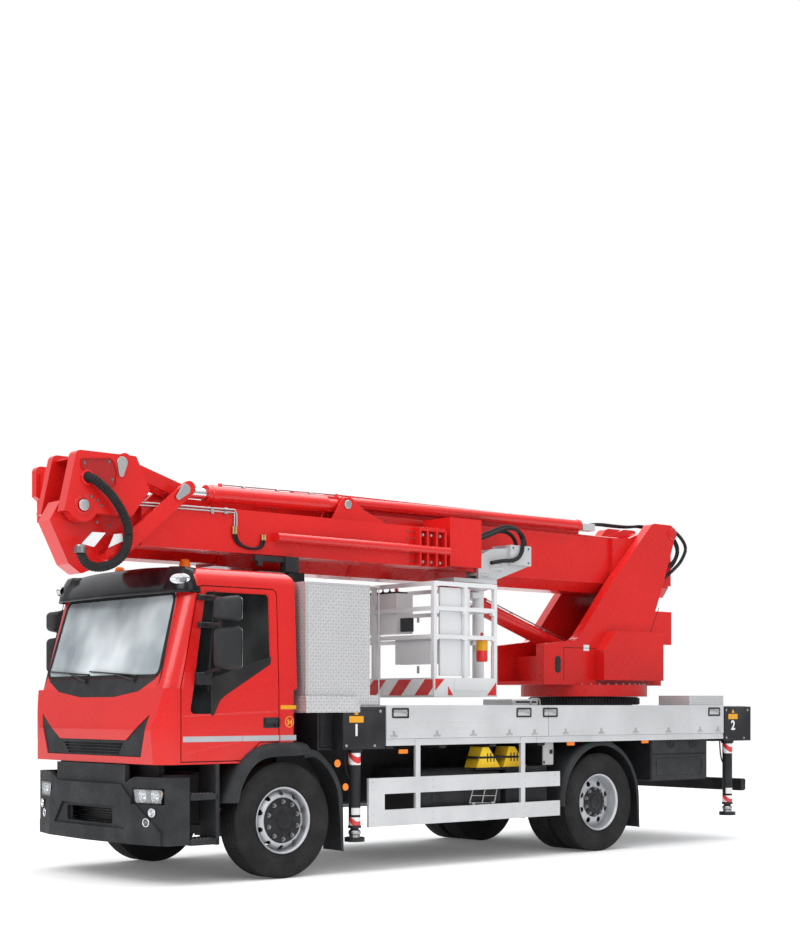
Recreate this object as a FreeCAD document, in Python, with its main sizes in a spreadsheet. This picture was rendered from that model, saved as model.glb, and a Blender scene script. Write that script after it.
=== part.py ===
import FreeCAD, Part

import math
import os

# Sizes in millimetres. X stations are measured from the front axle, Z heights from the ground, Y from the middle.
SIZES = {
    # driving dimensions
    "front_axle_x": 2360,
    "wheelbase": 4185,
    "body_half_width": 1250,
    "cab_half_width": 1150,
    # wheels
    "tyre_radius": 522,
    "tyre_width": 290,
    "tyre_bore_radius": 288,
    "tyre_shoulder": 60,
    "tyre_bead_width": 230,
    "rim_seat_radius": 287.7,
    "rim_wall": 14,
    "rim_flange_height": 14,
    "rim_flange_width": 14,
    "rim_disc": 16,
    "rim_disc_depth": 60,
    "rim_hole_radius": 26,
    "rim_hole_ring": 218,
    "front_tyre_outer": 1200,
    "twin_spacing": 330,
    "hub_radius": 118,
    "hub_out": 45,
    "hub_length": 120,
    "spindle_radius": 45,
    "spindle_clearance": 0.05,
    "front_disc_in": 70,
    # steering
    "kingpin_y": 850,
    "kingpin_radius": 30,
    "kingpin_clearance": 0.05,
    "axle_eye_radius": 62,
    "axle_eye_half": 50,
    "knuckle_gap": 6,
    "knuckle_ear": 45,
    "knuckle_web": 45,
    "knuckle_half_depth": 62,
    "drum_radius": 205,
    "drum_width": 60,
    "axle_beam_half": 48,
    "axle_beam_drop": 150,
    "axle_beam_end": 640,
    # chassis frame
    "rail_half_width": 400,
    "rail_flange": 78,
    "rail_web": 14,
    "rail_top": 960,
    "rail_height": 262,
    "rail_front": 1080,
    "rail_rear": -6640,
    "cross_radius": 48,
    "cross_first": 980,
    "cross_last": -6560,
    "spring_width": 80,
    "spring_thick": 66,
    "spring_half_span": 760,
    "spring_gap": 12,
    "front_spring_sag": 70,
    "spring_hanger": 60,
    "rear_spring_out": 455,
    "rear_spring_sag": 110,
    "rear_tube_radius": 76,
    "rear_banjo_radius": 220,
    "rear_banjo_half": 190,
    "rear_tube_end": 585,
    "seat_block": 40,
    "engine_front": 690,
    "engine_rear": -260,
    "engine_bottom": 590,
    "engine_top": 1040,
    # cab
    "cab_rear": -180,
    "cab_front": 1262,
    "cab_floor": 1045,
    "cab_rear_floor": 1205.3,
    "cab_arch_x": 406,
    "cab_arch_back": 216,
    "cab_roof": 2760,
    "cab_nose_x": 1270,
    "cab_nose_z": 1360,
    "cab_belt_x": 1208,
    "cab_belt_z": 1700,
    "cab_screen_top_x": 950,
    "cab_screen_top_z": 2610,
    "cab_roof_front_x": 830,
    "cab_corner": 190,
    "cab_rear_corner": 70,
    "cab_roof_edge": 130,
    "cab_lean": 45,
    "cab_wall": 55,
    "cab_glass": 10,
    "cab_overrun": 300,
    "screen_bottom": 1795,
    "screen_top": 2560,
    "screen_inset_bottom": 150,
    "screen_inset_top": 200,
    "screen_corner": 90,
    "door_front": 1070,
    "door_rear": 20,
    "door_bottom": 1062,
    "door_top": 2600,
    "door_arch_x": 425,
    "door_arch_back": 230,
    "door_arch_top": 1222,
    "door_pillar_x": 860,
    "door_belt": 1700,
    "door_gap": 10,
    "door_corner": 60,
    "window_rear": 120,
    "window_top": 2545,
    "window_top_front": 790,
    "window_bottom": 1985,
    "window_step_x": 640,
    "window_low": 1690,
    "window_corner": 40,
    "kerb_front": 975,
    "kerb_rear": 720,
    "kerb_low": 1480,
    "handle_x": 105,
    "handle_z": 1398,
    "handle_half_length": 90,
    "handle_half_height": 45,
    "handle_depth": 14,
    # mirrors
    "mirror_x": 830,
    "mirror_high_x": 800,
    "mirror_half_depth": 62,
    "mirror_out": 200,
    "mirror_width": 230,
    "mirror_bottom": 1850,
    "mirror_split": 2240,
    "mirror_top": 2500,
    "mirror_split_gap": 30,
    "mirror_corner": 55,
    "mirror_arm_radius": 20,
    # roof visor, front panel and bumper
    "visor_rear": 850,
    "visor_front": 1125,
    "visor_low": 2525,
    "visor_top": 2790,
    "visor_shift": -150,
    "visor_thick": 36,
    "visor_inset": 10,
    "panel_depth": 38,
    "panel_top": 1790,
    "panel_back": 1075,
    "grille_tip_half": 945,
    "grille_tip_z": 1480,
    "grille_bottom": 1106,
    "grille_half_bottom": 822,
    "grille_inner_half": 578,
    "grille_inner_z": 1250,
    "mesh_half_top": 520,
    "mesh_half_bottom": 440,
    "mesh_top": 1222,
    "mesh_bottom": 1122,
    "cowl_inset": 200,
    "cowl_mid_half": 700,
    "cowl_mid_drop": 112,
    "cowl_drop": 162,
    "cowl_dip_half": 300,
    "trim_inset": 10,
    "grille_bar": 14,
    "grille_pitch": 42,
    "bumper_top": 935,
    "bumper_brow": 865,
    "bumper_bottom": 350,
    "bumper_front": 1340,
    "bumper_back": 985,
    "bumper_overhang": 30,
    "bumper_corner": 260,
    "bumper_wall": 60,
    "bumper_brow_half": 560,
    "bumper_mouth_half": 400,
    "bumper_mouth_low": 510,
    "bumper_mouth_top": 645,
    "bumper_dish_half": 620,
    "bumper_dish_depth": 30,
    "bumper_shoulder_half": 740,
    "bumper_side_front": 1190,
    "bumper_turn_x": 1300,
    "bumper_turn_half": 720,
    "bumper_edge": 110,
    "bumper_step": 18,
    "crease_half": 1060,
    "crease_low": 465,
    "visor_corner": 220,
    "radiator_front": 1285,
    "radiator_rear": 1240,
    "radiator_half": 600,
    "radiator_top": 1035,
    "bumper_bracket": 80,
    "lamp_half_width": 190,
    "lamp_y": 900,
    "lamp_low": 700,
    "lamp_top": 840,
    "lamp_depth": 150,
    # seats and dashboard
    "seat_y": 560,
    "seat_half_width": 250,
    "seat_x": 60,
    "seat_length": 520,
    "seat_base": 1330,
    "seat_cushion": 150,
    "seat_back": 130,
    "seat_top": 2230,
    "dash_back": 950,
    "dash_front": 1240,
    "dash_low": 1330,
    "dash_top": 1660,
    "wheel_ring_radius": 225,
    "wheel_ring_tube": 17,
    "wheel_ring_x": 800,
    "wheel_ring_z": 1720,
    "wheel_column": 30,
    # front arches, rear mudguards and steps
    "arch_radius": 640,
    "arch_front_x": 640,
    "arch_front_low": 700,
    "arch_shoulder_z": 800,
    "arch_rear_shoulder_z": 985,
    "arch_crown_x": 200,
    "arch_crown_z": 1171,
    "arch_rear_x": 690,
    "arch_thick": 34,
    "arch_inner_y": 905,
    "arch_inset": 35,
    "flap_low": 300,
    "rear_guard_radius": 645,
    "rear_guard_inner_y": 545,
    "rear_guard_low": 490,
    "rear_guard_shoulder": 900,
    "rear_guard_top": 1190,
    "step_front": 975,
    "step_rear": 674.3,
    "step_inner_y": 905,
    "step_inset": 85,
    "step_low": 340,
    "step_tread": 60,
    "step_high": 735,
    # side boxes
    "tank_front": -1650,
    "tank_rear": -2750,
    "box_inner_y": 470,
    "box_inset": 100,
    "tank_low": 500,
    "tank_top": 930,
    "tank_corner": 110,
    "battery_front": -2830,
    "battery_rear": -3420,
    "cabinet_front": -3350,
    "cabinet_rear": -3520,
    "cabinet_low": 930.3,
    "cabinet_top": 1195,
    "toolbox_front": -5060,
    "toolbox_rear": -6040,
    "toolbox_low": 715,
    "toolbox_top": 1239.7,
    "toolbox_inner_y": 575,
    "toolbox_corner": 30,
    "tank_bracket": 70,
    "chock_front": -2440,
    "chock_rear": -3140,
    "chock_top": 1135,
    "chock_inner_y": 950,
    "chock_outer_y": 1130,
    # side guards
    "guard_front": -940,
    "guard_rear": -3515,
    "guard_low": 415,
    "guard_low_top": 570,
    "guard_high": 720,
    "guard_top": 872,
    "guard_thick": 28,
    "guard_post": 30,
    "guard_post_a": -1553,
    "guard_post_b": -2974,
    "guard_end": 195,
    "guard_bracket": 60,
    # platform subframe, deck, dropsides, locker
    "sub_half_width": 440,
    "sub_front": -470,
    "sub_rear": -6640,
    "sub_height": 180,
    "sub_rail": 90,
    "bearer_pitch": 680,
    "housing_inset": 175,
    "front_box_front": -470,
    "front_box_rear": -1130,
    "rear_box_front": -6250,
    "rear_box_rear": -6740,
    "outrigger_low": 1145,
    "outrigger_top": 1540,
    "outrigger_wall": 24,
    "outrigger_gap": 6,
    "deck_top": 1290,
    "deck_thick": 50,
    "deck_front": -1150,
    "deck_rear": -6230,
    "board_low": 1238,
    "board_top": 1555,
    "board_thick": 28,
    "board_gap": 6,
    "board_split": -3345,
    "locker_front": -240,
    "locker_rear": -996,
    "locker_inset": 50,
    "locker_top": 2680,
    "tread_rear": -1120,
    "tread_top": 1650,
    "slew_x": -5230,
    "slew_pedestal_radius": 560,
    "slew_gear_radius": 625,
    "slew_gear_low": 1560,
    "slew_gear_top": 1650,
    "slew_band_radius": 730,
    "slew_gap": 5,
    "rest_front": -400,
    "rest_rear": -800,
    "rest_half": 260,
    "rest_top": 2842,
    "tail_inset": 70,
    "tail_low": 560,
    "tail_top": 700,
    "tail_thick": 60,
    "tail_lamp": 320,
    "beacon_radius": 62,
    "beacon_height": 118,
    "beacon_x": 640,
    "beacon_y": 560,
    # outrigger jacks
    "leg_x_front": -850,
    "leg_x_rear": -6420,
    "leg_radius": 56,
    "leg_bore": 46,
    "leg_low": 410,
    "leg_inset": 100,
    "jack_radius": 40,
    "jack_top": 1100,
    "foot_radius": 95,
    "foot_low": 285,
    "foot_thick": 40,
    "front_cap_front": -640,
    "front_cap_rear": -1150,
    # turret and lift cylinder
    "turret_inner": 300,
    "turret_outer": 420,
    "turret_low": 1785,
    "turret_box_top": 2250,
    "turret_front": -4135,
    "nose_top": 2110,
    "turret_rear": -6110,
    "turret_plate_front": -4400,
    "turret_wall": 40,
    "column_low_front": -4670,
    "column_low_rear": -5830,
    "column_mid_z": 3030,
    "column_mid_rear": -6170,
    "column_top_front": -5960,
    "column_top_rear": -6400,
    "column_top": 3690,
    "side_box_front": -4960,
    "side_box_rear": -5990,
    "side_box_out": 560,
    "side_box_low": 1840,
    "side_box_top": 2400,
    "side_box_bevel": 110,
    "rear_box_low": 2270,
    "rear_box_top": 2660,
    "boom_pin_x": -6310,
    "boom_pin_z": 3590,
    "boom_pin_radius": 48,
    "pin_clearance": 0.05,
    "pin_boss": 100,
    "column_mid_front": -5250,
    "column_neck_x": -6330,
    "column_neck_z": 3450,
    "turret_back_x": -6060,
    "turret_back_z": 2780,
    "control_rear": -6300,
    "lift_pin_radius": 45,
    "cheek_play": 6,
    "pin_cap": 16,
    "lift_base_x": -5600,
    "lift_base_z": 1960,
    "lift_eye_x": -3200,
    "lift_eye_z": 2755,
    "lift_barrel_radius": 88,
        "lift_rod_radius": 60,
    "seat_gap": 0.3,
    "lift_barrel_length": 2230,
    "lift_eye_radius": 85,
    "lift_eye_half": 70,
    "lift_ear": 30,
    "lift_ear_gap": 6,
    "lift_ear_length": 180,
    # boom
    "boom_half": 250,
    "boom_top": 3510,
    "boom_side_low": 2960,
    "boom_low": 2850,
    "boom_keel_half": 170,
    "boom_rear": -6440,
    "boom_front": -380,
    "boom_wall": 20,
    "boom_nest_gap": 0.3,
    "middle_front": 40,
    "middle_rear": -4700,
    "head_section_rear": -4200,
    "ear_half_length": 150,
    "ear_front": -5400,
    "duct_half": 215,
    "duct_rear": -4910,
    "duct_front": -1300,
    "duct_height": 150,
    # head
    "head_near_in": 625,
    "head_near_out": 745,
    "head_mid_in": 260,
    "head_mid_out": 340,
    "head_far": -420,
    "head_far_front": 1640,
    "head_far_low_x": 1420,
    "head_far_low_z": 3280,
    "head_far_front_z": 3440,
    "head_top": 3715,
    "head_front": 1840,
    "head_rear": 1300,
    "head_low": 3190,
    "head_tube_front": 1600,
    "head_tube_rear": 1180,
    "jib_pin_x": 1780,
    "jib_pin_z": 3250,
    "jib_pin_radius": 36,
    "jib_boss": 140,
    "link_pin_x": 1370,
    "link_pin_z": 3670,
    # jib
    "jib_near": 700,
    "jib_far": 400,
    "jib_base_near": 605,
    "jib_low": 2950,
    "jib_top": 3345,
    "jib_box_front": 1180,
    "jib_base_front": 2020,
    "jib_base_knee": 1840,
    "jib_base_toe": 1720,
    "jib_base_low": 2680,
    "jib_base_lip": 3120,
    "jib_base_knee_z": 2760,
    "jib_base_heel": 1480,
    "jib_rear": -2420,
    "jib_collar": 440,
    "jib_collar_out": 60,
    "jib_wall": 20,
    "jib_nest_gap": 0.3,
    "lever_pin_x": 1510,
    "lever_pin_z": 2830,
    "lever_pin_radius": 34,
    "lever_boss": 100,
    "lever_near": 752,
    "lever_thick": 40,
    "lever_far": 347,
    "lever_far_thick": 40,
    "link_near": 585,
    "link_far": 395,
    "lever_end": 70,
    "knee_x": 740,
    "knee_z": 3480,
    "knee_pin_radius": 28,
    "link_thick": 30,
    "link_half": 48,
    "link_end": 62,
    "bracket_x": -1210,
    "bracket_z": 3510,
    "bracket_thick": 26,
    "bracket_length": 300,
    "jib_barrel_radius": 82,
        "jib_rod_radius": 52,
    "jib_barrel_length": 1560,
    "jib_eye_radius": 70,
    "jib_eye_half": 40,
    "side_cylinder_z": 3115,
    "side_cylinder_radius": 42,
    "side_cylinder_out": 760,
    "side_cylinder_front": -240,
    "side_cylinder_rear": -2400,
    # jib extension, rotator and basket
    "extension_front": 300,
    "extension_rear": -2640,
    "lug_half": 60,
    "lug_radius": 85,
    "level_x": -3010,
    "level_z": 3010,
    "level_pin_radius": 32,
    "cheek_gap": 6,
    "cheek_thick": 34,
    "cheek_half": 90,
    "rotator_plate_z": 2865,
    "rotator_plate_thick": 40,
    "rotator_radius": 95,
    "rotator_low": 2760,
    "rotator_gap": 0.3,
    "rotator_plate_rear": -3150,
    "rotator_plate_front": -2540,
    "rotator_plate_half": 140,
    "rotator_box_rear": -3660,
    "rotator_box_front": -3350,
    "rotator_box_low": 3040,
    "rotator_box_top": 3250,
    "basket_front": -2030,
    "basket_rear": -2900,
    "basket_half": 950,
    "basket_low": 1640,
    "basket_top": 2790,
    "basket_mid": 2240,
    "basket_high_rail": 2500,
    "basket_kick": 190,
    "basket_tube": 42,
    "basket_sheet": 6,
    "basket_floor": 24,
    "mast_half": 60,
    "mast_low": 1700,
    "mast_arm": 60,
    "basket_cabinet_depth": 220,
    "basket_cabinet_half": 330,
    "basket_cabinet_low": 2290,
    "basket_cabinet_top": 2700,
    # one overrun for every cut
    "overrun": 20,
}

doc = FreeCAD.newDocument("cherry_picker_truck")
sheet = doc.addObject("Spreadsheet::Sheet", "sizes")
for row, (alias, value) in enumerate(SIZES.items(), start=1):
    sheet.set(f"A{row}", alias)
    sheet.set(f"B{row}", str(value))
    sheet.setAlias(f"B{row}", alias)
doc.recompute()


class Size:
    """A length worked out from the sheet, with the expression that binds it."""

    def __init__(self, value, text):
        self.value = value
        self.text = text

    def joined(self, other, sign, value):
        text = other.text if isinstance(other, Size) else repr(other)
        return Size(value, f"({self.text} {sign} {text})")

    def __add__(self, other):
        return self.joined(other, "+", self.value + plain(other))

    def __sub__(self, other):
        return self.joined(other, "-", self.value - plain(other))

    def __mul__(self, other):
        return self.joined(other, "*", self.value * plain(other))

    def __truediv__(self, other):
        return self.joined(other, "/", self.value / plain(other))

    def __neg__(self):
        return Size(-self.value, f"(0 - {self.text})")


class Sheet:
    """Gives each alias of the spreadsheet as a Size."""

    def __getattr__(self, alias):
        return Size(float(sheet.get(alias)), f"sizes.{alias}")


def plain(size):
    return size.value if isinstance(size, Size) else size


def text(size):
    return size.text if isinstance(size, Size) else repr(size)


def hypot(a, b):
    return Size(math.hypot(plain(a), plain(b)), f"sqrt({text(a)} ^ 2 + {text(b)} ^ 2)")


S = Sheet()
NODES = {}


def bind(obj, **sizes):
    """Sets properties and binds them to the sheet."""
    for name, size in sizes.items():
        setattr(obj, name, plain(size))
        if isinstance(size, Size):
            obj.setExpression(name, size.text)
    return obj


def place(obj, x=0, y=0, z=0, rotation=None):
    """Puts an object at a station measured from the front axle."""
    station = S.front_axle_x + x
    at = FreeCAD.Vector(plain(station), plain(y), plain(z))
    obj.Placement = FreeCAD.Placement(at, rotation or FreeCAD.Rotation())
    for axis, size in zip("xyz", (station, y, z)):
        if isinstance(size, Size):
            obj.setExpression(f".Placement.Base.{axis}", size.text)
    return obj


def block(name, x, y, z):
    """A box between low and high values along each axis."""
    obj = doc.addObject("Part::Box", name)
    bind(obj, Length=x[1] - x[0], Width=y[1] - y[0], Height=z[1] - z[0])
    return place(obj, x[0], y[0], z[0])


TURNS = {
    "X": FreeCAD.Rotation(FreeCAD.Vector(0, 1, 0), 90),
    "Y": FreeCAD.Rotation(FreeCAD.Vector(1, 0, 0), -90),
    "Z": FreeCAD.Rotation(),
}


def rod(name, axis, span, radius, x=0, y=0, z=0):
    """A cylinder along one axis, between the low and high values of its span."""
    obj = doc.addObject("Part::Cylinder", name)
    bind(obj, Radius=radius, Height=span[1] - span[0])
    start = {"X": x, "Y": y, "Z": z}
    start[axis] = span[0]
    return place(obj, start["X"], start["Y"], start["Z"], TURNS[axis])


def bar(name, start, end, radius, y, skip=0, length=None):
    """A cylinder in a plane of constant Y, from a point towards another, skipping a length at its start."""
    run = hypot(end[0] - start[0], end[1] - start[1])
    along = FreeCAD.Vector(plain(end[0] - start[0]), 0, plain(end[1] - start[1])).normalize()
    obj = doc.addObject("Part::Cylinder", name)
    bind(obj, Radius=radius, Height=length or run - skip)
    x = start[0] + skip * along.x
    z = start[1] + skip * along.z
    return place(obj, x, y, z, FreeCAD.Rotation(FreeCAD.Vector(0, 0, 1), along))


def corner_arc(before, corner, after, radius):
    """The arc that rounds a corner, as its start, middle and end."""
    a = (before - corner).normalize()
    b = (after - corner).normalize()
    half = a.getAngle(b) / 2
    reach = radius / math.tan(half)
    middle = (a + b).normalize()
    centre = corner + middle * (radius / math.sin(half))
    return corner + a * reach, centre - middle * radius, corner + b * reach


def outline(points):
    """Line and arc segments round a closed outline; a third number rounds that corner."""
    corners = [FreeCAD.Vector(plain(p[0]), plain(p[1]), 0) for p in points]
    arcs = []
    for i, point in enumerate(points):
        if len(point) == 3:
            after = corners[(i + 1) % len(corners)]
            arcs.append(corner_arc(corners[i - 1], corners[i], after, plain(point[2])))
        else:
            arcs.append((corners[i], None, corners[i]))
    segments = []
    for i, (start, middle, end) in enumerate(arcs):
        if middle is not None:
            segments.append(Part.Arc(start, middle, end))
        following = arcs[(i + 1) % len(arcs)][0]
        if (following - end).Length > 1e-6:
            segments.append(Part.LineSegment(end, following))
    return segments


def sketched(name, plane, outlines):
    """A body with one sketch of closed outlines on an origin plane."""
    body = doc.addObject("PartDesign::Body", name)
    sketch = body.newObject("Sketcher::SketchObject", name + "_sketch")
    origin = [f for f in body.Origin.OriginFeatures if f.Role == plane][0]
    sketch.AttachmentSupport = [(origin, "")]
    sketch.MapMode = "FlatFace"
    for points in outlines:
        for segment in outline(points):
            sketch.addGeometry(segment, False)
    return body, sketch


def padded(name, plane, outlines, length):
    body, sketch = sketched(name, plane, outlines)
    pad = body.newObject("PartDesign::Pad", name + "_pad")
    pad.Profile = sketch
    bind(pad, Length=length)
    return body


def plate_xz(name, y, *outlines):
    """A plate with its outline in X and Z, between two values of Y."""
    return place(padded(name, "XZ_Plane", outlines, y[1] - y[0]), y=y[1])


def plate_xy(name, z, *outlines):
    """A plate with its outline in X and Y, between two heights."""
    return place(padded(name, "XY_Plane", outlines, z[1] - z[0]), z=z[0])


def plate_yz(name, x, *outlines):
    """A plate with its outline in Y and Z, between two stations."""
    return place(padded(name, "YZ_Plane", outlines, x[1] - x[0]), x=x[0])


def turned(name, axis, profile, x=0, y=0, z=0):
    """A revolved body; the profile gives (distance along the axis, radius)."""
    plane = "XZ_Plane" if axis == "Z" else "XY_Plane"
    points = [(p[1], p[0]) + tuple(p[2:]) for p in profile] if axis in "YZ" else profile
    body, sketch = sketched(name, plane, [points])
    turn = body.newObject("PartDesign::Revolution", name + "_turn")
    turn.Profile = sketch
    turn.ReferenceAxis = (sketch, ["H_Axis" if axis == "X" else "V_Axis"])
    turn.Angle = 360
    return place(body, x, y, z)


def fused(name, *parts):
    obj = doc.addObject("Part::MultiFuse", name)
    obj.Shapes = list(parts)
    return obj


def cut(name, base, *tools):
    obj = doc.addObject("Part::Cut", name)
    obj.Base = base
    obj.Tool = tools[0] if len(tools) == 1 else fused(name + "_tools", *tools)
    return obj


def common(name, *parts):
    obj = doc.addObject("Part::MultiCommon", name)
    obj.Shapes = list(parts)
    return obj


def together(name, *parts):
    """Separate solids kept in one sub-part."""
    obj = doc.addObject("Part::Compound", name)
    obj.Links = list(parts)
    return obj


def mirrored(name, source):
    """The same piece on the other side of the vehicle."""
    obj = doc.addObject("Part::Mirroring", name)
    obj.Source = source
    obj.Normal = FreeCAD.Vector(0, 1, 0)
    return obj


def node(label, obj):
    obj.Label = label
    NODES[label] = obj
    return obj


def both(label, obj):
    """A left sub-part and its mirror image on the right."""
    node(label + "_left", obj)
    return node(label + "_right", mirrored(label + "_mirror", obj))


def span(middle, half):
    return (middle - half, middle + half)


ZERO = S.overrun * 0

# Places tied to the width of the body, the width of the cab and the top of the front panel
housing_half = S.body_half_width - S.housing_inset
leg_y = S.body_half_width - S.leg_inset
arch_outer_y = S.body_half_width - S.arch_inset
step_outer_y = S.body_half_width - S.step_inset
box_outer_y = S.body_half_width - S.box_inset
locker_half = S.body_half_width - S.locker_inset
tail_half = S.body_half_width - S.tail_inset
screen_half_bottom = S.cab_half_width - S.screen_inset_bottom
screen_half_top = S.cab_half_width - S.screen_inset_top
visor_half = S.cab_half_width - S.visor_inset
cowl_half = S.cab_half_width - S.cowl_inset
bumper_half = S.cab_half_width + S.bumper_overhang
cowl_dip = S.panel_top - S.cowl_drop
cowl_mid_z = S.panel_top - S.cowl_mid_drop


def inward(points, by):
    """The same closed outline moved inwards all round; rounded corners keep their centres."""
    corners = [FreeCAD.Vector(plain(p[0]), plain(p[1]), 0) for p in points]
    area = sum(corners[i - 1].x * c.y - c.x * corners[i - 1].y for i, c in enumerate(corners))
    side = 1 if area > 0 else -1
    result = []
    for i, corner in enumerate(corners):
        before = (corner - corners[i - 1]).normalize()
        after = (corners[(i + 1) % len(corners)] - corner).normalize()
        n = FreeCAD.Vector(-before.y, before.x, 0) * side
        m = FreeCAD.Vector(-after.y, after.x, 0) * side
        moved = corner + (n + m) * (plain(by) / (1 + n.dot(m)))
        turn = before.cross(after).z * side
        radius = [plain(points[i][2]) - plain(by) * (1 if turn > 0 else -1)] if len(points[i]) == 3 else []
        result.append(tuple([moved.x, moved.y] + [r for r in radius if r > 1]))
    return result


def band(points, thick):
    """A closed outline for a strip that follows an open path, with its thickness on the right."""
    path = [FreeCAD.Vector(plain(p[0]), plain(p[1]), 0) for p in points]
    rear = []
    for i, point in enumerate(path):
        before = (path[max(i, 1)] - path[max(i, 1) - 1]).normalize()
        after = (path[min(i + 1, len(path) - 1)] - path[min(i, len(path) - 2)]).normalize()
        n = FreeCAD.Vector(before.y, -before.x, 0)
        m = FreeCAD.Vector(after.y, -after.x, 0)
        moved = point + (n + m) * (plain(thick) / (1 + n.dot(m)))
        turn = before.cross(after).z
        radius = [plain(points[i][2]) + plain(thick) * (1 if turn > 0 else -1)] if len(points[i]) == 3 else []
        rear.append(tuple([moved.x, moved.y] + [r for r in radius if r > 1]))
    return list(points) + rear[::-1]


def slanted(name, z, shift, *outlines):
    """A prism with its outline in X and Y at a low height, carried forward by a shift as it rises."""
    sketch = doc.addObject("Sketcher::SketchObject", name + "_sketch")
    for points in outlines:
        for segment in outline(points):
            sketch.addGeometry(segment, False)
    place(sketch, z=z[0])
    obj = doc.addObject("Part::Extrusion", name)
    obj.Base = sketch
    obj.DirMode = "Custom"
    run = FreeCAD.Vector(plain(shift), 0, plain(z[1] - z[0]))
    obj.Dir = FreeCAD.Vector(run.x, run.y, run.z).normalize()
    obj.Solid = True
    return bind(obj, LengthFwd=hypot(shift, z[1] - z[0]))


def lozenge(start, end, r_start, r_end):
    """The outline of a bar with a round eye at each end, as a six-sided shape with large corner radii."""
    a = FreeCAD.Vector(plain(start[0]), plain(start[1]), 0)
    b = FreeCAD.Vector(plain(end[0]), plain(end[1]), 0)
    along = (b - a).normalize()
    across = FreeCAD.Vector(-along.y, along.x, 0)
    p = plain(r_start)
    q = plain(r_end)
    corners = [a - along * p + across * p, b + along * q + across * q]
    corners += [b + along * q - across * q, a - along * p - across * p]
    trim = plain(S.overrun) / 10
    return [(c.x, c.y, (p if i in (0, 3) else q) - trim) for i, c in enumerate(corners)]


# Wheels
def tyre(name, outer, x):
    half = S.tyre_width / 2
    bead = S.tyre_bead_width / 2
    r = S.tyre_radius
    b = S.tyre_bore_radius
    low = b + S.rim_flange_height + S.rim_wall / 2
    side = [(-bead, b), (bead, b), (bead, low), (half, low + S.tyre_shoulder), (half, r - S.tyre_shoulder)]
    side += [(half - S.tyre_shoulder / 2, r), (-half + S.tyre_shoulder / 2, r), (-half, r - S.tyre_shoulder)]
    side += [(-half, low + S.tyre_shoulder), (-bead, low)]
    return turned(name, "Y", side, x=x, y=outer - half, z=r)


def barrel_profile(disc):
    """A rim with its disc at a distance from the middle of the tyre, positive outwards."""
    seat = S.rim_seat_radius
    wall = seat - S.rim_wall
    bead = S.tyre_bead_width / 2 + S.overrun / 50
    lip = seat + S.rim_flange_height
    edge = bead + S.rim_flange_width
    hub = S.hub_radius
    return [
        (-edge, wall), (disc, wall), (disc, hub), (disc + S.rim_disc, hub), (disc + S.rim_disc, wall),
        (edge, wall), (edge, lip), (bead, lip), (bead, seat), (-bead, seat), (-bead, lip), (-edge, lip),
    ]


def hand_holes(name, x, y, z):
    holes = []
    for i in range(10):
        angle = math.radians(36 * i)
        across = S.rim_hole_ring * math.cos(angle)
        up = S.rim_hole_ring * math.sin(angle)
        holes.append(rod(f"{name}_{i}", "Y", y, S.rim_hole_radius, x=x + across, z=z + up))
    return fused(name, *holes)


middle_front = S.front_tyre_outer - S.tyre_width / 2
axle_z = S.tyre_radius
node("tyre_front_left", tyre("tyre_front", S.front_tyre_outer, ZERO))
node("tyre_front_right", mirrored("tyre_front_mirror", NODES["tyre_front_left"]))
tyre_out = tyre("tyre_rear_outer", S.front_tyre_outer, -S.wheelbase)
tyre_in = tyre("tyre_rear_inner", S.front_tyre_outer - S.twin_spacing, -S.wheelbase)
both("tyre_rear", together("tyre_rear_pair", tyre_out, tyre_in))

front_disc = S.tyre_width / 2 - S.front_disc_in
rim = turned("rim_front_barrel", "Y", barrel_profile(front_disc), y=middle_front, z=axle_z)
hub_y = (middle_front + front_disc - S.hub_length, middle_front + front_disc + S.hub_out)
hub = rod("hub_front", "Y", hub_y, S.hub_radius, z=axle_z)
drum = rod("drum_front", "Y", (hub_y[0], hub_y[0] + S.drum_width), S.drum_radius, z=axle_z)
bore = rod("hub_front_bore", "Y", (hub_y[0] - S.overrun, hub_y[1] - S.rim_disc), S.spindle_radius + S.spindle_clearance,
           z=axle_z)
holes = hand_holes("holes_front", ZERO, (middle_front + front_disc - S.overrun, hub_y[1]), axle_z)
both("rim_front", cut("rim_front", fused("rim_front_solid", rim, hub, drum), bore, holes))

rear_x = -S.wheelbase
rear_disc = -S.rim_disc_depth
outer = turned("rim_rear_outer", "Y", barrel_profile(rear_disc), x=rear_x, y=middle_front, z=axle_z)
inner = turned("rim_rear_inner", "Y", barrel_profile(-rear_disc - S.rim_disc), x=rear_x,
               y=middle_front - S.twin_spacing, z=axle_z)
twin_hub_y = (middle_front - S.twin_spacing - S.tyre_width / 2 + S.hub_out, middle_front + S.tyre_width / 2 - S.hub_out)
hub = rod("hub_rear", "Y", twin_hub_y, S.hub_radius, x=rear_x, z=axle_z)
drum = rod("drum_rear", "Y", (twin_hub_y[0], twin_hub_y[0] + S.drum_width * 3), S.drum_radius, x=rear_x, z=axle_z)
bore = rod("hub_rear_bore", "Y", (twin_hub_y[0] - S.overrun, twin_hub_y[1] - S.rim_disc),
           S.spindle_radius + S.spindle_clearance, x=rear_x, z=axle_z)
disc_y = middle_front + rear_disc
holes = hand_holes("holes_rear", rear_x, (disc_y - S.overrun, disc_y + S.rim_disc + S.overrun), axle_z)
both("rim_rear", cut("rim_rear", fused("rim_rear_solid", outer, inner, hub, drum), bore, holes))

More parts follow.
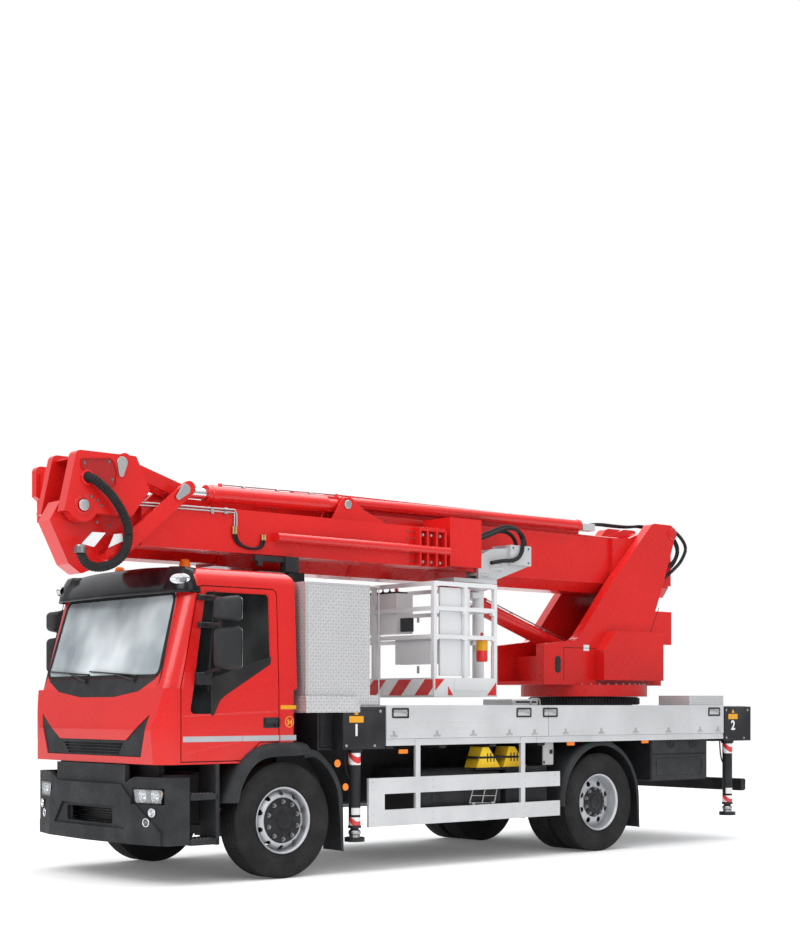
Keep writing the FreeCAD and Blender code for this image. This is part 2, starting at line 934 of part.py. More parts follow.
# Steering knuckles
kingpin = S.kingpin_y
eye = S.axle_eye_half
ear_z = eye + S.knuckle_gap
web_y = (kingpin + S.axle_eye_radius + S.knuckle_gap, kingpin + S.axle_eye_radius + S.knuckle_gap + S.knuckle_web)
ears = []
for level in (axle_z + ear_z, axle_z - ear_z - S.knuckle_ear):
    heights = (level, level + S.knuckle_ear)
    ears.append(rod("knuckle_eye", "Z", heights, S.axle_eye_radius, y=kingpin))
    ears.append(block("knuckle_ear", span(ZERO, S.knuckle_half_depth), (kingpin, web_y[1]), heights))
web = block("knuckle_web", span(ZERO, S.knuckle_half_depth), web_y, span(axle_z, ear_z + S.knuckle_ear))
spindle_end = hub_y[1] - S.rim_disc - S.knuckle_gap
spindle = rod("knuckle_spindle", "Y", (web_y[0], spindle_end), S.spindle_radius, z=axle_z)
pin = rod("kingpin", "Z", span(axle_z, ear_z + S.knuckle_ear), S.kingpin_radius, y=kingpin)
both("knuckle", fused("knuckle", web, spindle, pin, *ears))

# Front axle with its springs
low = axle_z - S.axle_beam_drop
half = S.axle_beam_half
flat = S.rail_half_width + S.spring_gap * 3
end = S.axle_beam_end
beam = plate_yz("front_beam", span(ZERO, half), [
    (-kingpin, axle_z - half), (-end, axle_z - half), (-flat, low - half), (flat, low - half),
    (end, axle_z - half), (kingpin, axle_z - half), (kingpin, axle_z + half), (end, axle_z + half),
    (flat, low + half), (-flat, low + half), (-end, axle_z + half), (-kingpin, axle_z + half),
])
front_parts = [beam]
front_tools = []
for side in (-1, 1):
    front_parts.append(rod("front_eye", "Z", span(axle_z, eye), S.axle_eye_radius, y=kingpin * side))
    reach = span(axle_z, eye + S.overrun)
    front_tools.append(rod("front_eye_bore", "Z", reach, S.kingpin_radius + S.kingpin_clearance, y=kingpin * side))


def spring(name, y, seat_z, end_z, x):
    """A leaf spring between two hangers, its middle on the axle."""
    length = S.spring_half_span
    half = S.seat_block * 2
    top = S.spring_thick
    return plate_xz(name, y, [
        (x - length, end_z), (x - half, seat_z), (x + half, seat_z), (x + length, end_z),
        (x + length, end_z + top), (x + half, seat_z + top), (x - half, seat_z + top), (x - length, end_z + top),
    ])


rail_low = S.rail_top - S.rail_height
front_y = span(S.rail_half_width - S.seat_block, S.spring_width / 2)
for side in (-1, 1):
    ys = sorted((front_y[0] * side, front_y[1] * side), key=plain)
    front_parts.append(spring("front_spring", ys, low + half, low + half + S.front_spring_sag, ZERO))
    for x in (-S.spring_half_span, S.spring_half_span - S.spring_hanger):
        at = (low + half + S.front_spring_sag + S.spring_thick / 2, rail_low)
        front_parts.append(block("front_hanger", (x, x + S.spring_hanger), ys, at))
node("front_axle", cut("front_axle", fused("front_axle_solid", *front_parts), *front_tools))

# Rear axle with its springs
tube = rod("rear_tube", "Y", span(ZERO, S.rear_tube_end), S.rear_tube_radius, x=rear_x, z=axle_z)
banjo = turned("rear_banjo", "Y", [
    (-S.rear_banjo_half, ZERO), (S.rear_banjo_half, ZERO), (S.rear_banjo_half, S.rear_tube_radius),
    (S.rear_banjo_half / 2, S.rear_banjo_radius), (-S.rear_banjo_half / 2, S.rear_banjo_radius),
    (-S.rear_banjo_half, S.rear_tube_radius),
], x=rear_x, z=axle_z)
reach = twin_hub_y[1] - S.rim_disc - S.knuckle_gap
rear_parts = [tube, banjo, rod("rear_spindles", "Y", span(ZERO, reach), S.spindle_radius, x=rear_x, z=axle_z)]
rear_y = span(S.rear_spring_out, S.spring_width / 2)
seat_z = axle_z + S.rear_tube_radius + S.seat_block
for side in (-1, 1):
    ys = sorted((rear_y[0] * side, rear_y[1] * side), key=plain)
    rear_parts.append(block("rear_seat", span(rear_x, S.seat_block * 2), ys, (axle_z, seat_z)))
    rear_parts.append(spring("rear_spring", ys, seat_z, seat_z + S.rear_spring_sag, rear_x))
    hanger_y = sorted((S.rail_half_width * side, rear_y[1] * side), key=plain)
    for x in (rear_x - S.spring_half_span, rear_x + S.spring_half_span - S.spring_hanger):
        at = (seat_z + S.rear_spring_sag + S.spring_thick / 2, S.rail_top - S.spring_hanger)
        rear_parts.append(block("rear_hanger", (x, x + S.spring_hanger), hanger_y, at))
node("rear_axle", fused("rear_axle", *rear_parts))

# Chassis frame and engine
web_in = S.rail_half_width - S.rail_web
flange_in = S.rail_half_width - S.rail_flange
frame = []
for side in (-1, 1):
    frame.append(plate_yz("rail", (S.rail_rear, S.rail_front), [
        (S.rail_half_width * side, rail_low), (S.rail_half_width * side, S.rail_top), (flange_in * side, S.rail_top),
        (flange_in * side, S.rail_top - S.rail_web), (web_in * side, S.rail_top - S.rail_web),
        (web_in * side, rail_low + S.rail_web), (flange_in * side, rail_low + S.rail_web), (flange_in * side, rail_low),
    ]))
    at = (S.rail_front, S.radiator_rear)
    ys = sorted((flange_in * side, S.rail_half_width * side), key=plain)
    frame.append(block("bumper_bracket", at, ys, span(S.rail_top - S.rail_height / 2, S.bumper_bracket / 2)))
cross_z = S.rail_top - S.rail_height / 2
stations = [S.cross_first, S.engine_rear - S.tank_bracket * 3, S.tank_front, S.tank_rear, S.cabinet_rear,
            S.lift_base_x + S.overrun * 30, S.lift_base_x, S.cross_last]
for i, x in enumerate(stations):
    frame.append(rod(f"cross_{i}", "Y", span(ZERO, web_in), S.cross_radius, x=x, z=cross_z))
for side in (-1, 1):
    for x in (S.tank_front - S.tank_bracket * 3, S.tank_rear + S.tank_bracket * 3, S.battery_rear + S.tank_bracket * 3,
              S.toolbox_front - S.tank_bracket * 3, S.toolbox_rear + S.tank_bracket * 3):
        ys = sorted((S.rail_half_width * side, S.box_inner_y * side), key=plain)
        frame.append(block("box_bracket", span(x, S.tank_bracket / 2), ys, (S.tank_top - S.tank_bracket * 2, S.tank_top)))
node("chassis_frame", fused("chassis_frame", *frame))
engine_y = span(ZERO, flange_in)
node("engine_block", block("engine_block", (S.engine_rear, S.engine_front), engine_y, (S.engine_bottom, S.engine_top)))


# Cab
def cab_outlines(by):
    """Side, front and plan outlines of the cab, moved inwards."""
    side = [
        (S.cab_rear, S.cab_rear_floor), (S.cab_arch_back, S.cab_rear_floor), (S.cab_arch_x, S.cab_floor),
        (S.cab_front, S.cab_floor), (S.cab_nose_x, S.cab_nose_z, S.cab_corner), (S.cab_belt_x, S.cab_belt_z, S.cab_corner),
        (S.cab_screen_top_x, S.cab_screen_top_z), (S.cab_roof_front_x, S.cab_roof, S.cab_wall * 2),
        (S.cab_rear, S.cab_roof, S.cab_wall * 2),
    ]
    width = S.cab_half_width
    top = width - S.cab_lean
    front = [
        (-width, S.cab_floor), (width, S.cab_floor), (width, S.cab_belt_z), (top, S.cab_roof, S.cab_roof_edge),
        (-top, S.cab_roof, S.cab_roof_edge), (-width, S.cab_belt_z),
    ]
    low = [
        (S.cab_rear, -width, S.cab_rear_corner), (S.cab_nose_x, -width, S.cab_corner),
        (S.cab_nose_x, width, S.cab_corner), (S.cab_rear, width, S.cab_rear_corner),
    ]
    back = S.cab_rear - S.cab_overrun
    high = [(back, -width), (S.cab_belt_x, -width, S.cab_corner), (S.cab_belt_x, width, S.cab_corner), (back, width)]
    return [inward(o, by) for o in (side, front, low, high)]


def cab_volume(name, by):
    side, front, low, high = cab_outlines(by)
    rise = S.cab_screen_top_z - S.cab_belt_z
    shift = S.cab_screen_top_x - S.cab_belt_x
    top = S.cab_belt_z + rise * 2
    lower = plate_xy(name + "_low", (S.cab_floor, S.cab_belt_z), low)
    upper = slanted(name + "_high", (S.cab_belt_z, top), shift * 2, high)
    plan = fused(name + "_plan", lower, upper)
    ends = plate_xz(name + "_side", span(ZERO, S.cab_half_width + S.overrun), side)
    across = plate_yz(name + "_front", (S.cab_rear - S.overrun, S.cab_nose_x + S.overrun), front)

    return common(name, plan, ends, across)


outside = cab_volume("cab_outside", ZERO)
behind_glass = cab_volume("cab_behind_glass", S.cab_glass)
behind_panel = cab_volume("cab_behind_panel", S.panel_depth)
inside = cab_volume("cab_inside", S.cab_wall)
door_y = (S.cab_half_width / 2, S.cab_half_width + S.overrun)
door_line = [
    (S.door_rear, S.door_arch_top), (S.door_rear, S.door_top, S.door_corner), (S.door_pillar_x, S.door_top, S.door_corner),
    (S.door_front, S.door_belt), (S.door_front, S.door_bottom), (S.door_arch_x, S.door_bottom),
    (S.door_arch_back, S.door_arch_top),
]
window_line = [
    (S.window_rear, S.window_bottom), (S.window_rear, S.window_top, S.window_corner),
    (S.window_top_front, S.window_top, S.window_corner), (S.kerb_front, S.kerb_low, S.window_corner),
    (S.kerb_rear, S.kerb_low, S.window_corner), (S.kerb_rear, S.window_low), (S.window_step_x, S.window_low + S.cab_wall * 2),
]
screen_line = [
    (-screen_half_bottom, S.screen_bottom, S.screen_corner), (screen_half_bottom, S.screen_bottom, S.screen_corner),
    (screen_half_top, S.screen_top, S.screen_corner), (-screen_half_top, S.screen_top, S.screen_corner),
]
skin = cut("cab_skin", outside, inside)
door_wall = plate_yz("door_wall", (S.door_rear - S.overrun, S.door_front + S.overrun), [
    (S.cab_half_width - S.cab_wall, S.cab_floor), (S.cab_half_width + S.overrun, S.cab_floor),
    (S.cab_half_width + S.overrun, S.cab_roof), (S.cab_half_width - S.cab_lean - S.cab_wall, S.cab_roof),
    (S.cab_half_width - S.cab_wall, S.cab_belt_z),
])
door_hole = common("door_hole", plate_xz("door_opening", door_y, door_line), door_wall)
door_holes = [door_hole, mirrored("door_hole_right", door_hole)]
screen_x = (S.door_pillar_x - S.cab_wall * 2, S.cab_nose_x + S.overrun)
screen_hole = plate_yz("screen_hole", screen_x, screen_line)
panel_zone = block("panel_zone", (S.panel_back, S.cab_nose_x + S.overrun), span(ZERO, S.cab_half_width + S.overrun),
                   (S.cab_floor - S.overrun, S.panel_top))
panel_skin = common("panel_skin", cut("panel_shell", outside, behind_panel), panel_zone)
node("cab_shell", cut("cab_shell", skin, screen_hole, panel_skin, *door_holes))
pane = cut("cab_pane", outside, behind_glass)
node("windscreen", common("windscreen", pane, screen_hole))
grille_line = [
    (-S.grille_half_bottom, S.grille_bottom), (S.grille_half_bottom, S.grille_bottom), (S.grille_tip_half, S.grille_tip_z),
    (S.grille_inner_half, S.grille_inner_z), (-S.grille_inner_half, S.grille_inner_z), (-S.grille_tip_half, S.grille_tip_z),
]
mesh_line = [
    (-S.mesh_half_bottom, S.mesh_bottom), (S.mesh_half_bottom, S.mesh_bottom), (S.mesh_half_top, S.mesh_top),
    (-S.mesh_half_top, S.mesh_top),
]
cowl_line = [
    (-cowl_half, S.panel_top), (-S.cowl_mid_half, cowl_mid_z), (-S.cowl_dip_half, cowl_dip),
    (S.cowl_dip_half, cowl_dip), (S.cowl_mid_half, cowl_mid_z), (cowl_half, S.panel_top),
    (cowl_half, S.panel_top + S.overrun), (-cowl_half, S.panel_top + S.overrun),
]
trim_x = (S.panel_back, S.cab_nose_x + S.overrun)
grille_hole = plate_yz("grille_hole", trim_x, grille_line)
cowl_hole = plate_yz("cowl_hole", trim_x, cowl_line)
node("front_panel", cut("front_panel", panel_skin, grille_hole, cowl_hole))
bars = []
for i in range(3):
    low_z = S.mesh_bottom + S.grille_pitch / 2 + S.grille_pitch * i * 2 / 3
    bars.append(block("grille_bar", trim_x, span(ZERO, S.grille_half_bottom), (low_z, low_z + S.grille_bar / 2)))
mesh_hole = cut("mesh_hole", plate_yz("mesh_opening", trim_x, mesh_line), fused("bars", *bars))
sunk = cab_volume("cab_sunk", S.trim_inset)
trim_skin = cut("trim_skin", sunk, behind_panel)
surround = common("surround", trim_skin, plate_yz("surround_zone", trim_x, inward(grille_line, S.seat_gap)))
cowl = common("cowl", common("cowl_skin", cut("cowl_shell", outside, behind_panel), panel_zone),
              plate_yz("cowl_zone", trim_x, inward(cowl_line, S.seat_gap)))
node("front_trim", together("front_trim", cut("grille", surround, mesh_hole), cowl))

door_leaf = plate_xz("door_leaf", door_y, inward(door_line, S.door_gap))
window_hole = plate_xz("window_hole", door_y, window_line)
handle_z = span(S.handle_z, S.handle_half_height)
handle = block("handle_recess", span(S.handle_x, S.handle_half_length),
               (S.cab_half_width - S.handle_depth, S.cab_half_width + S.overrun), handle_z)
both("door", cut("door", common("door_skin", outside, door_leaf, door_wall), window_hole, handle))
both("door_glass", common("door_glass", pane, window_hole))

# Mirrors on the doors
mirror_y = (S.cab_half_width + S.mirror_out, S.cab_half_width + S.mirror_out + S.mirror_width)
heads = []
for z in ((S.mirror_bottom, S.mirror_split), (S.mirror_split + S.mirror_split_gap, S.mirror_top)):
    heads.append(plate_yz("mirror_head", span(S.mirror_x, S.mirror_half_depth), [
        (mirror_y[0], z[0], S.mirror_corner), (mirror_y[1], z[0], S.mirror_corner), (mirror_y[1], z[1], S.mirror_corner),
        (mirror_y[0], z[1], S.mirror_corner),
    ]))
mast_y = mirror_y[0] + S.mirror_corner
reach = S.mirror_arm_radius
arms = [rod("mirror_mast", "Z", (S.mirror_bottom + S.mirror_corner, S.mirror_top - S.mirror_corner), reach,
            x=S.mirror_x, y=mast_y)]
for x, z in ((S.mirror_x, S.mirror_bottom + S.mirror_corner), (S.mirror_high_x, S.mirror_split)):
    arms.append(plate_xy("mirror_arm", span(z, reach / 2), [
        (S.mirror_x - reach, mast_y), (S.mirror_x + reach, mast_y), (x + reach, S.cab_half_width - S.cab_wall * 2),
        (x - reach, S.cab_half_width - S.cab_wall * 2),
    ]))
both("mirror", cut("mirror", fused("mirror_parts", *heads, *arms), outside))


def ring_xy(width, front, back, corner):
    """A plan outline with rounded front corners."""
    return [(back, -width), (front, -width, corner), (front, width, corner), (back, width)]


# Roof visor
visor_plan = ring_xy(visor_half, S.visor_front, S.visor_rear, S.visor_corner)
visor_inner = ring_xy(visor_half - S.visor_thick, S.visor_front - S.visor_thick, S.visor_rear - S.overrun, S.visor_corner)
visor_shell = slanted("visor_shell", (S.visor_low, S.visor_top), S.visor_shift, visor_plan)
visor_hollow = slanted("visor_hollow", (S.visor_low, S.visor_top - S.visor_thick), S.visor_shift, visor_inner)
visor_open = plate_xz("visor_open", span(ZERO, visor_half + S.overrun), [
    (S.visor_rear - S.overrun * 10, S.visor_low), (S.visor_rear + S.overrun * 8, S.visor_low),
    (S.visor_rear - S.overrun, S.visor_top), (S.visor_rear - S.overrun * 10, S.visor_top),
])
node("roof_visor", cut("roof_visor", visor_shell, visor_hollow, outside, visor_open))

# Cab interior
seat_floor = S.cab_rear_floor + S.cab_wall
interior = []
for side in (-1, 1):
    ys = span(S.seat_y * side, S.seat_half_width)
    interior.append(plate_xz("seat", ys, [
        (S.seat_x, seat_floor), (S.seat_x + S.seat_length, seat_floor),
        (S.seat_x + S.seat_length, S.seat_base + S.seat_cushion, S.cab_wall), (S.seat_x + S.seat_back, S.seat_base + S.seat_cushion),
        (S.seat_x, S.seat_top, S.cab_wall / 2), (S.seat_x - S.seat_back / 2, S.seat_top, S.cab_wall / 2),
        (S.seat_x - S.seat_back / 3, S.seat_base),
    ]))
dash = plate_xz("dash", span(ZERO, S.cab_half_width), [
    (S.dash_back, S.dash_low), (S.dash_front + S.cab_wall * 2, S.dash_low), (S.dash_front + S.cab_wall * 2, S.dash_top),
    (S.dash_back, S.dash_top, S.cab_wall),
])
dash_fit = common("dash_fit", dash, inside)
ring = doc.addObject("Part::Torus", "steering_ring")
bind(ring, Radius1=S.wheel_ring_radius, Radius2=S.wheel_ring_tube)
tilt = FreeCAD.Rotation(FreeCAD.Vector(0, 1, 0), -25)
place(ring, S.wheel_ring_x, S.seat_y, S.wheel_ring_z, tilt)
spokes = doc.addObject("Part::Box", "steering_spokes")
bind(spokes, Length=S.wheel_ring_tube * 2, Width=S.wheel_ring_radius * 2, Height=S.wheel_ring_tube)
place(spokes, S.wheel_ring_x - S.wheel_ring_tube, S.seat_y - S.wheel_ring_radius, S.wheel_ring_z - S.wheel_ring_tube / 2)
column = bar("steering_column", (S.wheel_ring_x, S.wheel_ring_z), (S.dash_back + S.cab_wall, S.dash_low + S.cab_wall * 2),
             S.wheel_column, S.seat_y)
tunnel = block("engine_tunnel", (S.cab_rear + S.cab_wall, S.dash_back + S.cab_wall), span(ZERO, S.engine_bottom / 2 - S.cab_wall),
               (S.cab_floor + S.cab_wall, seat_floor + S.cab_wall))
tunnel_fit = common("tunnel_fit", tunnel, inside)
node("cab_interior", together("cab_interior", interior[0], interior[1], fused("dash_and_wheel", dash_fit, ring, spokes, column),
                              tunnel_fit))

# Front bumper
def bumper_outline(by, back):
    """The bumper's plan, moved inwards from its faces but not from its back: bowed in front, turned at its corners."""
    half = []
    for side in (-1, 1):
        half.append([
            (back - by, bumper_half * side), (S.bumper_side_front, bumper_half * side, S.bumper_edge),
            (S.bumper_turn_x, S.bumper_turn_half * side, S.bumper_corner), (S.bumper_front, ZERO, S.bumper_corner * 2),
        ])

    return inward(half[0] + half[1][2::-1], by)


bumper_face = plate_yz("bumper_face", (S.bumper_back - S.overrun, S.bumper_front), [
    (-bumper_half, S.bumper_bottom, S.bumper_wall), (bumper_half, S.bumper_bottom, S.bumper_wall),
    (bumper_half, S.bumper_top, S.bumper_wall / 2), (S.bumper_shoulder_half, S.bumper_top, S.bumper_wall / 2),
    (S.bumper_brow_half, S.bumper_brow, S.bumper_wall / 2), (-S.bumper_brow_half, S.bumper_brow, S.bumper_wall / 2),
    (-S.bumper_shoulder_half, S.bumper_top, S.bumper_wall / 2), (-bumper_half, S.bumper_top, S.bumper_wall / 2),
])
beam_zone = plate_yz("beam_zone", (S.bumper_back - S.overrun, S.bumper_front), [
    (-S.crease_half, S.bumper_bottom), (S.crease_half, S.bumper_bottom), (S.crease_half, S.crease_low),
    (S.bumper_brow_half, S.bumper_brow), (-S.bumper_brow_half, S.bumper_brow), (-S.crease_half, S.crease_low),
])
rise = (S.bumper_bottom, S.bumper_top)
beam = common("bumper_beam", plate_xy("beam_plan", rise, bumper_outline(ZERO, S.bumper_back)), beam_zone)
corners = plate_xy("bumper_plan", rise, bumper_outline(S.bumper_step, S.bumper_back))
bumper_solid = common("bumper_solid", fused("bumper_forms", beam, corners), bumper_face)
bumper_hollow = plate_xy("bumper_hollow", (S.bumper_bottom - S.overrun, S.bumper_top + S.overrun),
                         bumper_outline(S.bumper_wall, S.bumper_back - S.overrun))
mouth_x = (S.bumper_front - S.bumper_wall - S.overrun, S.bumper_front + S.overrun)
mouth = plate_yz("bumper_mouth", mouth_x, [
    (-S.bumper_mouth_half, S.bumper_mouth_low, S.bumper_wall / 2), (S.bumper_mouth_half, S.bumper_mouth_low, S.bumper_wall / 2),
    (S.bumper_mouth_half, S.bumper_mouth_top, S.bumper_wall / 2), (-S.bumper_mouth_half, S.bumper_mouth_top, S.bumper_wall / 2),
])
dish = plate_yz("bumper_dish", (S.bumper_front - S.bumper_dish_depth - S.bumper_step, S.bumper_front + S.overrun), [
    (-S.bumper_dish_half, S.bumper_mouth_low - S.bumper_dish_depth), (S.bumper_dish_half, S.bumper_mouth_low - S.bumper_dish_depth),
    (S.bumper_mouth_half + S.bumper_wall, S.bumper_mouth_top + S.bumper_dish_depth),
    (-S.bumper_mouth_half - S.bumper_wall, S.bumper_mouth_top + S.bumper_dish_depth),
])
lamp_zone = []
for side in (-1, 1):
    ys = span(S.lamp_y * side, S.lamp_half_width)
    lamp_zone.append(block("lamp_zone", (S.bumper_front - S.lamp_depth * 2, S.bumper_front + S.overrun), ys, (S.lamp_low, S.lamp_top)))
lamp_holes = fused("lamp_holes", *lamp_zone)
bumper_shell = cut("bumper_shell", bumper_solid, bumper_hollow)
radiator = block("radiator_mesh", (S.radiator_rear, S.radiator_front), span(ZERO, S.radiator_half), (S.lamp_top - S.bumper_wall, S.radiator_top))
node("front_bumper", fused("front_bumper", cut("bumper_cut", bumper_shell, mouth, dish, lamp_holes), radiator))
headlights = common("headlights", bumper_shell, lamp_holes)

# Tail board, tail lamps and beacons
tail_x = (S.rail_rear - S.tail_thick, S.rail_rear)
tail_lamps = []
for side in (-1, 1):
    ys = sorted((tail_half * side, (tail_half - S.tail_lamp) * side), key=plain)
    tail_lamps.append(block("tail_lamp", (tail_x[0] - S.tail_thick / 2, tail_x[0]), ys, (S.tail_low, S.tail_top)))
beacons = [turned("beacon", "Z", [
    (ZERO, ZERO), (ZERO, S.beacon_radius), (S.beacon_height * 2 / 3, S.beacon_radius - S.beacon_radius / 8),
    (S.beacon_height, S.beacon_radius / 2), (S.beacon_height, ZERO),
], x=S.beacon_x, y=S.beacon_y * side, z=S.cab_roof) for side in (-1, 1)]
node("lamps", together("lamps", headlights, *tail_lamps, *beacons))

# Mudguards, flaps and cab steps
front_arch = [
    (S.arch_front_x, S.arch_front_low), (S.arch_front_x, S.arch_shoulder_z, S.arch_radius / 4),
    (S.arch_crown_x, S.arch_crown_z, S.arch_radius / 4), (-S.arch_crown_x, S.arch_crown_z, S.arch_radius / 3),
    (-S.arch_rear_x, S.arch_rear_shoulder_z, S.arch_radius / 4), (-S.arch_rear_x, S.flap_low),
]
arch_y = (S.arch_inner_y, arch_outer_y)
arch = plate_xz("front_arch", arch_y, band(front_arch, S.arch_thick))
rear_arch = plate_xz("rear_arch", (S.rear_guard_inner_y, arch_outer_y), band([
    (rear_x + S.rear_guard_radius, S.rear_guard_low), (rear_x + S.rear_guard_radius, S.rear_guard_shoulder, S.rear_guard_radius / 3),
    (rear_x + S.rear_guard_radius / 2, S.rear_guard_top, S.rear_guard_radius / 3),
    (rear_x - S.rear_guard_radius / 2, S.rear_guard_top, S.rear_guard_radius / 3),
    (rear_x - S.rear_guard_radius, S.rear_guard_shoulder, S.rear_guard_radius / 3), (rear_x - S.rear_guard_radius, S.rear_guard_low),
], S.arch_thick))
stays = []
for x in (rear_x + S.rear_guard_radius + S.arch_thick / 2, rear_x - S.rear_guard_radius - S.arch_thick / 2):
    stays.append(rod("rear_stay", "Y", (S.rail_half_width, S.rear_guard_inner_y + S.overrun), S.arch_thick / 3, x=x,
                     z=S.rear_guard_shoulder - S.overrun * 2))
front_stay = rod("front_stay", "Y", (S.rail_half_width, S.arch_inner_y + S.overrun), S.arch_thick / 3,
                 x=-S.arch_rear_x - S.arch_thick / 2, z=S.rail_top - S.rail_height / 2)
steps = plate_xz("cab_steps", (S.step_inner_y, step_outer_y), [
    (S.step_rear, S.step_low), (S.step_front, S.step_low), (S.step_front, S.step_low + S.step_tread),
    (S.step_rear + S.step_tread, S.step_low + S.step_tread), (S.step_rear + S.step_tread, S.step_high),
    (S.step_front, S.step_high), (S.step_front, S.step_high + S.step_tread), (S.step_rear + S.step_tread, S.step_high + S.step_tread),
    (S.step_rear + S.step_tread, S.cab_floor), (S.step_rear, S.cab_floor),
])
left_guards = together("left_guards", fused("front_guard", arch, front_stay), steps, fused("rear_guard", rear_arch, *stays))
right_guards = mirrored("right_guards", left_guards)
node("mudguards", together("mudguards", left_guards, right_guards))

# Boxes along the frame
boxes_y = (S.box_inner_y, box_outer_y)
tank = plate_yz("fuel_tank", (S.tank_rear, S.tank_front), [
    (boxes_y[0], S.tank_low, S.tank_corner), (boxes_y[1], S.tank_low, S.tank_corner),
    (boxes_y[1], S.tank_top, S.tank_corner), (boxes_y[0], S.tank_top, S.tank_corner),
])
battery = block("battery_box", (S.battery_rear, S.battery_front), boxes_y, (S.tank_low, S.tank_top))
cabinet = block("cabinet", (S.cabinet_rear, S.cabinet_front), boxes_y, (S.cabinet_low, S.cabinet_top))
toolbox = plate_xz("toolbox", (S.toolbox_inner_y, box_outer_y), [
    (S.toolbox_rear, S.toolbox_low, S.toolbox_corner), (S.toolbox_front, S.toolbox_low, S.toolbox_corner),
    (S.toolbox_front, S.toolbox_top, S.toolbox_corner), (S.toolbox_rear, S.toolbox_top, S.toolbox_corner),
])
chocks = []
for x in (S.chock_front, (S.chock_front + S.chock_rear) / 2 - S.overrun):
    reach = (S.chock_front - S.chock_rear) / 2 - S.overrun
    chocks.append(plate_xz("wheel_chock", (S.chock_inner_y, S.chock_outer_y), [
        (x - reach, S.tank_top), (x, S.tank_top), (x - reach / 4, S.chock_top), (x - reach / 2, S.chock_top),
    ]))
left_boxes = together("left_boxes", tank, battery, cabinet, toolbox)
node("side_boxes", together("side_boxes", left_boxes, mirrored("right_boxes", left_boxes)))
node("wheel_chocks", together("wheel_chocks", *chocks))

# Side guards
guard_y = (S.body_half_width - S.guard_thick, S.body_half_width)
post = S.guard_post
guard = [
    block("guard_top", (S.guard_rear, S.guard_front), guard_y, (S.guard_high, S.guard_top)),
    block("guard_low", (S.guard_rear, S.guard_front), guard_y, (S.guard_low, S.guard_low_top)),
    block("guard_end", (S.guard_front - S.guard_end, S.guard_front), guard_y, (S.guard_low, S.guard_top)),
]
for x in (S.guard_post_a, S.guard_post_b):
    post_top = S.board_low - S.board_gap
    guard.append(block("guard_post", span(x, post), guard_y, (S.guard_low, post_top)))
    guard.append(block("guard_arm", span(x, post), (S.sub_half_width, guard_y[1]), (post_top - S.guard_bracket, post_top)))
    guard.append(block("guard_pad", span(x, post), (S.sub_half_width, guard_y[0] - S.board_gap), (post_top, S.deck_top - S.deck_thick)))
left_guard = fused("left_guard", *guard)
node("side_guards", together("side_guards", left_guard, mirrored("right_guard", left_guard)))

# Platform subframe with the outrigger housings and the slewing base
sub_top = S.rail_top + S.sub_height
deck_low = S.deck_top - S.deck_thick
sub = []
for side in (-1, 1):
    ys = sorted(((S.sub_half_width - S.sub_rail) * side, S.sub_half_width * side), key=plain)
    sub.append(block("sub_rail", (S.sub_rear, S.sub_front), ys, (S.rail_top, sub_top)))
for i in range(8):
    x = S.deck_front - S.sub_rail - S.bearer_pitch * i
    reach = S.body_half_width - S.deck_thick if plain(x) > plain(rear_x + S.rear_guard_radius) else S.rear_guard_inner_y - S.overrun
    sub.append(block("bearer", span(x, S.sub_rail / 2), span(ZERO, reach), (sub_top, deck_low)))
housing_y = span(ZERO, housing_half)
channels = []
for x in ((S.front_box_rear, S.front_box_front), (S.rear_box_rear, S.rear_box_front)):
    sub.append(block("outrigger_housing", x, housing_y, (sub_top, S.outrigger_top)))
    wall = S.outrigger_wall
    channels.append(block("outrigger_channel", (x[0] + wall, x[1] - wall), span(ZERO, housing_half + S.overrun),
                          (sub_top + wall, S.outrigger_top - wall)))
sub.append(rod("slew_pedestal", "Z", (S.rail_top, S.slew_gear_top), S.slew_pedestal_radius, x=S.slew_x))
sub.append(rod("slew_gear", "Z", (S.slew_gear_low, S.slew_gear_top), S.slew_gear_radius, x=S.slew_x))
sub.append(block("tail_board", tail_x, span(ZERO, tail_half), (S.tail_low, S.tail_top)))
for side in (-1, 1):
    sub.append(block("tail_post", tail_x, span(S.rail_half_width * side, S.tail_thick), (S.tail_low, sub_top)))
node("platform_subframe", cut("platform_subframe", fused("subframe_parts", *sub), *channels))

# Deck, dropsides and locker
deck_half = S.body_half_width - S.board_thick - S.seat_gap
deck = block("deck_floor", (S.deck_rear, S.deck_front), span(ZERO, deck_half), (deck_low, S.deck_top))
well = rod("deck_well", "Z", (deck_low - S.overrun, S.deck_top + S.overrun), S.slew_pedestal_radius + S.slew_gap, x=S.slew_x)
node("deck", cut("deck", deck, well))
board_y = (S.body_half_width - S.board_thick, S.body_half_width)
boards = [
    block("board_front", (S.board_split + S.board_gap / 2, S.deck_front - S.board_gap), board_y, (S.board_low, S.board_top)),
    block("board_rear", (S.deck_rear + S.board_gap, S.board_split - S.board_gap / 2), board_y, (S.board_low, S.board_top)),
]
both("dropside", together("dropside", *boards))
locker = block("locker_box", (S.locker_rear, S.locker_front), span(ZERO, locker_half), (S.outrigger_top, S.locker_top))
tread = block("locker_tread", (S.tread_rear, S.locker_rear), span(ZERO, locker_half), (S.outrigger_top, S.tread_top))
rest = block("boom_rest", (S.rest_rear, S.rest_front), span(ZERO, S.rest_half), (S.locker_top, S.rest_top))
node("locker", fused("locker", locker, tread, rest))

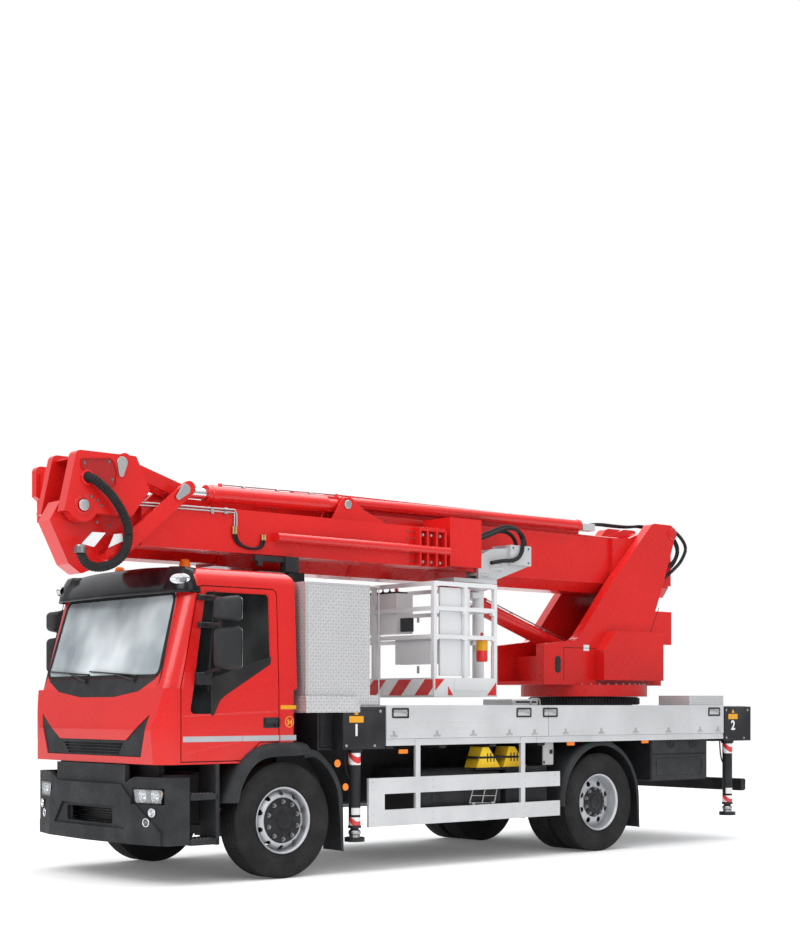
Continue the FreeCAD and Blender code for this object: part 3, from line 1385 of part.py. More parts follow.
# Outriggers
gap = S.outrigger_wall + S.outrigger_gap
for end_name, box, leg_x, cap in (
    ("front", (S.front_box_rear, S.front_box_front), S.leg_x_front, (S.front_cap_rear, S.front_cap_front)),
    ("rear", (S.rear_box_rear, S.rear_box_front), S.leg_x_rear, (S.rear_box_rear, S.rear_box_front)),
):
    beam = block("outrigger_beam", (box[0] + gap, box[1] - gap), (S.outrigger_gap, housing_half + S.outrigger_gap),
                 (sub_top + gap, S.outrigger_top - gap))
    end_cap = block("outrigger_end", cap, (housing_half + S.outrigger_gap, S.body_half_width - S.overrun / 2),
                    (S.outrigger_low, S.outrigger_top))
    sleeve = rod("jack_sleeve", "Z", (S.leg_low, S.outrigger_low + S.overrun), S.leg_radius, x=leg_x, y=leg_y)
    bore = rod("jack_bore", "Z", (S.leg_low - S.overrun, S.jack_top + S.overrun * 2), S.leg_bore, x=leg_x, y=leg_y)
    both(f"outrigger_{end_name}", cut("outrigger", fused("outrigger_parts", beam, end_cap, sleeve), bore))
    foot = rod("jack_foot", "Z", (S.foot_low, S.foot_low + S.foot_thick), S.foot_radius, x=leg_x, y=leg_y)
    stem = rod("jack_stem", "Z", (S.foot_low, S.jack_top), S.jack_radius, x=leg_x, y=leg_y)
    both(f"jack_{end_name}", fused("jack", foot, stem))

# Turret
turret_z = S.slew_gear_top + S.slew_gap
cheek_line = [
    (S.turret_rear, S.turret_low), (S.turret_front, S.turret_low), (S.turret_front, S.turret_box_top - S.overrun),
    (S.column_low_front, S.turret_box_top + S.overrun * 2, S.cab_corner), (S.column_mid_front, S.boom_side_low),
    (S.column_top_front, S.column_top, S.pin_boss), (S.column_top_rear, S.column_top, S.pin_boss),
    (S.column_neck_x, S.column_neck_z), (S.column_mid_rear, S.column_mid_z), (S.column_low_rear, S.turret_box_top),
    (S.turret_rear, S.turret_box_top),
]
cheeks = []
for side in (-1, 1):
    ys = sorted((S.turret_inner * side, S.turret_outer * side), key=plain)
    cheeks.append(plate_xz("turret_cheek", ys, cheek_line))
inner_y = span(ZERO, S.turret_inner)
turret = cheeks + [
    rod("turret_plate", "Z", (turret_z, S.turret_low), S.slew_band_radius, x=S.slew_x),
    block("turret_floor", (S.turret_rear, S.turret_front), inner_y, (S.turret_low, S.turret_low + S.turret_wall)),
    block("turret_nose", (S.column_low_front, S.turret_plate_front), inner_y, (S.turret_low, S.nose_top)),
    plate_xz("turret_back", inner_y, band([(S.column_low_rear, S.turret_low), (S.column_low_rear, S.turret_box_top),
                                           (S.turret_back_x, S.turret_back_z)], S.turret_wall)),
    block("turret_control", (S.control_rear, S.column_low_rear - S.turret_wall), (-S.turret_outer, S.turret_outer), (S.rear_box_low, S.rear_box_top)),
]
for side in (-1, 1):
    ys = sorted((S.turret_outer * side, S.side_box_out * side), key=plain)
    turret.append(plate_xz("turret_cover", ys, [
        (S.side_box_rear, S.side_box_low), (S.side_box_front, S.side_box_low), (S.side_box_front, S.side_box_top - S.side_box_bevel * 2),
        (S.side_box_front - S.side_box_bevel * 2, S.side_box_top), (S.side_box_rear, S.side_box_top),
    ]))
boom_bore = rod("boom_pin_bore", "Y", span(ZERO, S.side_box_out), S.boom_pin_radius + S.pin_clearance,
                x=S.boom_pin_x, z=S.boom_pin_z)
lift_pin = rod("lift_base_pin", "Y", span(ZERO, S.turret_inner + S.overrun), S.lift_pin_radius, x=S.lift_base_x, z=S.lift_base_z)
node("turret", fused("turret_whole", cut("turret", fused("turret_parts", *turret), boom_bore), lift_pin))

# Lift cylinder
base = (S.lift_base_x, S.lift_base_z)
top = (S.lift_eye_x, S.lift_eye_z)
barrel = bar("lift_tube", base, top, S.lift_barrel_radius, ZERO, skip=S.lift_eye_radius / 2, length=S.lift_barrel_length)
foot = rod("lift_foot", "Y", span(ZERO, S.lift_eye_half * 2), S.lift_eye_radius + S.overrun, x=S.lift_base_x, z=S.lift_base_z)
hollow = bar("lift_hollow", base, top, S.lift_rod_radius + S.seat_gap, ZERO, skip=S.lift_eye_radius + S.overrun * 2,
             length=S.lift_barrel_length)
pin_bore = rod("lift_foot_bore", "Y", span(ZERO, S.turret_inner), S.lift_pin_radius + S.pin_clearance,
               x=S.lift_base_x, z=S.lift_base_z)
node("lift_barrel", cut("lift_barrel", fused("lift_barrel_parts", barrel, foot), hollow, pin_bore))
inside_rod = bar("lift_stem", base, top, S.lift_rod_radius, ZERO, skip=S.lift_eye_radius + S.overrun * 3)
eye_disc = rod("lift_eye", "Y", span(ZERO, S.lift_eye_half), S.lift_eye_radius, x=S.lift_eye_x, z=S.lift_eye_z)
node("lift_rod", fused("lift_rod", inside_rod, eye_disc))


# Boom
def boom_outline(by):
    return inward([
        (-S.boom_half, S.boom_top, S.overrun * 2), (-S.boom_half, S.boom_side_low), (-S.boom_keel_half, S.boom_low),
        (S.boom_keel_half, S.boom_low), (S.boom_half, S.boom_side_low), (S.boom_half, S.boom_top, S.overrun * 2),
    ], by)


def boom_section(name, step, x):
    outer_by = (S.boom_wall + S.boom_nest_gap) * step
    shell = plate_yz(name + "_tube", x, boom_outline(outer_by))
    space = plate_yz(name + "_space", (x[0] - S.overrun, x[1] + S.overrun), boom_outline(outer_by + S.boom_wall))
    return cut(name, shell, space)


base_tube = boom_section("boom_base", 0, (S.boom_rear, S.boom_front))
base_parts = [base_tube]
cheek = [
    (S.boom_rear, S.boom_side_low + S.overrun), (S.ear_front, S.boom_side_low + S.overrun), (S.ear_front, S.boom_top - S.overrun),
    (S.ear_front - S.ear_half_length * 2, S.boom_top), (S.boom_pin_x + S.pin_boss, S.boom_pin_z + S.pin_boss, S.pin_boss / 2),
    (S.boom_rear, S.boom_pin_z + S.pin_boss, S.pin_boss / 2),
]
for side in (-1, 1):
    ys = sorted((S.boom_half * side, (S.turret_inner - S.cheek_play) * side), key=plain)
    base_parts.append(plate_xz("boom_cheek", ys, cheek))
    ys = sorted(((S.lift_eye_half + S.lift_ear_gap) * side, (S.lift_eye_half + S.lift_ear_gap + S.lift_ear) * side), key=plain)
    base_parts.append(plate_xz("lift_ear", ys, [
        (S.lift_eye_x - S.lift_ear_length, S.boom_low), (S.lift_eye_x + S.lift_ear_length, S.boom_low),
        (S.lift_eye_x + S.lift_eye_radius, S.lift_eye_z - S.lift_eye_radius, S.lift_eye_radius / 2),
        (S.lift_eye_x - S.lift_eye_radius, S.lift_eye_z - S.lift_eye_radius, S.lift_eye_radius / 2),
    ]))
base_parts.append(rod("boom_pin", "Y", span(ZERO, S.turret_outer + S.pin_cap), S.boom_pin_radius, x=S.boom_pin_x, z=S.boom_pin_z))
base_parts.append(block("boom_duct", (S.duct_rear, S.duct_front), span(ZERO, S.duct_half), (S.boom_top, S.boom_top + S.duct_height)))
node("boom_base", fused("boom_base_whole", *base_parts))
node("boom_middle", boom_section("boom_middle", 1, (S.middle_rear, S.middle_front)))
head_tube = boom_section("head_tube", 2, (S.head_section_rear, S.head_tube_rear + S.overrun * 10))
head_line = [
    (S.head_rear, S.head_low), (S.head_front + S.overrun * 6, S.head_low), (S.head_front, S.head_top, S.pin_boss / 2),
    (S.head_rear - S.overrun * 2, S.head_top, S.overrun), (S.head_tube_rear - S.overrun * 3, S.head_low + S.overrun * 12),
]
plates = []
for ys in ((S.head_near_in, S.head_near_out), (S.head_mid_in, S.head_mid_out)):
    plates.append(plate_xz("head_plate", ys, head_line))
plates.append(plate_xz("head_far_plate", (S.head_far, S.head_far + S.head_mid_out - S.head_mid_in), [
    (S.head_rear - S.overrun * 2, S.head_far_low_z), (S.head_far_low_x, S.head_far_low_z), (S.head_far_front, S.head_far_front_z),
    (S.head_far_front, S.head_top, S.pin_boss / 2), (S.head_rear - S.overrun * 2, S.head_top, S.overrun),
]))
cross = block("head_cross", (S.head_tube_rear, S.head_tube_front), (S.head_far + S.overrun, S.head_mid_in + S.overrun),
              (S.head_low + S.overrun, S.head_top - S.overrun * 3))
roof = block("head_roof", (S.link_pin_x + S.link_end * 2, S.head_front - S.overrun), (S.head_mid_in, S.head_near_out),
             (S.head_top - S.overrun * 3, S.head_top - S.overrun * 2))
jib_pin = rod("jib_pin", "Y", (S.head_mid_in, S.head_near_out + S.pin_cap), S.jib_pin_radius, x=S.jib_pin_x, z=S.jib_pin_z)
boss = [rod("jib_boss", "Y", ys, S.jib_boss, x=S.jib_pin_x, z=S.jib_pin_z)
        for ys in ((S.head_near_in, S.head_near_out), (S.head_mid_in, S.head_mid_out))]
boss += [rod("link_boss", "Y", ys, S.link_end, x=S.link_pin_x, z=S.link_pin_z)
         for ys in ((S.head_near_in, S.head_near_out), (S.head_mid_in, S.head_mid_out))]
node("boom_head", fused("boom_head_whole", head_tube, cross, roof, jib_pin, *plates, *boss))


# Jib
def jib_outline(by):
    return inward([
        (S.jib_far, S.jib_low), (S.jib_near, S.jib_low), (S.jib_near, S.jib_top), (S.jib_far, S.jib_top),
    ], by)


jib_tube = cut("jib_tube", plate_yz("jib_box", (S.jib_rear, S.jib_box_front), jib_outline(ZERO)),
               plate_yz("jib_space", (S.jib_rear - S.overrun, S.jib_box_front - S.jib_wall), jib_outline(S.jib_wall)))
collar_y = (S.jib_far - S.jib_collar_out, S.jib_near + S.jib_collar_out)
collar_x = (S.jib_rear - S.jib_collar, S.jib_rear)
collar = cut("jib_collar", block("collar_box", collar_x, collar_y, (S.jib_low + S.overrun, S.jib_top + S.jib_collar_out * 2)),
             plate_yz("collar_space", (collar_x[0] - S.overrun, collar_x[1] + S.overrun), jib_outline(S.jib_wall)))
base_y = (S.jib_far, S.jib_base_near)
jib_base = plate_xz("jib_base", base_y, [
    (S.jib_box_front, S.jib_low), (S.jib_base_heel, S.lever_pin_z - S.lever_boss / 2), (S.jib_base_toe, S.jib_base_low, S.overrun * 2),
    (S.jib_base_knee, S.jib_base_knee_z, S.overrun), (S.jib_base_front, S.jib_base_lip), (S.jib_pin_x + S.jib_boss, S.jib_pin_z + S.overrun * 2),
    (S.jib_pin_x, S.jib_top, S.overrun * 2), (S.jib_box_front, S.jib_top),
])
jib_bores = [
    rod("jib_pin_bore", "Y", span((base_y[0] + base_y[1]) / 2, S.jib_near), S.jib_pin_radius + S.pin_clearance,
        x=S.jib_pin_x, z=S.jib_pin_z),
    rod("lever_pin_bore", "Y", span((base_y[0] + base_y[1]) / 2, S.jib_near), S.lever_pin_radius + S.pin_clearance,
        x=S.lever_pin_x, z=S.lever_pin_z),
]
lever_boss = rod("lever_boss", "Y", base_y, S.lever_boss, x=S.lever_pin_x, z=S.lever_pin_z)
bracket_pin = rod("bracket_pin", "Y", (S.link_far, S.link_near + S.link_thick), S.knee_pin_radius, x=S.bracket_x, z=S.bracket_z)
mid_y = (S.link_far + S.link_thick + S.link_near) / 2
bracket = [bracket_pin]
for side in (-1, 1):
    ys = sorted((mid_y + (S.jib_eye_half + S.cheek_gap) * side, mid_y + (S.jib_eye_half + S.cheek_gap + S.bracket_thick) * side),
                key=plain)
    bracket.append(plate_xz("jib_bracket", ys, [
        (S.bracket_x - S.bracket_length, S.jib_top), (S.bracket_x + S.bracket_length / 2, S.jib_top),
        (S.bracket_x + S.jib_eye_radius, S.bracket_z + S.jib_eye_radius, S.jib_eye_radius / 2),
        (S.bracket_x - S.jib_eye_radius, S.bracket_z + S.jib_eye_radius, S.jib_eye_radius / 2),
    ]))
side_cylinder = [
    rod("side_cylinder", "X", (S.side_cylinder_rear, S.side_cylinder_front), S.side_cylinder_radius, y=S.side_cylinder_out,
        z=S.side_cylinder_z),
    block("side_cylinder_foot", (S.side_cylinder_front - S.jib_collar / 4, S.side_cylinder_front), (S.jib_near, S.side_cylinder_out),
          span(S.side_cylinder_z, S.side_cylinder_radius)),
]
node("jib", fused("jib", jib_tube, collar, cut("jib_base_bored", fused("jib_base_parts", jib_base, lever_boss), *jib_bores),
                  *bracket, *side_cylinder))

# Jib linkage
lever_line = lozenge((S.lever_pin_x, S.lever_pin_z), (S.knee_x, S.knee_z), S.lever_end, S.link_end)
lever_y = (S.lever_near, S.lever_near + S.lever_thick)
lever_far_y = (S.lever_far, S.lever_far + S.lever_far_thick)
link_y = ((S.link_near, S.link_near + S.link_thick), (S.link_far, S.link_far + S.link_thick))
lever = [
    plate_xz("lever_near", lever_y, lever_line),
    plate_xz("lever_far", lever_far_y, lever_line),
    rod("lever_pin", "Y", (lever_far_y[0], lever_y[1] + S.pin_cap), S.lever_pin_radius, x=S.lever_pin_x, z=S.lever_pin_z),
    rod("knee_near", "Y", (link_y[0][0], lever_y[1] + S.pin_cap), S.knee_pin_radius, x=S.knee_x, z=S.knee_z),
    rod("knee_far", "Y", (lever_far_y[0], link_y[1][1]), S.knee_pin_radius, x=S.knee_x, z=S.knee_z),
]
node("jib_lever", fused("jib_lever", *lever))
link_line = lozenge((S.link_pin_x, S.link_pin_z), (S.knee_x, S.knee_z), S.link_end, S.link_end)
link_bore = rod("link_bore", "Y", span(mid_y, S.jib_near), S.knee_pin_radius + S.pin_clearance, x=S.knee_x, z=S.knee_z)
link_middle = ((S.link_pin_x + S.link_pin_x + S.knee_x) / 3, (S.link_pin_z + S.link_pin_z + S.knee_z) / 3)
link_tie = rod("link_tie", "Y", (link_y[1][1], link_y[0][0]), S.link_half / 2, x=link_middle[0], z=link_middle[1])
node("jib_link", cut("jib_link", fused("jib_links", plate_xz("link_near", link_y[0], link_line),
                                       plate_xz("link_far", link_y[1], link_line), link_tie), link_bore))
start = (S.bracket_x, S.bracket_z)
knee = (S.knee_x, S.knee_z)
barrel = bar("jib_cylinder_tube", start, knee, S.jib_barrel_radius, mid_y, skip=S.jib_eye_radius / 2, length=S.jib_barrel_length)
foot = rod("jib_cylinder_foot", "Y", span(mid_y, S.jib_eye_half), S.jib_eye_radius, x=S.bracket_x, z=S.bracket_z)
hollow = bar("jib_cylinder_hollow", start, knee, S.jib_rod_radius + S.seat_gap, mid_y, skip=S.jib_eye_radius + S.overrun * 2,
             length=S.jib_barrel_length)
clear = [block("jib_cylinder_flat", span(S.bracket_x, S.jib_eye_radius * 3),
               sorted((mid_y + S.jib_eye_half * side, mid_y + S.jib_near * side), key=plain),
               span(S.bracket_z, S.jib_eye_radius * 2)) for side in (-1, 1)]
pin_bore = rod("jib_cylinder_bore", "Y", span(mid_y, S.jib_near), S.knee_pin_radius + S.pin_clearance, x=S.bracket_x, z=S.bracket_z)
node("jib_barrel", cut("jib_barrel", fused("jib_barrel_parts", barrel, foot), hollow, pin_bore, *clear))
stem = bar("jib_rod_stem", start, knee, S.jib_rod_radius, mid_y, skip=S.jib_eye_radius + S.overrun * 3)
eye_disc = rod("jib_rod_eye", "Y", span(mid_y, S.jib_eye_half), S.jib_eye_radius, x=S.knee_x, z=S.knee_z)
node("jib_rod", fused("jib_rod", stem, eye_disc))

# Jib extension, rotator and basket
nest = S.jib_wall + S.jib_nest_gap
jib_mid_y = (S.jib_far + S.jib_near) / 2
extension = cut("extension_tube", plate_yz("extension_box", (S.extension_rear, S.extension_front), jib_outline(nest)),
                plate_yz("extension_space", (S.extension_rear - S.overrun, S.extension_front + S.overrun), jib_outline(nest + S.jib_wall)))
lug = plate_xz("level_lug", span(jib_mid_y, S.lug_half), [
    (S.level_x - S.lug_radius, S.level_z - S.lug_radius, S.lug_radius - S.overrun / 10), (S.extension_rear + S.jib_collar, S.jib_low + nest + S.jib_wall),
    (S.extension_rear + S.jib_collar, S.jib_top - nest - S.jib_wall), (S.extension_rear, S.jib_top - nest - S.jib_wall),
    (S.level_x - S.lug_radius, S.level_z + S.lug_radius, S.lug_radius - S.overrun / 10),
])
level_bore = rod("level_bore", "Y", span(jib_mid_y, S.lug_half * 2), S.level_pin_radius + S.pin_clearance, x=S.level_x, z=S.level_z)
plug = block("extension_plug", (S.extension_rear, S.extension_rear + S.jib_collar), (S.jib_far + nest, S.jib_near - nest),
             span((S.jib_low + S.jib_top) / 2, S.lug_half))
node("jib_extension", cut("jib_extension", fused("extension_parts", extension, lug, plug), level_bore))
bracket_parts = [
    rod("level_pin", "Y", span(jib_mid_y, S.lug_half + S.cheek_gap + S.cheek_thick), S.level_pin_radius, x=S.level_x, z=S.level_z),
    plate_xy("rotator_plate", (S.rotator_plate_z - S.rotator_plate_thick, S.rotator_plate_z), [
        (S.rotator_plate_rear, jib_mid_y - S.rotator_plate_half), (S.rotator_plate_front, jib_mid_y - S.rotator_plate_half),
        (S.rotator_plate_front, jib_mid_y + S.rotator_plate_half), (S.rotator_plate_rear, jib_mid_y + S.rotator_plate_half),
    ]),
    rod("rotator_drum", "Z", (S.rotator_low, S.rotator_plate_z), S.rotator_radius, x=S.level_x, y=jib_mid_y),
    block("rotator_box", (S.rotator_box_rear, S.rotator_box_front), span(jib_mid_y, S.rotator_plate_half),
          (S.rotator_box_low, S.rotator_box_top)),
]
for side in (-1, 1):
    ys = sorted((jib_mid_y + (S.lug_half + S.cheek_gap) * side, jib_mid_y + (S.lug_half + S.cheek_gap + S.cheek_thick) * side), key=plain)
    bracket_parts.append(plate_xz("level_cheek", ys, [
        (S.rotator_box_rear, S.rotator_box_low), (S.level_x - S.cheek_half, S.rotator_plate_z - S.overrun),
        (S.level_x + S.cheek_half, S.rotator_plate_z - S.overrun), (S.level_x + S.cheek_half, S.level_z + S.cheek_half, S.cheek_half / 2),
        (S.level_x - S.cheek_half, S.level_z + S.cheek_half * 2, S.cheek_half / 2), (S.rotator_box_rear, S.rotator_box_top),
    ]))
node("rotator", fused("rotator", *bracket_parts))

tube = S.basket_tube
basket_y = span(ZERO, S.basket_half)
basket = [block("basket_floor", (S.basket_rear, S.basket_front), basket_y, (S.basket_low, S.basket_low + S.basket_floor))]
for level in (S.basket_top - tube, S.basket_mid - tube / 2, S.basket_high_rail):
    for y in (basket_y[0], basket_y[1] - tube):
        basket.append(block("side_rail", (S.basket_rear, S.basket_front), (y, y + tube), (level, level + tube)))
    for x in (S.basket_rear, S.basket_front - tube):
        basket.append(block("end_rail", (x, x + tube), basket_y, (level, level + tube)))
for y in (basket_y[0], basket_y[1] - S.basket_sheet):
    basket.append(block("side_kick", (S.basket_rear, S.basket_front), (y, y + S.basket_sheet),
                        (S.basket_low, S.basket_low + S.basket_kick)))
for x in (S.basket_rear, S.basket_front - S.basket_sheet):
    basket.append(block("end_kick", (x, x + S.basket_sheet), basket_y, (S.basket_low, S.basket_low + S.basket_kick)))
for x in (S.basket_rear, (S.basket_rear + S.basket_front - tube) / 2, S.basket_front - tube):
    for y in (basket_y[0], ZERO - tube / 2, basket_y[1] - tube):
        if plain(y) in (plain(basket_y[0]), plain(basket_y[1] - tube)) or plain(x) != plain((S.basket_rear + S.basket_front - tube) / 2):
            basket.append(block("basket_post", (x, x + tube), (y, y + tube), (S.basket_low, S.basket_top)))
basket.append(block("basket_console", (S.basket_front - S.basket_cabinet_depth - tube, S.basket_front - tube), span(ZERO, S.basket_cabinet_half),
                    (S.basket_cabinet_low, S.basket_cabinet_top)))
basket.append(rod("basket_mast", "Z", (S.mast_low, S.rotator_low - S.rotator_gap), S.mast_half, x=S.level_x, y=jib_mid_y))
for z in (S.mast_low, S.basket_mid - S.mast_arm, S.basket_top - S.mast_arm * 2):
    basket.append(block("mast_arm", (S.level_x, S.basket_rear + tube / 2), span(jib_mid_y, S.mast_half), (z, z + S.mast_arm)))
node("basket", fused("basket", *basket))

doc.recompute()
faults = [o.Name for o in doc.Objects if "Invalid" in o.State or "Error" in o.State]
os.makedirs("parts", exist_ok=True)
for label, obj in NODES.items():
    shape = obj.Shape
    if shape.isNull() or not shape.isValid() or not shape.Solids:
        faults.append(label)
        continue
    shape.exportStep(f"parts/{label}.step")
if faults:
    raise SystemExit("faults: " + ", ".join(faults))
print(len(NODES), "sub-parts written")
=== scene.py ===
import math

import bmesh
import bpy
from mathutils import Matrix, Vector


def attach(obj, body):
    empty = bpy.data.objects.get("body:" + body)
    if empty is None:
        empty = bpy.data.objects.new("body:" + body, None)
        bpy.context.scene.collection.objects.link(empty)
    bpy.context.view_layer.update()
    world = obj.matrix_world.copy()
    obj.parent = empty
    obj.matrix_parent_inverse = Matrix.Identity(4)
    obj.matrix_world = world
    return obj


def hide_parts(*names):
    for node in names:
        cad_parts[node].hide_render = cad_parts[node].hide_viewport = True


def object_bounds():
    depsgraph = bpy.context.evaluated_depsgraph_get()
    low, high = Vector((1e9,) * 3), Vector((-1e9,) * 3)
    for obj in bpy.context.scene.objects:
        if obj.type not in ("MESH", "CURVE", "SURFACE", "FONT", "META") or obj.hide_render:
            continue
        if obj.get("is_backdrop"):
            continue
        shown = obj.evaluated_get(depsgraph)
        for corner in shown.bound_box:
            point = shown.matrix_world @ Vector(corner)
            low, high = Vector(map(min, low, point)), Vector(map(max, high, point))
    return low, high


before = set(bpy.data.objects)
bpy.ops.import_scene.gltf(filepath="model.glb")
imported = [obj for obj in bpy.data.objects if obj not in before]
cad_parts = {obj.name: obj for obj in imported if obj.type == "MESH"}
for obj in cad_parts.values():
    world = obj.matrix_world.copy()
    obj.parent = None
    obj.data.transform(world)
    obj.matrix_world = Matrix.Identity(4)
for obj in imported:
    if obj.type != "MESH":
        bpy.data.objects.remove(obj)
cadLow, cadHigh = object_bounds()
print("stage: frame loaded")


# Shader helpers: a signal is a node's output that takes part in plain arithmetic.
def addNode(tree, kind, settings=None, values=None):
    made = tree.nodes.new(kind)
    for name, value in (settings or {}).items():
        setattr(made, name, value)
    for key, value in (values or {}).items():
        if isinstance(value, Signal):
            tree.links.new(value.socket, made.inputs[key])
        else:
            made.inputs[key].default_value = value
    return made


class Signal:
    def __init__(self, tree, socket):
        self.tree = tree
        self.socket = socket

    def node(self, kind, settings=None, values=None, output=0):
        made = addNode(self.tree, kind, settings, values)
        return Signal(self.tree, made.outputs[output])

    def maths(self, operation, *operands):
        values = dict(enumerate(operands))
        return self.node("ShaderNodeMath", {"operation": operation}, values)

    def __add__(self, other):
        return self.maths("ADD", self, other)

    def __radd__(self, other):
        return self.maths("ADD", other, self)

    def __sub__(self, other):
        return self.maths("SUBTRACT", self, other)

    def __rsub__(self, other):
        return self.maths("SUBTRACT", other, self)

    def __mul__(self, other):
        return self.maths("MULTIPLY", self, other)

    def __rmul__(self, other):
        return self.maths("MULTIPLY", other, self)

    def above(self, limit):
        return self.maths("GREATER_THAN", self, limit)

    def size(self):
        return self.maths("ABSOLUTE", self)

    def ramp(self, low, high, toLow=0.0, toHigh=1.0):
        values = {"Value": self, "From Min": low, "From Max": high, "To Min": toLow, "To Max": toHigh}
        return self.node("ShaderNodeMapRange", {"clamp": True}, values)

    def mix(self, first, second):
        settings = {"data_type": "RGBA"}
        made = addNode(self.tree, "ShaderNodeMix", settings, {0: self})
        for slotIndex, value in ((6, first), (7, second)):
            if isinstance(value, Signal):
                self.tree.links.new(value.socket, made.inputs[slotIndex])
            else:
                made.inputs[slotIndex].default_value = value
        return Signal(self.tree, made.outputs[2])


def rgb(red, green, blue):
    return (red, green, blue, 1.0)


class Finish:
    # One material: its tree, its shader and its object coordinates.
    def __init__(self, name, **constants):
        self.material = bpy.data.materials.new(name)
        self.material.use_nodes = True
        self.tree = self.material.node_tree
        self.shader = self.tree.nodes["Principled BSDF"]
        coordinates = self.tree.nodes.new("ShaderNodeTexCoord")
        self.place = Signal(self.tree, coordinates.outputs["Object"])
        split = addNode(self.tree, "ShaderNodeSeparateXYZ", {}, {0: self.place})
        self.x, self.y, self.z = (Signal(self.tree, split.outputs[i]) for i in range(3))
        for key, value in constants.items():
            self.shader.inputs[key.replace("_", " ")].default_value = value

    def node(self, kind, settings=None, values=None, output=0):
        return self.place.node(kind, settings, values, output)

    def noise(self, scale, detail=3.0, roughness=0.55, stretch=None):
        where = self.place
        if stretch:
            where = self.node("ShaderNodeVectorMath", {"operation": "MULTIPLY"}, {0: where, 1: stretch})
        values = {"Vector": where, "Scale": scale, "Detail": detail, "Roughness": roughness}
        return self.node("ShaderNodeTexNoise", {}, values)

    def lead(self, key, signal):
        self.tree.links.new(signal.socket, self.shader.inputs[key])
        return self

    def bump(self, height, strength, distance):
        values = {"Strength": strength, "Distance": distance, "Height": height}
        self.lead("Normal", self.node("ShaderNodeBump", {}, values))
        return self


roadDust = (0.3, 0.26, 0.22)
rubberDust = (0.040, 0.038, 0.036)
plateGrime = (0.4, 0.39, 0.38)
stripeDirt = (0.3, 0.28, 0.26)


def paintFinish(name, colour, dark, gloss=0.28):
    # Sprayed paint: a slightly uneven coat and road dust low down.
    made = Finish(name, Coat_Roughness=0.08, Specular_IOR_Level=0.3)
    cloud = made.noise(1.1, 3.0)
    dust = made.z.ramp(1.5, 0.3) * made.noise(5.0, 5.0).ramp(0.35, 0.8)
    tone = cloud.ramp(0.3, 0.7).mix(rgb(*dark), rgb(*colour))
    made.lead("Base Color", (dust * 0.2).mix(tone, rgb(*roadDust)))
    made.lead("Roughness", made.noise(9.0, 2.0).ramp(0.3, 0.7, gloss - 0.02, gloss + 0.02) + dust * 0.2)
    made.lead("Coat Weight", (dust * -1.0).ramp(-1.0, 0.0, 0.1, 0.4))
    return made.material


def plasticFinish(name, colour, grain=900.0, rough=0.6, strength=0.35):
    # Moulded plastic with a fine leather-like grain and paler rubbed patches.
    made = Finish(name, Specular_IOR_Level=0.22)
    rubbed = made.noise(3.5, 5.0).ramp(0.45, 0.75)
    paler = tuple(min(1.0, c * 1.45 + 0.012) for c in colour)
    made.lead("Base Color", rubbed.mix(rgb(*colour), rgb(*paler)))
    made.lead("Roughness", made.noise(40.0).ramp(0.3, 0.7, rough - 0.08, rough + 0.1))
    cells = made.node(
        "ShaderNodeTexVoronoi", {"feature": "SMOOTH_F1"}, {"Vector": made.place, "Scale": grain},
    )
    made.bump(cells, strength, 0.0004)
    return made.material


def metalFinish(name, colour, rough=0.32, stretch=(1.0, 30.0, 30.0), metallic=1.0, grain=30.0):
    # Rolled or brushed metal: long fine scratches and a few dull patches.
    made = Finish(name, Metallic=metallic)
    patches = made.noise(2.2, 5.0).ramp(0.3, 0.75)
    darker = tuple(c * 0.82 for c in colour)
    made.lead("Base Color", patches.mix(rgb(*colour), rgb(*darker)))
    scratches = made.noise(grain, 4.0, 0.7, stretch)
    made.lead("Roughness", scratches.ramp(0.25, 0.75, rough - 0.08, rough + 0.14))
    made.bump(scratches, 0.12, 0.0008)
    return made.material


def rubberFinish(name, colour):
    made = Finish(name, Specular_IOR_Level=0.2)
    dusty = made.noise(5.0, 6.0).ramp(0.4, 0.8)
    made.lead("Base Color", (dusty * 0.6).mix(rgb(*colour), rgb(*rubberDust)))
    made.lead("Roughness", made.noise(60.0).ramp(0.3, 0.7, 0.68, 0.9))
    made.bump(made.noise(700.0, 2.0), 0.3, 0.0006)
    return made.material


def chequerFinish(name, colour, pitch=0.042, ribLength=0.4, ribWidth=0.13):
    # Tread plate: short raised ribs that lie across each other, in each of the three planes.
    made = Finish(name, Metallic=0.55)
    normal = addNode(made.tree, "ShaderNodeNewGeometry")
    normalSignal = Signal(made.tree, normal.outputs["Normal"])
    facing = addNode(made.tree, "ShaderNodeSeparateXYZ", {}, {0: normalSignal})
    across = [Signal(made.tree, facing.outputs[i]).size().above(0.7) for i in range(3)]
    first = (made.y * across[0]) + (made.x * across[1]) + (made.x * across[2])
    second = (made.z * across[0]) + (made.z * across[1]) + (made.y * across[2])

    def ribs(u, v, swap):
        along, side = (v, u) if swap else (u, v)
        long = (along.maths("FRACT", along) - 0.5).size()
        short = (side.maths("FRACT", side) - 0.5).size()
        rise = long * (1.0 / ribLength)
        fall = short * (1.0 / ribWidth)
        return rise.maths("POWER", rise, 2.0) + fall.maths("POWER", fall, 2.0)

    scale = 0.7071 / pitch
    u = (first + second) * scale
    v = (first - second) * scale
    one = ribs(u, v, False).ramp(1.0, 0.4)
    two = ribs(u + 0.5, v + 0.5, True).ramp(1.0, 0.4)
    height = one.maths("MAXIMUM", one, two)
    grime = made.noise(3.0, 5.0).ramp(0.35, 0.75)
    # the flats between the raised ribs are painted darker: painted shade between the ribs
    flat = tuple(c * 0.66 for c in colour)
    base = height.mix(rgb(*flat), rgb(*colour))
    made.lead("Base Color", (grime * 0.25).mix(base, rgb(*plateGrime)))
    made.lead("Roughness", height.ramp(0.0, 1.0, 0.42, 0.24) + made.noise(50.0) * 0.08)
    made.bump(height, 0.8, 0.0022)
    return made.material


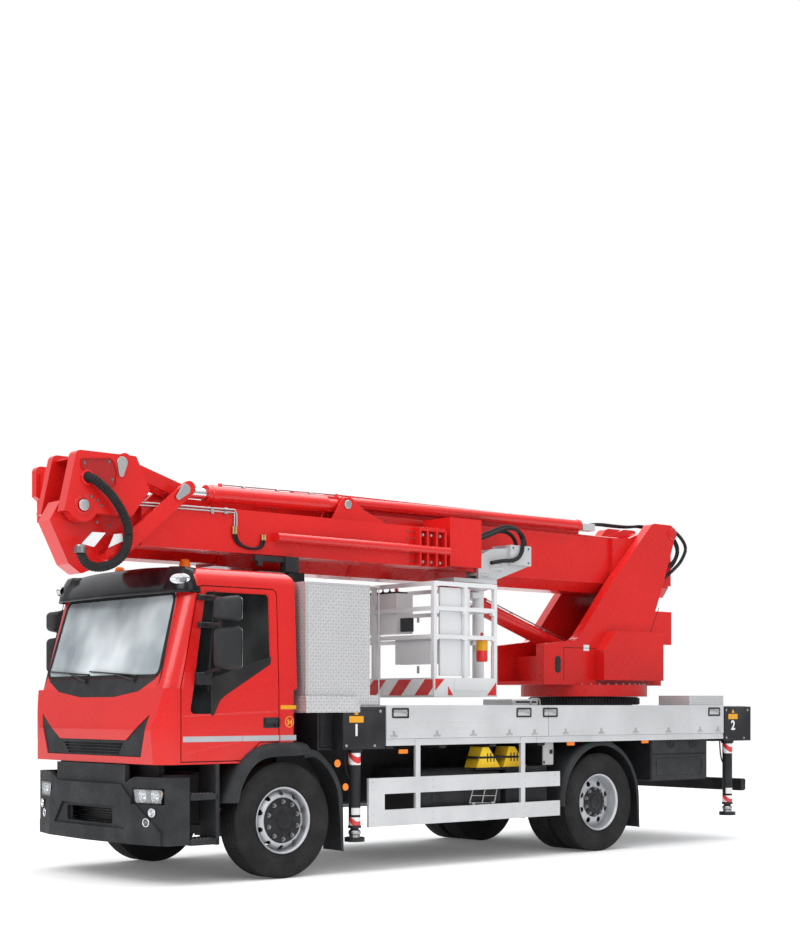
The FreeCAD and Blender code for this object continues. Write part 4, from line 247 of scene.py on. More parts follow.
def glassFinish(name, colour, alpha, rough=0.03, shine=0.3):
    # Sheet glass: see-through, with a faint uneven film of dust.
    made = Finish(name, Specular_IOR_Level=shine)
    film = made.noise(2.0, 2.0).ramp(0.35, 0.85)
    made.lead("Base Color", film.mix(rgb(*colour), rgb(*(c + 0.03 for c in colour))))
    made.lead("Roughness", film.ramp(0.0, 1.0, rough, rough + 0.06))
    made.lead("Alpha", film.ramp(0.0, 1.0, alpha, min(1.0, alpha + 0.08)))
    made.material.surface_render_method = "DITHERED"
    return made.material


def paintedSkyReflectionGlass(name):
    # The windscreen: clear glass with a painted reflection of a bright broken sky in patches, paler and less
    # see-through where the painted sky is bright.
    made = Finish(name, Specular_IOR_Level=0.6)
    paintedSkyReflection = made.noise(0.9, 3.0, 0.5).ramp(0.38, 0.64)
    made.lead("Base Color", paintedSkyReflection.mix(rgb(0.40, 0.48, 0.51), rgb(0.88, 0.95, 0.98)))
    made.lead("Roughness", paintedSkyReflection.ramp(0.0, 1.0, 0.03, 0.06))
    made.lead("Alpha", paintedSkyReflection.ramp(0.0, 1.0, 0.40, 0.70))
    made.material.surface_render_method = "DITHERED"
    return made.material


def stripeFinish(name, colours, width, slope, rough=0.35):
    # Hazard stripes at a slant, counted across the truck.
    made = Finish(name)
    phase = (made.y + made.z * slope) * (0.5 / width)
    dirt = made.noise(9.0, 5.0).ramp(0.4, 0.85) * 0.3
    band = phase.maths("FRACT", phase).above(0.5)
    stripes = band.mix(rgb(*colours[0]), rgb(*colours[1]))
    made.lead("Base Color", dirt.mix(stripes, rgb(*stripeDirt)))
    made.lead("Roughness", made.noise(30.0).ramp(0.3, 0.7, rough, rough + 0.15))
    made.bump(made.noise(300.0, 2.0), 0.05, 0.0005)
    return made.material


paintRed = (0.63, 0.013, 0.011)
paintRedDark = (0.56, 0.010, 0.009)
finishes = {
    "red": paintFinish("redPaint", paintRed, paintRedDark),
    "plastic": plasticFinish("darkPlastic", (0.020, 0.021, 0.023)),
    "visor": plasticFinish("visorPlastic", (0.006, 0.006, 0.008), 200.0, 0.14, 0.02),
    "seat": plasticFinish("cabTrim", (0.016, 0.016, 0.018), 900.0, 0.8, 0.02),
    # the windscreen's base colour and alpha carry a painted sky reflection
    "windscreen": paintedSkyReflectionGlass("windscreenPaintedReflection"),
    # the door glass is near black and nearly opaque: painted shade of the cab's dark inside seen through it
    "sideGlassPaintedShade": glassFinish("sideGlassPaintedShade", (0.002, 0.003, 0.003), 0.90, 0.03, 0.12),
    "tyre": rubberFinish("tyreRubber", (0.013, 0.013, 0.014)),
    "rim": metalFinish("wheelSilver", (0.50, 0.51, 0.53), 0.4, (6.0, 6.0, 6.0), 0.75),
    "chassis": plasticFinish("chassisBlack", (0.015, 0.015, 0.017), 160.0, 0.5, 0.15),
    "aluminium": metalFinish("railAluminium", (0.66, 0.67, 0.68), 0.42, (1.0, 40.0, 40.0), 0.6),
    "chequer": chequerFinish("treadPlate", (0.74, 0.74, 0.75)),
    "yellow": plasticFinish("chockYellow", (0.80, 0.50, 0.02), 300.0, 0.5, 0.2),
    "chrome": metalFinish("rodChrome", (0.78, 0.79, 0.8), 0.16, (1.0, 30.0, 30.0)),
    "hoseBlack": rubberFinish("hoseRubber", (0.016, 0.016, 0.017)),
    "black": plasticFinish("cylinderBlack", (0.018, 0.018, 0.02), 120.0, 0.38, 0.08),
    "rotator": paintFinish("rotatorGrey", (0.52, 0.53, 0.54), (0.44, 0.45, 0.46), 0.4),
    "white": paintFinish("basketWhite", (0.68, 0.69, 0.70), (0.62, 0.63, 0.64), 0.38),
    "steel": metalFinish("pinSteel", (0.5, 0.5, 0.5), 0.38, (8.0, 8.0, 8.0)),
    "hub": plasticFinish("hubBlack", (0.014, 0.014, 0.016), 220.0, 0.4, 0.1),
    "nut": metalFinish("nutSteel", (0.28, 0.28, 0.29), 0.3, (8.0, 8.0, 8.0)),
    "greyStripe": paintFinish("stripeGrey", (0.42, 0.43, 0.45), (0.36, 0.37, 0.39), 0.3),
    "yellowFilm": paintFinish("filmYellow", (0.75, 0.36, 0.01), (0.68, 0.31, 0.01), 0.35),
    "whiteFilm": paintFinish("filmWhite", (0.78, 0.78, 0.78), (0.70, 0.70, 0.70), 0.35),
    "cabinet": paintFinish("cabinetGrey", (0.42, 0.42, 0.41), (0.36, 0.36, 0.35), 0.4),
    "jackBand": stripeFinish("jackStripes", ((0.80, 0.80, 0.80), (0.66, 0.02, 0.02)), 0.06, 1.0),
    "brass": metalFinish("fittingBrass", (0.55, 0.40, 0.18), 0.3, (9.0, 9.0, 9.0)),
    # a darker red for the boom head's recess and port: painted shade
    "recess": paintFinish("recessPaintedShade", (0.40, 0.008, 0.008), (0.32, 0.006, 0.006), 0.4),
    "kickStripes": stripeFinish("basketStripes", ((0.85, 0.85, 0.85), (0.66, 0.02, 0.02)), 0.2, -1.0),
    "redFilm": paintFinish("filmRed", (0.66, 0.02, 0.02), (0.58, 0.015, 0.015), 0.3),
    "box": plasticFinish("toolboxBlack", (0.022, 0.023, 0.025), 500.0, 0.5, 0.2),
    "mirror": metalFinish("lampChrome", (0.62, 0.63, 0.65), 0.12, (20.0, 20.0, 20.0)),
    "clear": glassFinish("lampGlass", (0.85, 0.88, 0.9), 0.16),
    "clearLens": glassFinish("clearLens", (0.75, 0.78, 0.8), 0.9, 0.12),
    "amber": glassFinish("amberLens", (0.9, 0.22, 0.01), 0.93, 0.1),
    "redLens": glassFinish("redLens", (0.55, 0.01, 0.008), 0.95, 0.1),
}
nodeFinishes = {
    "red": [
        "cab_shell", "front_panel", "door_left", "door_right", "turret", "boom_base", "boom_middle",
        "boom_head",
        "jib", "jib_extension", "jib_lever", "jib_link", "lift_barrel", "jib_barrel",
    ],
    "plastic": ["front_bumper", "front_trim", "mudguards", "mirror_left", "mirror_right"],
    "seat": ["cab_interior"],
    "windscreen": ["windscreen"],
    "sideGlassPaintedShade": ["door_glass_left", "door_glass_right"],
    "tyre": ["tyre_front_left", "tyre_front_right", "tyre_rear_left", "tyre_rear_right"],
    "rim": ["rim_front_left", "rim_front_right", "rim_rear_left", "rim_rear_right"],
    "chassis": [
        "chassis_frame", "front_axle", "rear_axle", "engine_block", "platform_subframe", "knuckle_left",
        "knuckle_right", "side_boxes", "outrigger_front_left", "outrigger_front_right",
        "outrigger_rear_left",
        "outrigger_rear_right",
    ],
    "aluminium": ["deck", "dropside_left", "dropside_right", "side_guards"],
    "white": ["basket"],
    "chequer": ["locker"],
    "yellow": ["wheel_chocks"],
    "chrome": ["lift_rod", "jib_rod"],
    "black": ["jack_front_left", "jack_front_right", "jack_rear_left", "jack_rear_right"],
    "rotator": ["rotator"],
}


def dress(node, finish):
    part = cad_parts[node]
    part.data.materials.clear()
    part.data.materials.append(finishes[finish])


for finish, nodes in nodeFinishes.items():
    for node in nodes:
        dress(node, finish)
print("stage: materials")


frontAxle, rearAxle = 2.36, -4.185
sides = (("left", 1), ("right", -1))
toFront, toSide, upwards = (1, 0, 0), (0, 1, 0), (0, 0, 1)
mergeDistance = 0.00002
sharpAngle = math.radians(35)


# Mesh helpers. A piece is made in a bmesh, then rides on a body with one finish.
def at(x, y, z):
    # A place measured from the front axle.
    return Vector((x + frontAxle, y, z))


def placed(point):
    # A plain tuple is measured from the front axle, a Vector is in its place already.
    return at(*point) if isinstance(point, tuple) else Vector(point)


def cleaned(mesh):
    bmesh.ops.remove_doubles(mesh, verts=mesh.verts, dist=mergeDistance)
    bmesh.ops.recalc_face_normals(mesh, faces=mesh.faces)


def linked(name, data):
    made = bpy.data.objects.new(name, data)
    bpy.context.scene.collection.objects.link(made)
    return made


def asObject(name, mesh):
    data = bpy.data.meshes.new(name)
    mesh.to_mesh(data)
    mesh.free()
    return linked(name, data)


def vertsOf(items):
    return [item for item in items if isinstance(item, bmesh.types.BMVert)]


def edgesOf(verts):
    return list({edge for vert in verts for edge in vert.link_edges})


def addTwin(mesh):
    # The same again on the other side of the truck.
    made = bmesh.ops.duplicate(mesh, geom=mesh.verts[:] + mesh.edges[:] + mesh.faces[:])["geom"]
    bmesh.ops.scale(mesh, vec=(1.0, -1.0, 1.0), verts=vertsOf(made))


def finished(name, mesh, finish, bevel=0.0, body="truck", twin=False, replaced=(), flat=False):
    if twin:
        addTwin(mesh)
    cleaned(mesh)
    piece = asObject(name, mesh)
    piece.data.materials.append(finishes[finish])
    if bevel:
        rounding = piece.modifiers.new("rounding", "BEVEL")
        rounding.width = bevel
        rounding.segments = 2
        rounding.limit_method = "ANGLE"
    if not flat:
        for face in piece.data.polygons:
            face.use_smooth = True
        piece.data.set_sharp_from_angle(angle=sharpAngle)
    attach(piece, body)
    if replaced:
        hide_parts(*replaced)
    return piece


def thickened(piece, thick):
    shell = piece.modifiers.new("shell", "SOLIDIFY")
    shell.thickness = thick
    shell.offset = -1.0


def addBox(mesh, low, high):
    low, high = placed(low), placed(high)
    made = bmesh.ops.create_cube(mesh, size=1.0)["verts"]
    bmesh.ops.scale(mesh, vec=high - low, verts=made)
    bmesh.ops.translate(mesh, vec=(low + high) / 2, verts=made)
    return made


def blocks(name, finish, bevel, corners, body="truck", twin=False):
    # A piece of boxes alone, each given by two corners.
    mesh = bmesh.new()
    for low, high in corners:
        addBox(mesh, low, high)
    finished(name, mesh, finish, bevel, body=body, twin=twin)


def addRod(mesh, start, end, radius, segments=16, endRadius=None):
    start, end = placed(start), placed(end)
    turn = (end - start).to_track_quat("Z", "Y").to_matrix().to_4x4()
    bmesh.ops.create_cone(
        mesh, cap_ends=True, segments=segments, radius1=radius, radius2=endRadius or radius,
        depth=(end - start).length, matrix=Matrix.Translation((start + end) / 2) @ turn,
    )


def addRun(mesh, points, radius, segments=8):
    # Rods from each point to the next.
    for start, end in zip(points, points[1:]):
        addRod(mesh, start, end, radius, segments)


def addLathe(mesh, centre, axis, profile, segments=48):
    # profile is pairs of distance along the axis and radius.
    turn = Vector(axis).to_track_quat("Z", "Y").to_matrix().to_4x4()
    before = set(mesh.verts)
    points = [mesh.verts.new((radius, 0.0, along)) for along, radius in profile]
    edges = [mesh.edges.new(pair) for pair in zip(points, points[1:])]
    bmesh.ops.spin(
        mesh, geom=points + edges, cent=(
            0, 0, 0,
        ), axis=upwards, angle=math.tau, steps=segments, use_merge=True
    )
    made = [vert for vert in mesh.verts if vert not in before]
    bmesh.ops.transform(mesh, matrix=Matrix.Translation(placed(centre)) @ turn, verts=made)
    return made


def addOutline(mesh, points, rounding):
    # One flat face, its corners rounded.
    face = mesh.faces.new([mesh.verts.new(point) for point in points])
    if rounding:
        cut = bmesh.ops.bevel(
            mesh, geom=face.verts[
                :
            ], offset=rounding, segments=4, profile=0.5, material=-1, affect="VERTICES"
        )
        near = cut["faces"] + [f for v in cut["verts"] for f in v.link_faces]
        face = max(near, key=lambda f: f.calc_area())
    return face


def pushOut(mesh, faces, depth):
    made = bmesh.ops.extrude_face_region(mesh, geom=faces)["geom"]
    bmesh.ops.translate(mesh, vec=Vector(depth), verts=vertsOf(made))


def addPlate(mesh, points, depth, rounding=0.0):
    pushOut(mesh, [addOutline(mesh, points, rounding)], depth)


def addFrame(mesh, points, width, depth, rounding=0.0):
    # The outline's border alone, of one width.
    face = addOutline(mesh, points, rounding)
    border = bmesh.ops.inset_region(
        mesh, faces=[face], thickness=width, use_even_offset=True, use_boundary=True
    )["faces"]
    bmesh.ops.delete(mesh, geom=[face], context="FACES_ONLY")
    pushOut(mesh, border, depth)


def rect(left, low, right, high):
    return (left, low), (right, low), (right, high), (left, high)


def frontways(points, x):
    # An outline of y and z, seen from the front.
    return [at(x, y, z) for y, z in points]


def sideways(points, y):
    # An outline of x and z, seen from the side.
    return [at(x, y, z) for x, z in points]


def sidePlate(mesh, points, y, depth, rounding=0.0):
    addPlate(mesh, sideways(points, y), (0, depth, 0), rounding)


def sideFrame(mesh, points, y, width, depth, rounding=0.0):
    addFrame(mesh, sideways(points, y), width, (0, depth, 0), rounding)


def addNuts(mesh, centre, axis, ring, count, radius, height, turned=0.0):
    # Hexagon heads on round washers, evenly round a ring.
    axis = Vector(axis).normalized()
    turn = axis.to_track_quat("Z", "Y")
    for i in range(count):
        angle = math.tau * (i + turned) / count
        foot = placed(centre) + turn @ Vector((ring * math.cos(angle), ring * math.sin(angle), 0.0))
        washer, head = foot + axis * height * 0.25, foot + axis * height * 0.8
        addRod(mesh, foot, washer, radius * 1.35)
        addRod(mesh, washer, head, radius, 6)
        addRod(mesh, head, foot + axis * height, radius * 0.6, 12, radius * 0.45)


def addBolts(mesh, places, axis, radius, height):
    for place in places:
        addNuts(mesh, place, axis, 0.0, 1, radius, height)


def addSurface(mesh, across, up, shape):
    # A grid whose points are placed by two shares, along and up.
    for vert in bmesh.ops.create_grid(mesh, x_segments=across, y_segments=up, size=0.5)["verts"]:
        vert.co = shape(vert.co.x + 0.5, vert.co.y + 0.5)


def carved(mesh, cutter):
    # The first mesh less the second.
    objects = []
    for label, source in (("body", mesh), ("cutter", cutter)):
        cleaned(source)
        objects.append(asObject(label, source))
    less = objects[0].modifiers.new("less", "BOOLEAN")
    less.operation = "DIFFERENCE"
    less.solver = "EXACT"
    less.object = objects[1]
    bpy.context.view_layer.update()
    result = bmesh.new()
    result.from_mesh(objects[0].evaluated_get(bpy.context.evaluated_depsgraph_get()).data)
    for item in objects:
        bpy.data.objects.remove(item)
    return result


def smoothLine(name, points, resolution):
    curve = bpy.data.curves.new(name, "CURVE")
    curve.dimensions = "3D"
    curve.resolution_u = resolution
    line = curve.splines.new("NURBS")
    line.points.add(len(points) - 1)
    for point, place in zip(line.points, points):
        point.co = (*placed(place), 1.0)
    line.order_u = 3
    line.use_endpoint_u = True
    return curve


def pipe(name, body, points, radius, finish):
    curve = smoothLine(name, points, 6)
    curve.bevel_depth = radius
    curve.bevel_resolution = 3
    curve.use_fill_caps = True
    curve.materials.append(finishes[finish])
    piece = linked(name, curve)
    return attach(piece, body)


def flatMesh(holder):
    # A curve's or a text's own mesh, its holder taken away again.
    bpy.context.view_layer.update()
    flat = bpy.data.meshes.new_from_object(holder.evaluated_get(bpy.context.evaluated_depsgraph_get()))
    bpy.data.objects.remove(holder)
    return flat


def addText(mesh, words, foot, size, across):
    # Plain digits as flat mesh, upright, laid along one direction.
    letters = bpy.data.curves.new("letters", "FONT")
    letters.body = words
    letters.size = size
    letters.align_x = "CENTER"
    letters.extrude = 0.0008
    letters.offset = size * 0.03
    before = set(mesh.verts)
    mesh.from_mesh(flatMesh(linked("letters", letters)))
    across, up = Vector(across), Vector(upwards)
    turn = Matrix((across, up, across.cross(up))).transposed().to_4x4()
    made = [vert for vert in mesh.verts if vert not in before]
    bmesh.ops.transform(mesh, matrix=Matrix.Translation(placed(foot)) @ turn, verts=made)


def spaced(points, pitch):
    # Evenly spaced places and directions on a smooth line near the points.
    route = flatMesh(linked("route", smoothLine("route", points, 24)))
    places = [vert.co.copy() for vert in route.vertices]
    samples, spare = [], 0.0
    for start, end in zip(places, places[1:]):
        length = (end - start).length
        while spare < length:
            samples.append((start.lerp(end, spare / length), (end - start).normalized()))
            spare += pitch
        spare -= length
    return samples


def ribbedHose(name, body, points, radius, pitch):
    # A corrugated hose: a circle drawn along the line, its rings of two radii in turn.
    mesh = bmesh.new()
    ring = bmesh.ops.create_circle(mesh, cap_ends=True, segments=20, radius=radius)["verts"]
    edges = mesh.edges[:]
    lastTurn = None
    for i, (place, heading) in enumerate(spaced(points, pitch / 4)):
        if lastTurn:
            made = bmesh.ops.extrude_edge_only(mesh, edges=edges)["geom"]
            ring = vertsOf(made)
            edges = [item for item in made if isinstance(item, bmesh.types.BMEdge)]
        turn = heading.to_track_quat("Z", "Y")
        back = lastTurn.to_matrix().inverted() if lastTurn else Matrix.Identity(3)
        size = radius if i % 4 in (1, 2) else radius * 0.86
        centre = sum((vert.co for vert in ring), Vector()) / len(ring)
        for vert in ring:
            vert.co = place + turn @ ((back @ (vert.co - centre)).normalized() * size)
        lastTurn = turn
    bmesh.ops.holes_fill(mesh, edges=edges, sides=0)
    return finished(name, mesh, "hoseBlack", body=body)


# Wheels: tyre, rim, hub and nuts.
wheelPlace = {"radius": 0.522, "outer": 1.055, "inner": 0.725}
tyreShape = {
    "tread": 0.011,
    "groove": 0.0022,
    "blockShare": 0.93,
    "crownSlack": 0.003,
    "segments": 80,
    "ribs": ((-0.122, -0.083), (-0.076, -0.030), (-0.023, 0.023), (0.030, 0.076), (0.083, 0.122)),
    "side": (
        (0.100, 0.290), (0.112, 0.292), (0.120, 0.304), (0.1245, 0.318), (0.1285, 0.322), (0.1295, 0.330),
        (0.1275, 0.334), (0.133, 0.352), (0.139, 0.372), (0.1405, 0.374), (0.1405, 0.378), (0.1400, 0.380),
        (0.1445, 0.410), (0.1450, 0.430), (0.1440, 0.446), (0.1425, 0.447), (0.1425, 0.451),
        (0.1435, 0.452), (0.1410, 0.470), (0.1370, 0.486), (0.1345, 0.487), (0.1340, 0.492),
        (0.1330, 0.497), (0.1290, 0.506),
    ),
}
rimShape = {
    "lip": (
        (-0.128, 0.268), (-0.128, 0.300), (-0.118, 0.300), (-0.112, 0.289), (0.112, 0.289), (0.118, 0.300),
        (0.124, 0.302), (0.129, 0.300), (0.128, 0.293), (0.120, 0.283), (0.105, 0.277),
    ),
    "foot": ((-0.110, 0.262), (-0.128, 0.268)),
    "front": {
        "dish": (
            (0.052, 0.272), (0.064, 0.262), (0.086, 0.249), (0.102, 0.230), (0.111, 0.208), (0.112, 0.130),
            (0.100, 0.130), (0.099, 0.204), (0.090, 0.224), (0.074, 0.242), (0.050, 0.254), (0.030, 0.264),
        ),
        "holes": {"ring": 0.246, "radius": 0.024, "count": 10},
    },
    "rear": {
        "dish": (
            (0.020, 0.272), (0.024, 0.262), (0.036, 0.240), (0.046, 0.222), (0.052, 0.190), (0.056, 0.130),
            (0.044, 0.130), (0.040, 0.190), (0.034, 0.218), (0.024, 0.236), (0.010, 0.256), (0.000, 0.264),
        ),
        "holes": {"ring": 0.205, "radius": 0.029, "count": 8},
    },
}
hubShape = {
    "front": {"face": 0.112, "edge": 0.206, "rim": 0.203, "foot": 0.142, "nutRing": 0.1685},
    "rear": {"face": 0.056, "edge": 0.160, "rim": 0.156, "foot": 0.120, "nutRing": 0.142},
    "cap": (
        (0.012, 0.128), (0.020, 0.118), (0.020, 0.106), (0.017, 0.104), (0.017, 0.082), (0.028, 0.076),
        (0.030, 0.070), (0.030, 0.052), (0.024, 0.048), (0.024, 0.0),
    ),
    "drum": 0.225,
    "nuts": {"count": 10, "radius": 0.0155, "height": 0.03},
}


def tyre(name, body, axle, middles, replaced):
    mesh = bmesh.new()
    base = wheelPlace["radius"] - tyreShape["tread"]
    crown = [(along, base) for rib in tyreShape["ribs"] for along in rib]
    side = list(tyreShape["side"])
    profile = [(-along, radius) for along, radius in side] + crown + side[::-1]
    for middle in middles:
        centre = (axle, middle, wheelPlace["radius"])
        addLathe(mesh, centre, toSide, profile + profile[:1], tyreShape["segments"])
    cleaned(mesh)
    treadBlocks = []
    for face in mesh.faces:
        centre = face.calc_center_median()
        along = min((centre.y - middle for middle in middles), key=abs)
        far = math.hypot(centre.x - frontAxle - axle, centre.z - wheelPlace["radius"])
        if far > base - tyreShape["crownSlack"] and any(
            low < along < high for low, high in tyreShape["ribs"]
        ):
            treadBlocks.append(face)
    rise = tyreShape["tread"] * tyreShape["blockShare"]
    bmesh.ops.inset_individual(mesh, faces=treadBlocks, thickness=tyreShape["groove"], depth=rise)
    finished(name, mesh, "tyre", body=body, replaced=replaced)


def rim(name, body, axle, middle, outward, replaced):
    # The front dish bulges out, the rear one sits deep in its barrel.
    shape = rimShape["front" if axle == 0 else "rear"]
    holes = shape["holes"]
    profile = rimShape["lip"] + shape["dish"] + rimShape["foot"]
    mesh = bmesh.new()
    addLathe(mesh, (axle, middle, wheelPlace["radius"]), (0, outward, 0), profile, 72)
    cutter = bmesh.new()
    for i in range(holes["count"]):
        angle = math.tau * (i + 0.5) / holes["count"]
        x = axle + holes["ring"] * math.cos(angle)
        z = wheelPlace["radius"] + holes["ring"] * math.sin(angle)
        addRod(
            cutter, (x, middle - 0.02 * outward, z), (x, middle + 0.14 * outward, z), holes["radius"], 20,
        )
    finished(name, carved(mesh, cutter), "rim", body=body, replaced=replaced)


def hub(name, body, axle, middle, outward):
    # Brake drum behind the holes, hub flange and cap, with ten nuts and a valve.
    shape = hubShape["front" if axle == 0 else "rear"]
    face, wide, nutShape = shape["face"], hubShape["drum"], hubShape["nuts"]
    centre = at(axle, middle, wheelPlace["radius"])
    out = Vector((0.0, outward, 0.0))
    drum = bmesh.new()
    addLathe(
        drum, centre, out,
        [(-0.11, 0.0), (-0.11, wide), (face - 0.085, wide), (face - 0.06, 0.2), (face - 0.06, 0.0)],
    )
    flange = [(face - 0.02, 0.0), (face - 0.02, 0.126), (face + 0.001, shape["edge"])]
    flange += [(face + 0.006, shape["rim"]), (face + 0.006, shape["foot"])]
    flange += [(face + along, radius) for along, radius in hubShape["cap"]]
    addLathe(drum, centre, out, flange)
    finished(name, drum, "hub", body=body)
    nuts = bmesh.new()
    foot = centre + out * (face + 0.005)
    addNuts(
        nuts, foot, out, shape["nutRing"], nutShape["count"], nutShape["radius"], nutShape["height"], 0.5,
    )
    valve = [
        centre + Vector((x, y * outward, z)) for x, y, z in ((0.232, 0.09, 0.1), (0.236, 0.126, 0.104))
    ]
    addRod(nuts, *valve, 0.004, endRadius=0.003)
    finished(name + "Nuts", nuts, "nut", body=body)


for side, sign in sides:
    outer, inner = wheelPlace["outer"] * sign, wheelPlace["inner"] * sign
    wheel = "wheel_front_" + side
    tyre("tyreFront" + side, wheel, 0, [outer], ["tyre_front_" + side])
    rim("rimFront" + side, wheel, 0, outer, sign, ["rim_front_" + side])
    hub("hubFront" + side, wheel, 0, outer, sign)
    wheel = "wheels_rear_" + side
    tyre("tyreRear" + side, wheel, rearAxle, [outer, inner], ["tyre_rear_" + side])
    rim("rimRear" + side, wheel, rearAxle, outer, sign, ["rim_rear_" + side])
    rim("rimRearInner" + side, wheel, rearAxle, inner, -sign, [])
    hub("hubRear" + side, wheel, rearAxle, outer, sign)
print("stage: wheels")

# Lamps: headlights, fog lamps, tail lamps and beacons.
headlamp = {
    "inner": 0.714, "outer": 1.085, "low": 0.703, "high": 0.838, "slant": 0.03,
    "face": 1.283, "lean": 0.239, "depth": 0.085, "bowls": (0.808, 0.955), "middle": 0.772,
    "divider": (0.885, 0.71, 0.83),
    "indicator": ((1.022, 0.72), (1.062, 0.72), (1.068, 0.80), (1.022, 0.822)),
    "bowl": (
        (0.0, 0.012), (0.004, 0.024), (0.016, 0.038), (0.034, 0.049), (0.052, 0.055), (0.055, 0.055),
        (0.055, 0.058), (0.050, 0.058), (0.032, 0.052), (0.013, 0.041), (0.0, 0.027), (-0.003, 0.012),
        (0.0, 0.012),
    ),
}


def onLamp(y, z, back=0.0):
    # The headlamp's face leans back towards the side.
    return at(headlamp["face"] - (y - 0.72) * headlamp["lean"] - back, y, z)


def lampOutline(back=0.0, inset=0.0):
    low, high = headlamp["low"] + inset, headlamp["high"] - inset
    inner, outer = headlamp["inner"] + inset, headlamp["outer"] - inset
    slant = headlamp["slant"]
    corners = (
        (inner + slant, low), (outer - slant, low), (outer, high - slant), (outer - slant, high),
        (inner, high),
    )
    return [onLamp(y, z, back) for y, z in corners]


housing = bmesh.new()
addFrame(housing, lampOutline(), 0.010, (-headlamp["depth"], 0, 0), 0.012)
addPlate(housing, lampOutline(headlamp["depth"]), (0.006, 0, 0), 0.012)
y, low, high = headlamp["divider"]
corners = [onLamp(y, low, 0.02), onLamp(y, low, 0.02), onLamp(y, high, 0.02), onLamp(y, high, 0.02)]
for corner in corners[1:3]:
    corner.y += 0.012
addPlate(housing, corners, (-0.055, 0, 0))
finished("headlampHousings", housing, "visor", 0.002, twin=True, replaced=["lamps"])
bowls = bmesh.new()
for y in headlamp["bowls"]:
    foot = onLamp(y, headlamp["middle"], 0.074)
    addLathe(bowls, foot, (1, 0.1, 0), headlamp["bowl"], 40)
    addRod(bowls, foot, onLamp(y, headlamp["middle"], 0.040), 0.010, endRadius=0.007)
finished("headlampBowls", bowls, "mirror", twin=True)
lenses = bmesh.new()
addPlate(lenses, lampOutline(0.004, 0.009), (-0.004, 0, 0), 0.010)
finished("headlampLenses", lenses, "clear", 0.001, twin=True)
indicators = bmesh.new()
addPlate(indicators, [onLamp(y, z, 0.03) for y, z in headlamp["indicator"]], (-0.03, 0, 0), 0.006)
finished("headlampIndicators", indicators, "amber", 0.002, twin=True)

fogLamps = {"places": ((1.238, 0.962, 0.632), (1.252, 0.893, 0.545)), "radius": 0.034}
fogs, fogGlass = bmesh.new(), bmesh.new()
edge = fogLamps["radius"]
bowl = [(-0.03, 0.0), (-0.03, edge), (0.004, edge + 0.008), (0.010, edge + 0.004), (0.010, edge - 0.004)]
bowl += [(-0.012, edge * 0.5), (-0.014, 0)]
for place in fogLamps["places"]:
    outward = Vector((1.0, headlamp["lean"], 0.0)).normalized()
    addLathe(fogs, place, outward, bowl, 32)
    addLathe(
        fogGlass, place, outward,
        [(-0.002, edge - 0.002), (0.004, edge * 0.8), (0.008, edge * 0.4), (0.009, 0.0)], 32,
    )
finished("fogLamps", fogs, "mirror", twin=True)
finished("fogLampGlass", fogGlass, "clear", twin=True)

tail = {
    "back": -6.73, "outline": rect(0.865, 0.566, 1.175, 0.694), "low": 0.576, "high": 0.684,
    "lenses": (
        ("Red", "redLens", 1.055, 1.165), ("Amber", "amber", 0.962, 1.050),
        ("Clear", "clearLens", 0.875, 0.957),
    ),
}
tailHousing = bmesh.new()
addPlate(tailHousing, frontways(tail["outline"], tail["back"] + 0.012), (0.02, 0, 0), 0.012)
addFrame(tailHousing, frontways(tail["outline"], tail["back"] + 0.002), 0.008, (0.012, 0, 0), 0.012)
finished("tailLampHousings", tailHousing, "visor", 0.001, twin=True)
for name, finish, inner, outer in tail["lenses"]:
    lens = bmesh.new()
    outline = rect(inner, tail["low"], outer, tail["high"])
    addPlate(lens, frontways(outline, tail["back"] + 0.004), (0.012, 0, 0), 0.006)
    finished("tailLamps" + name, lens, finish, 0.002, twin=True)

beacon = {
    "place": (0.64, 0.56, 2.762),
    "base": ((-0.004, 0.0), (-0.004, 0.061), (0.010, 0.061), (0.014, 0.057), (0.026, 0.057), (0.027, 0.0)),
    "ribs": 7,
    "top": ((0.094, 0.043), (0.106, 0.034), (0.112, 0.018), (0.1135, 0.0)),
}
domes, bases = bmesh.new(), bmesh.new()
dome = [(0.026, 0.0), (0.026, 0.052)]
for i in range(beacon["ribs"]):
    dome += [(0.030 + i * 0.008, 0.0545 - i * 0.0011), (0.034 + i * 0.008, 0.0525 - i * 0.0011)]
addLathe(domes, beacon["place"], upwards, dome + list(beacon["top"]), 40)
addLathe(bases, beacon["place"], upwards, beacon["base"], 40)
finished("beaconDomes", domes, "amber", twin=True)
finished("beaconBases", bases, "black", twin=True)
print("stage: lamps")

# Front of the cab: windscreen seal, wipers and grille mesh.
cabShape = {"screen": 1.208, "screenLean": 0.2835, "side": 1.15, "sideLean": 0.0425, "belt": 1.70}
screen = {
    "corners": ((-0.994, 1.79), (0.994, 1.79), (0.946, 2.55), (-0.946, 2.55)),
    "seal": 0.034, "rounding": 0.09,
}
wiperBlades = (
    ((-0.934, 1.872), (-0.191, 1.833), (-0.218, 1.772)), ((-0.191, 1.862), (0.636, 1.818), (0.611, 1.780)),
)
grille = {
    "x": 1.249, "low": 1.124, "high": 1.222, "halfLow": 0.44, "halfHigh": 0.52,
    "pitch": 0.034, "wire": 0.0022, "rows": 5, "rowPitch": 0.0225,
    "back": ((-0.46, 1.11), (0.46, 1.11), (0.54, 1.235), (-0.54, 1.235)),
}


def onScreen(y, z, proud=0.0):
    # A place on the windscreen's plane.
    return at(cabShape["screen"] - (z - cabShape["belt"]) * cabShape["screenLean"] + proud, y, z)


def onSide(x, z, proud, sign):
    # A place on the cab's side, upright to the belt and leaning in above it.
    lean = max(0.0, z - cabShape["belt"]) * cabShape["sideLean"]
    return at(x, (cabShape["side"] - lean + proud) * sign, z)


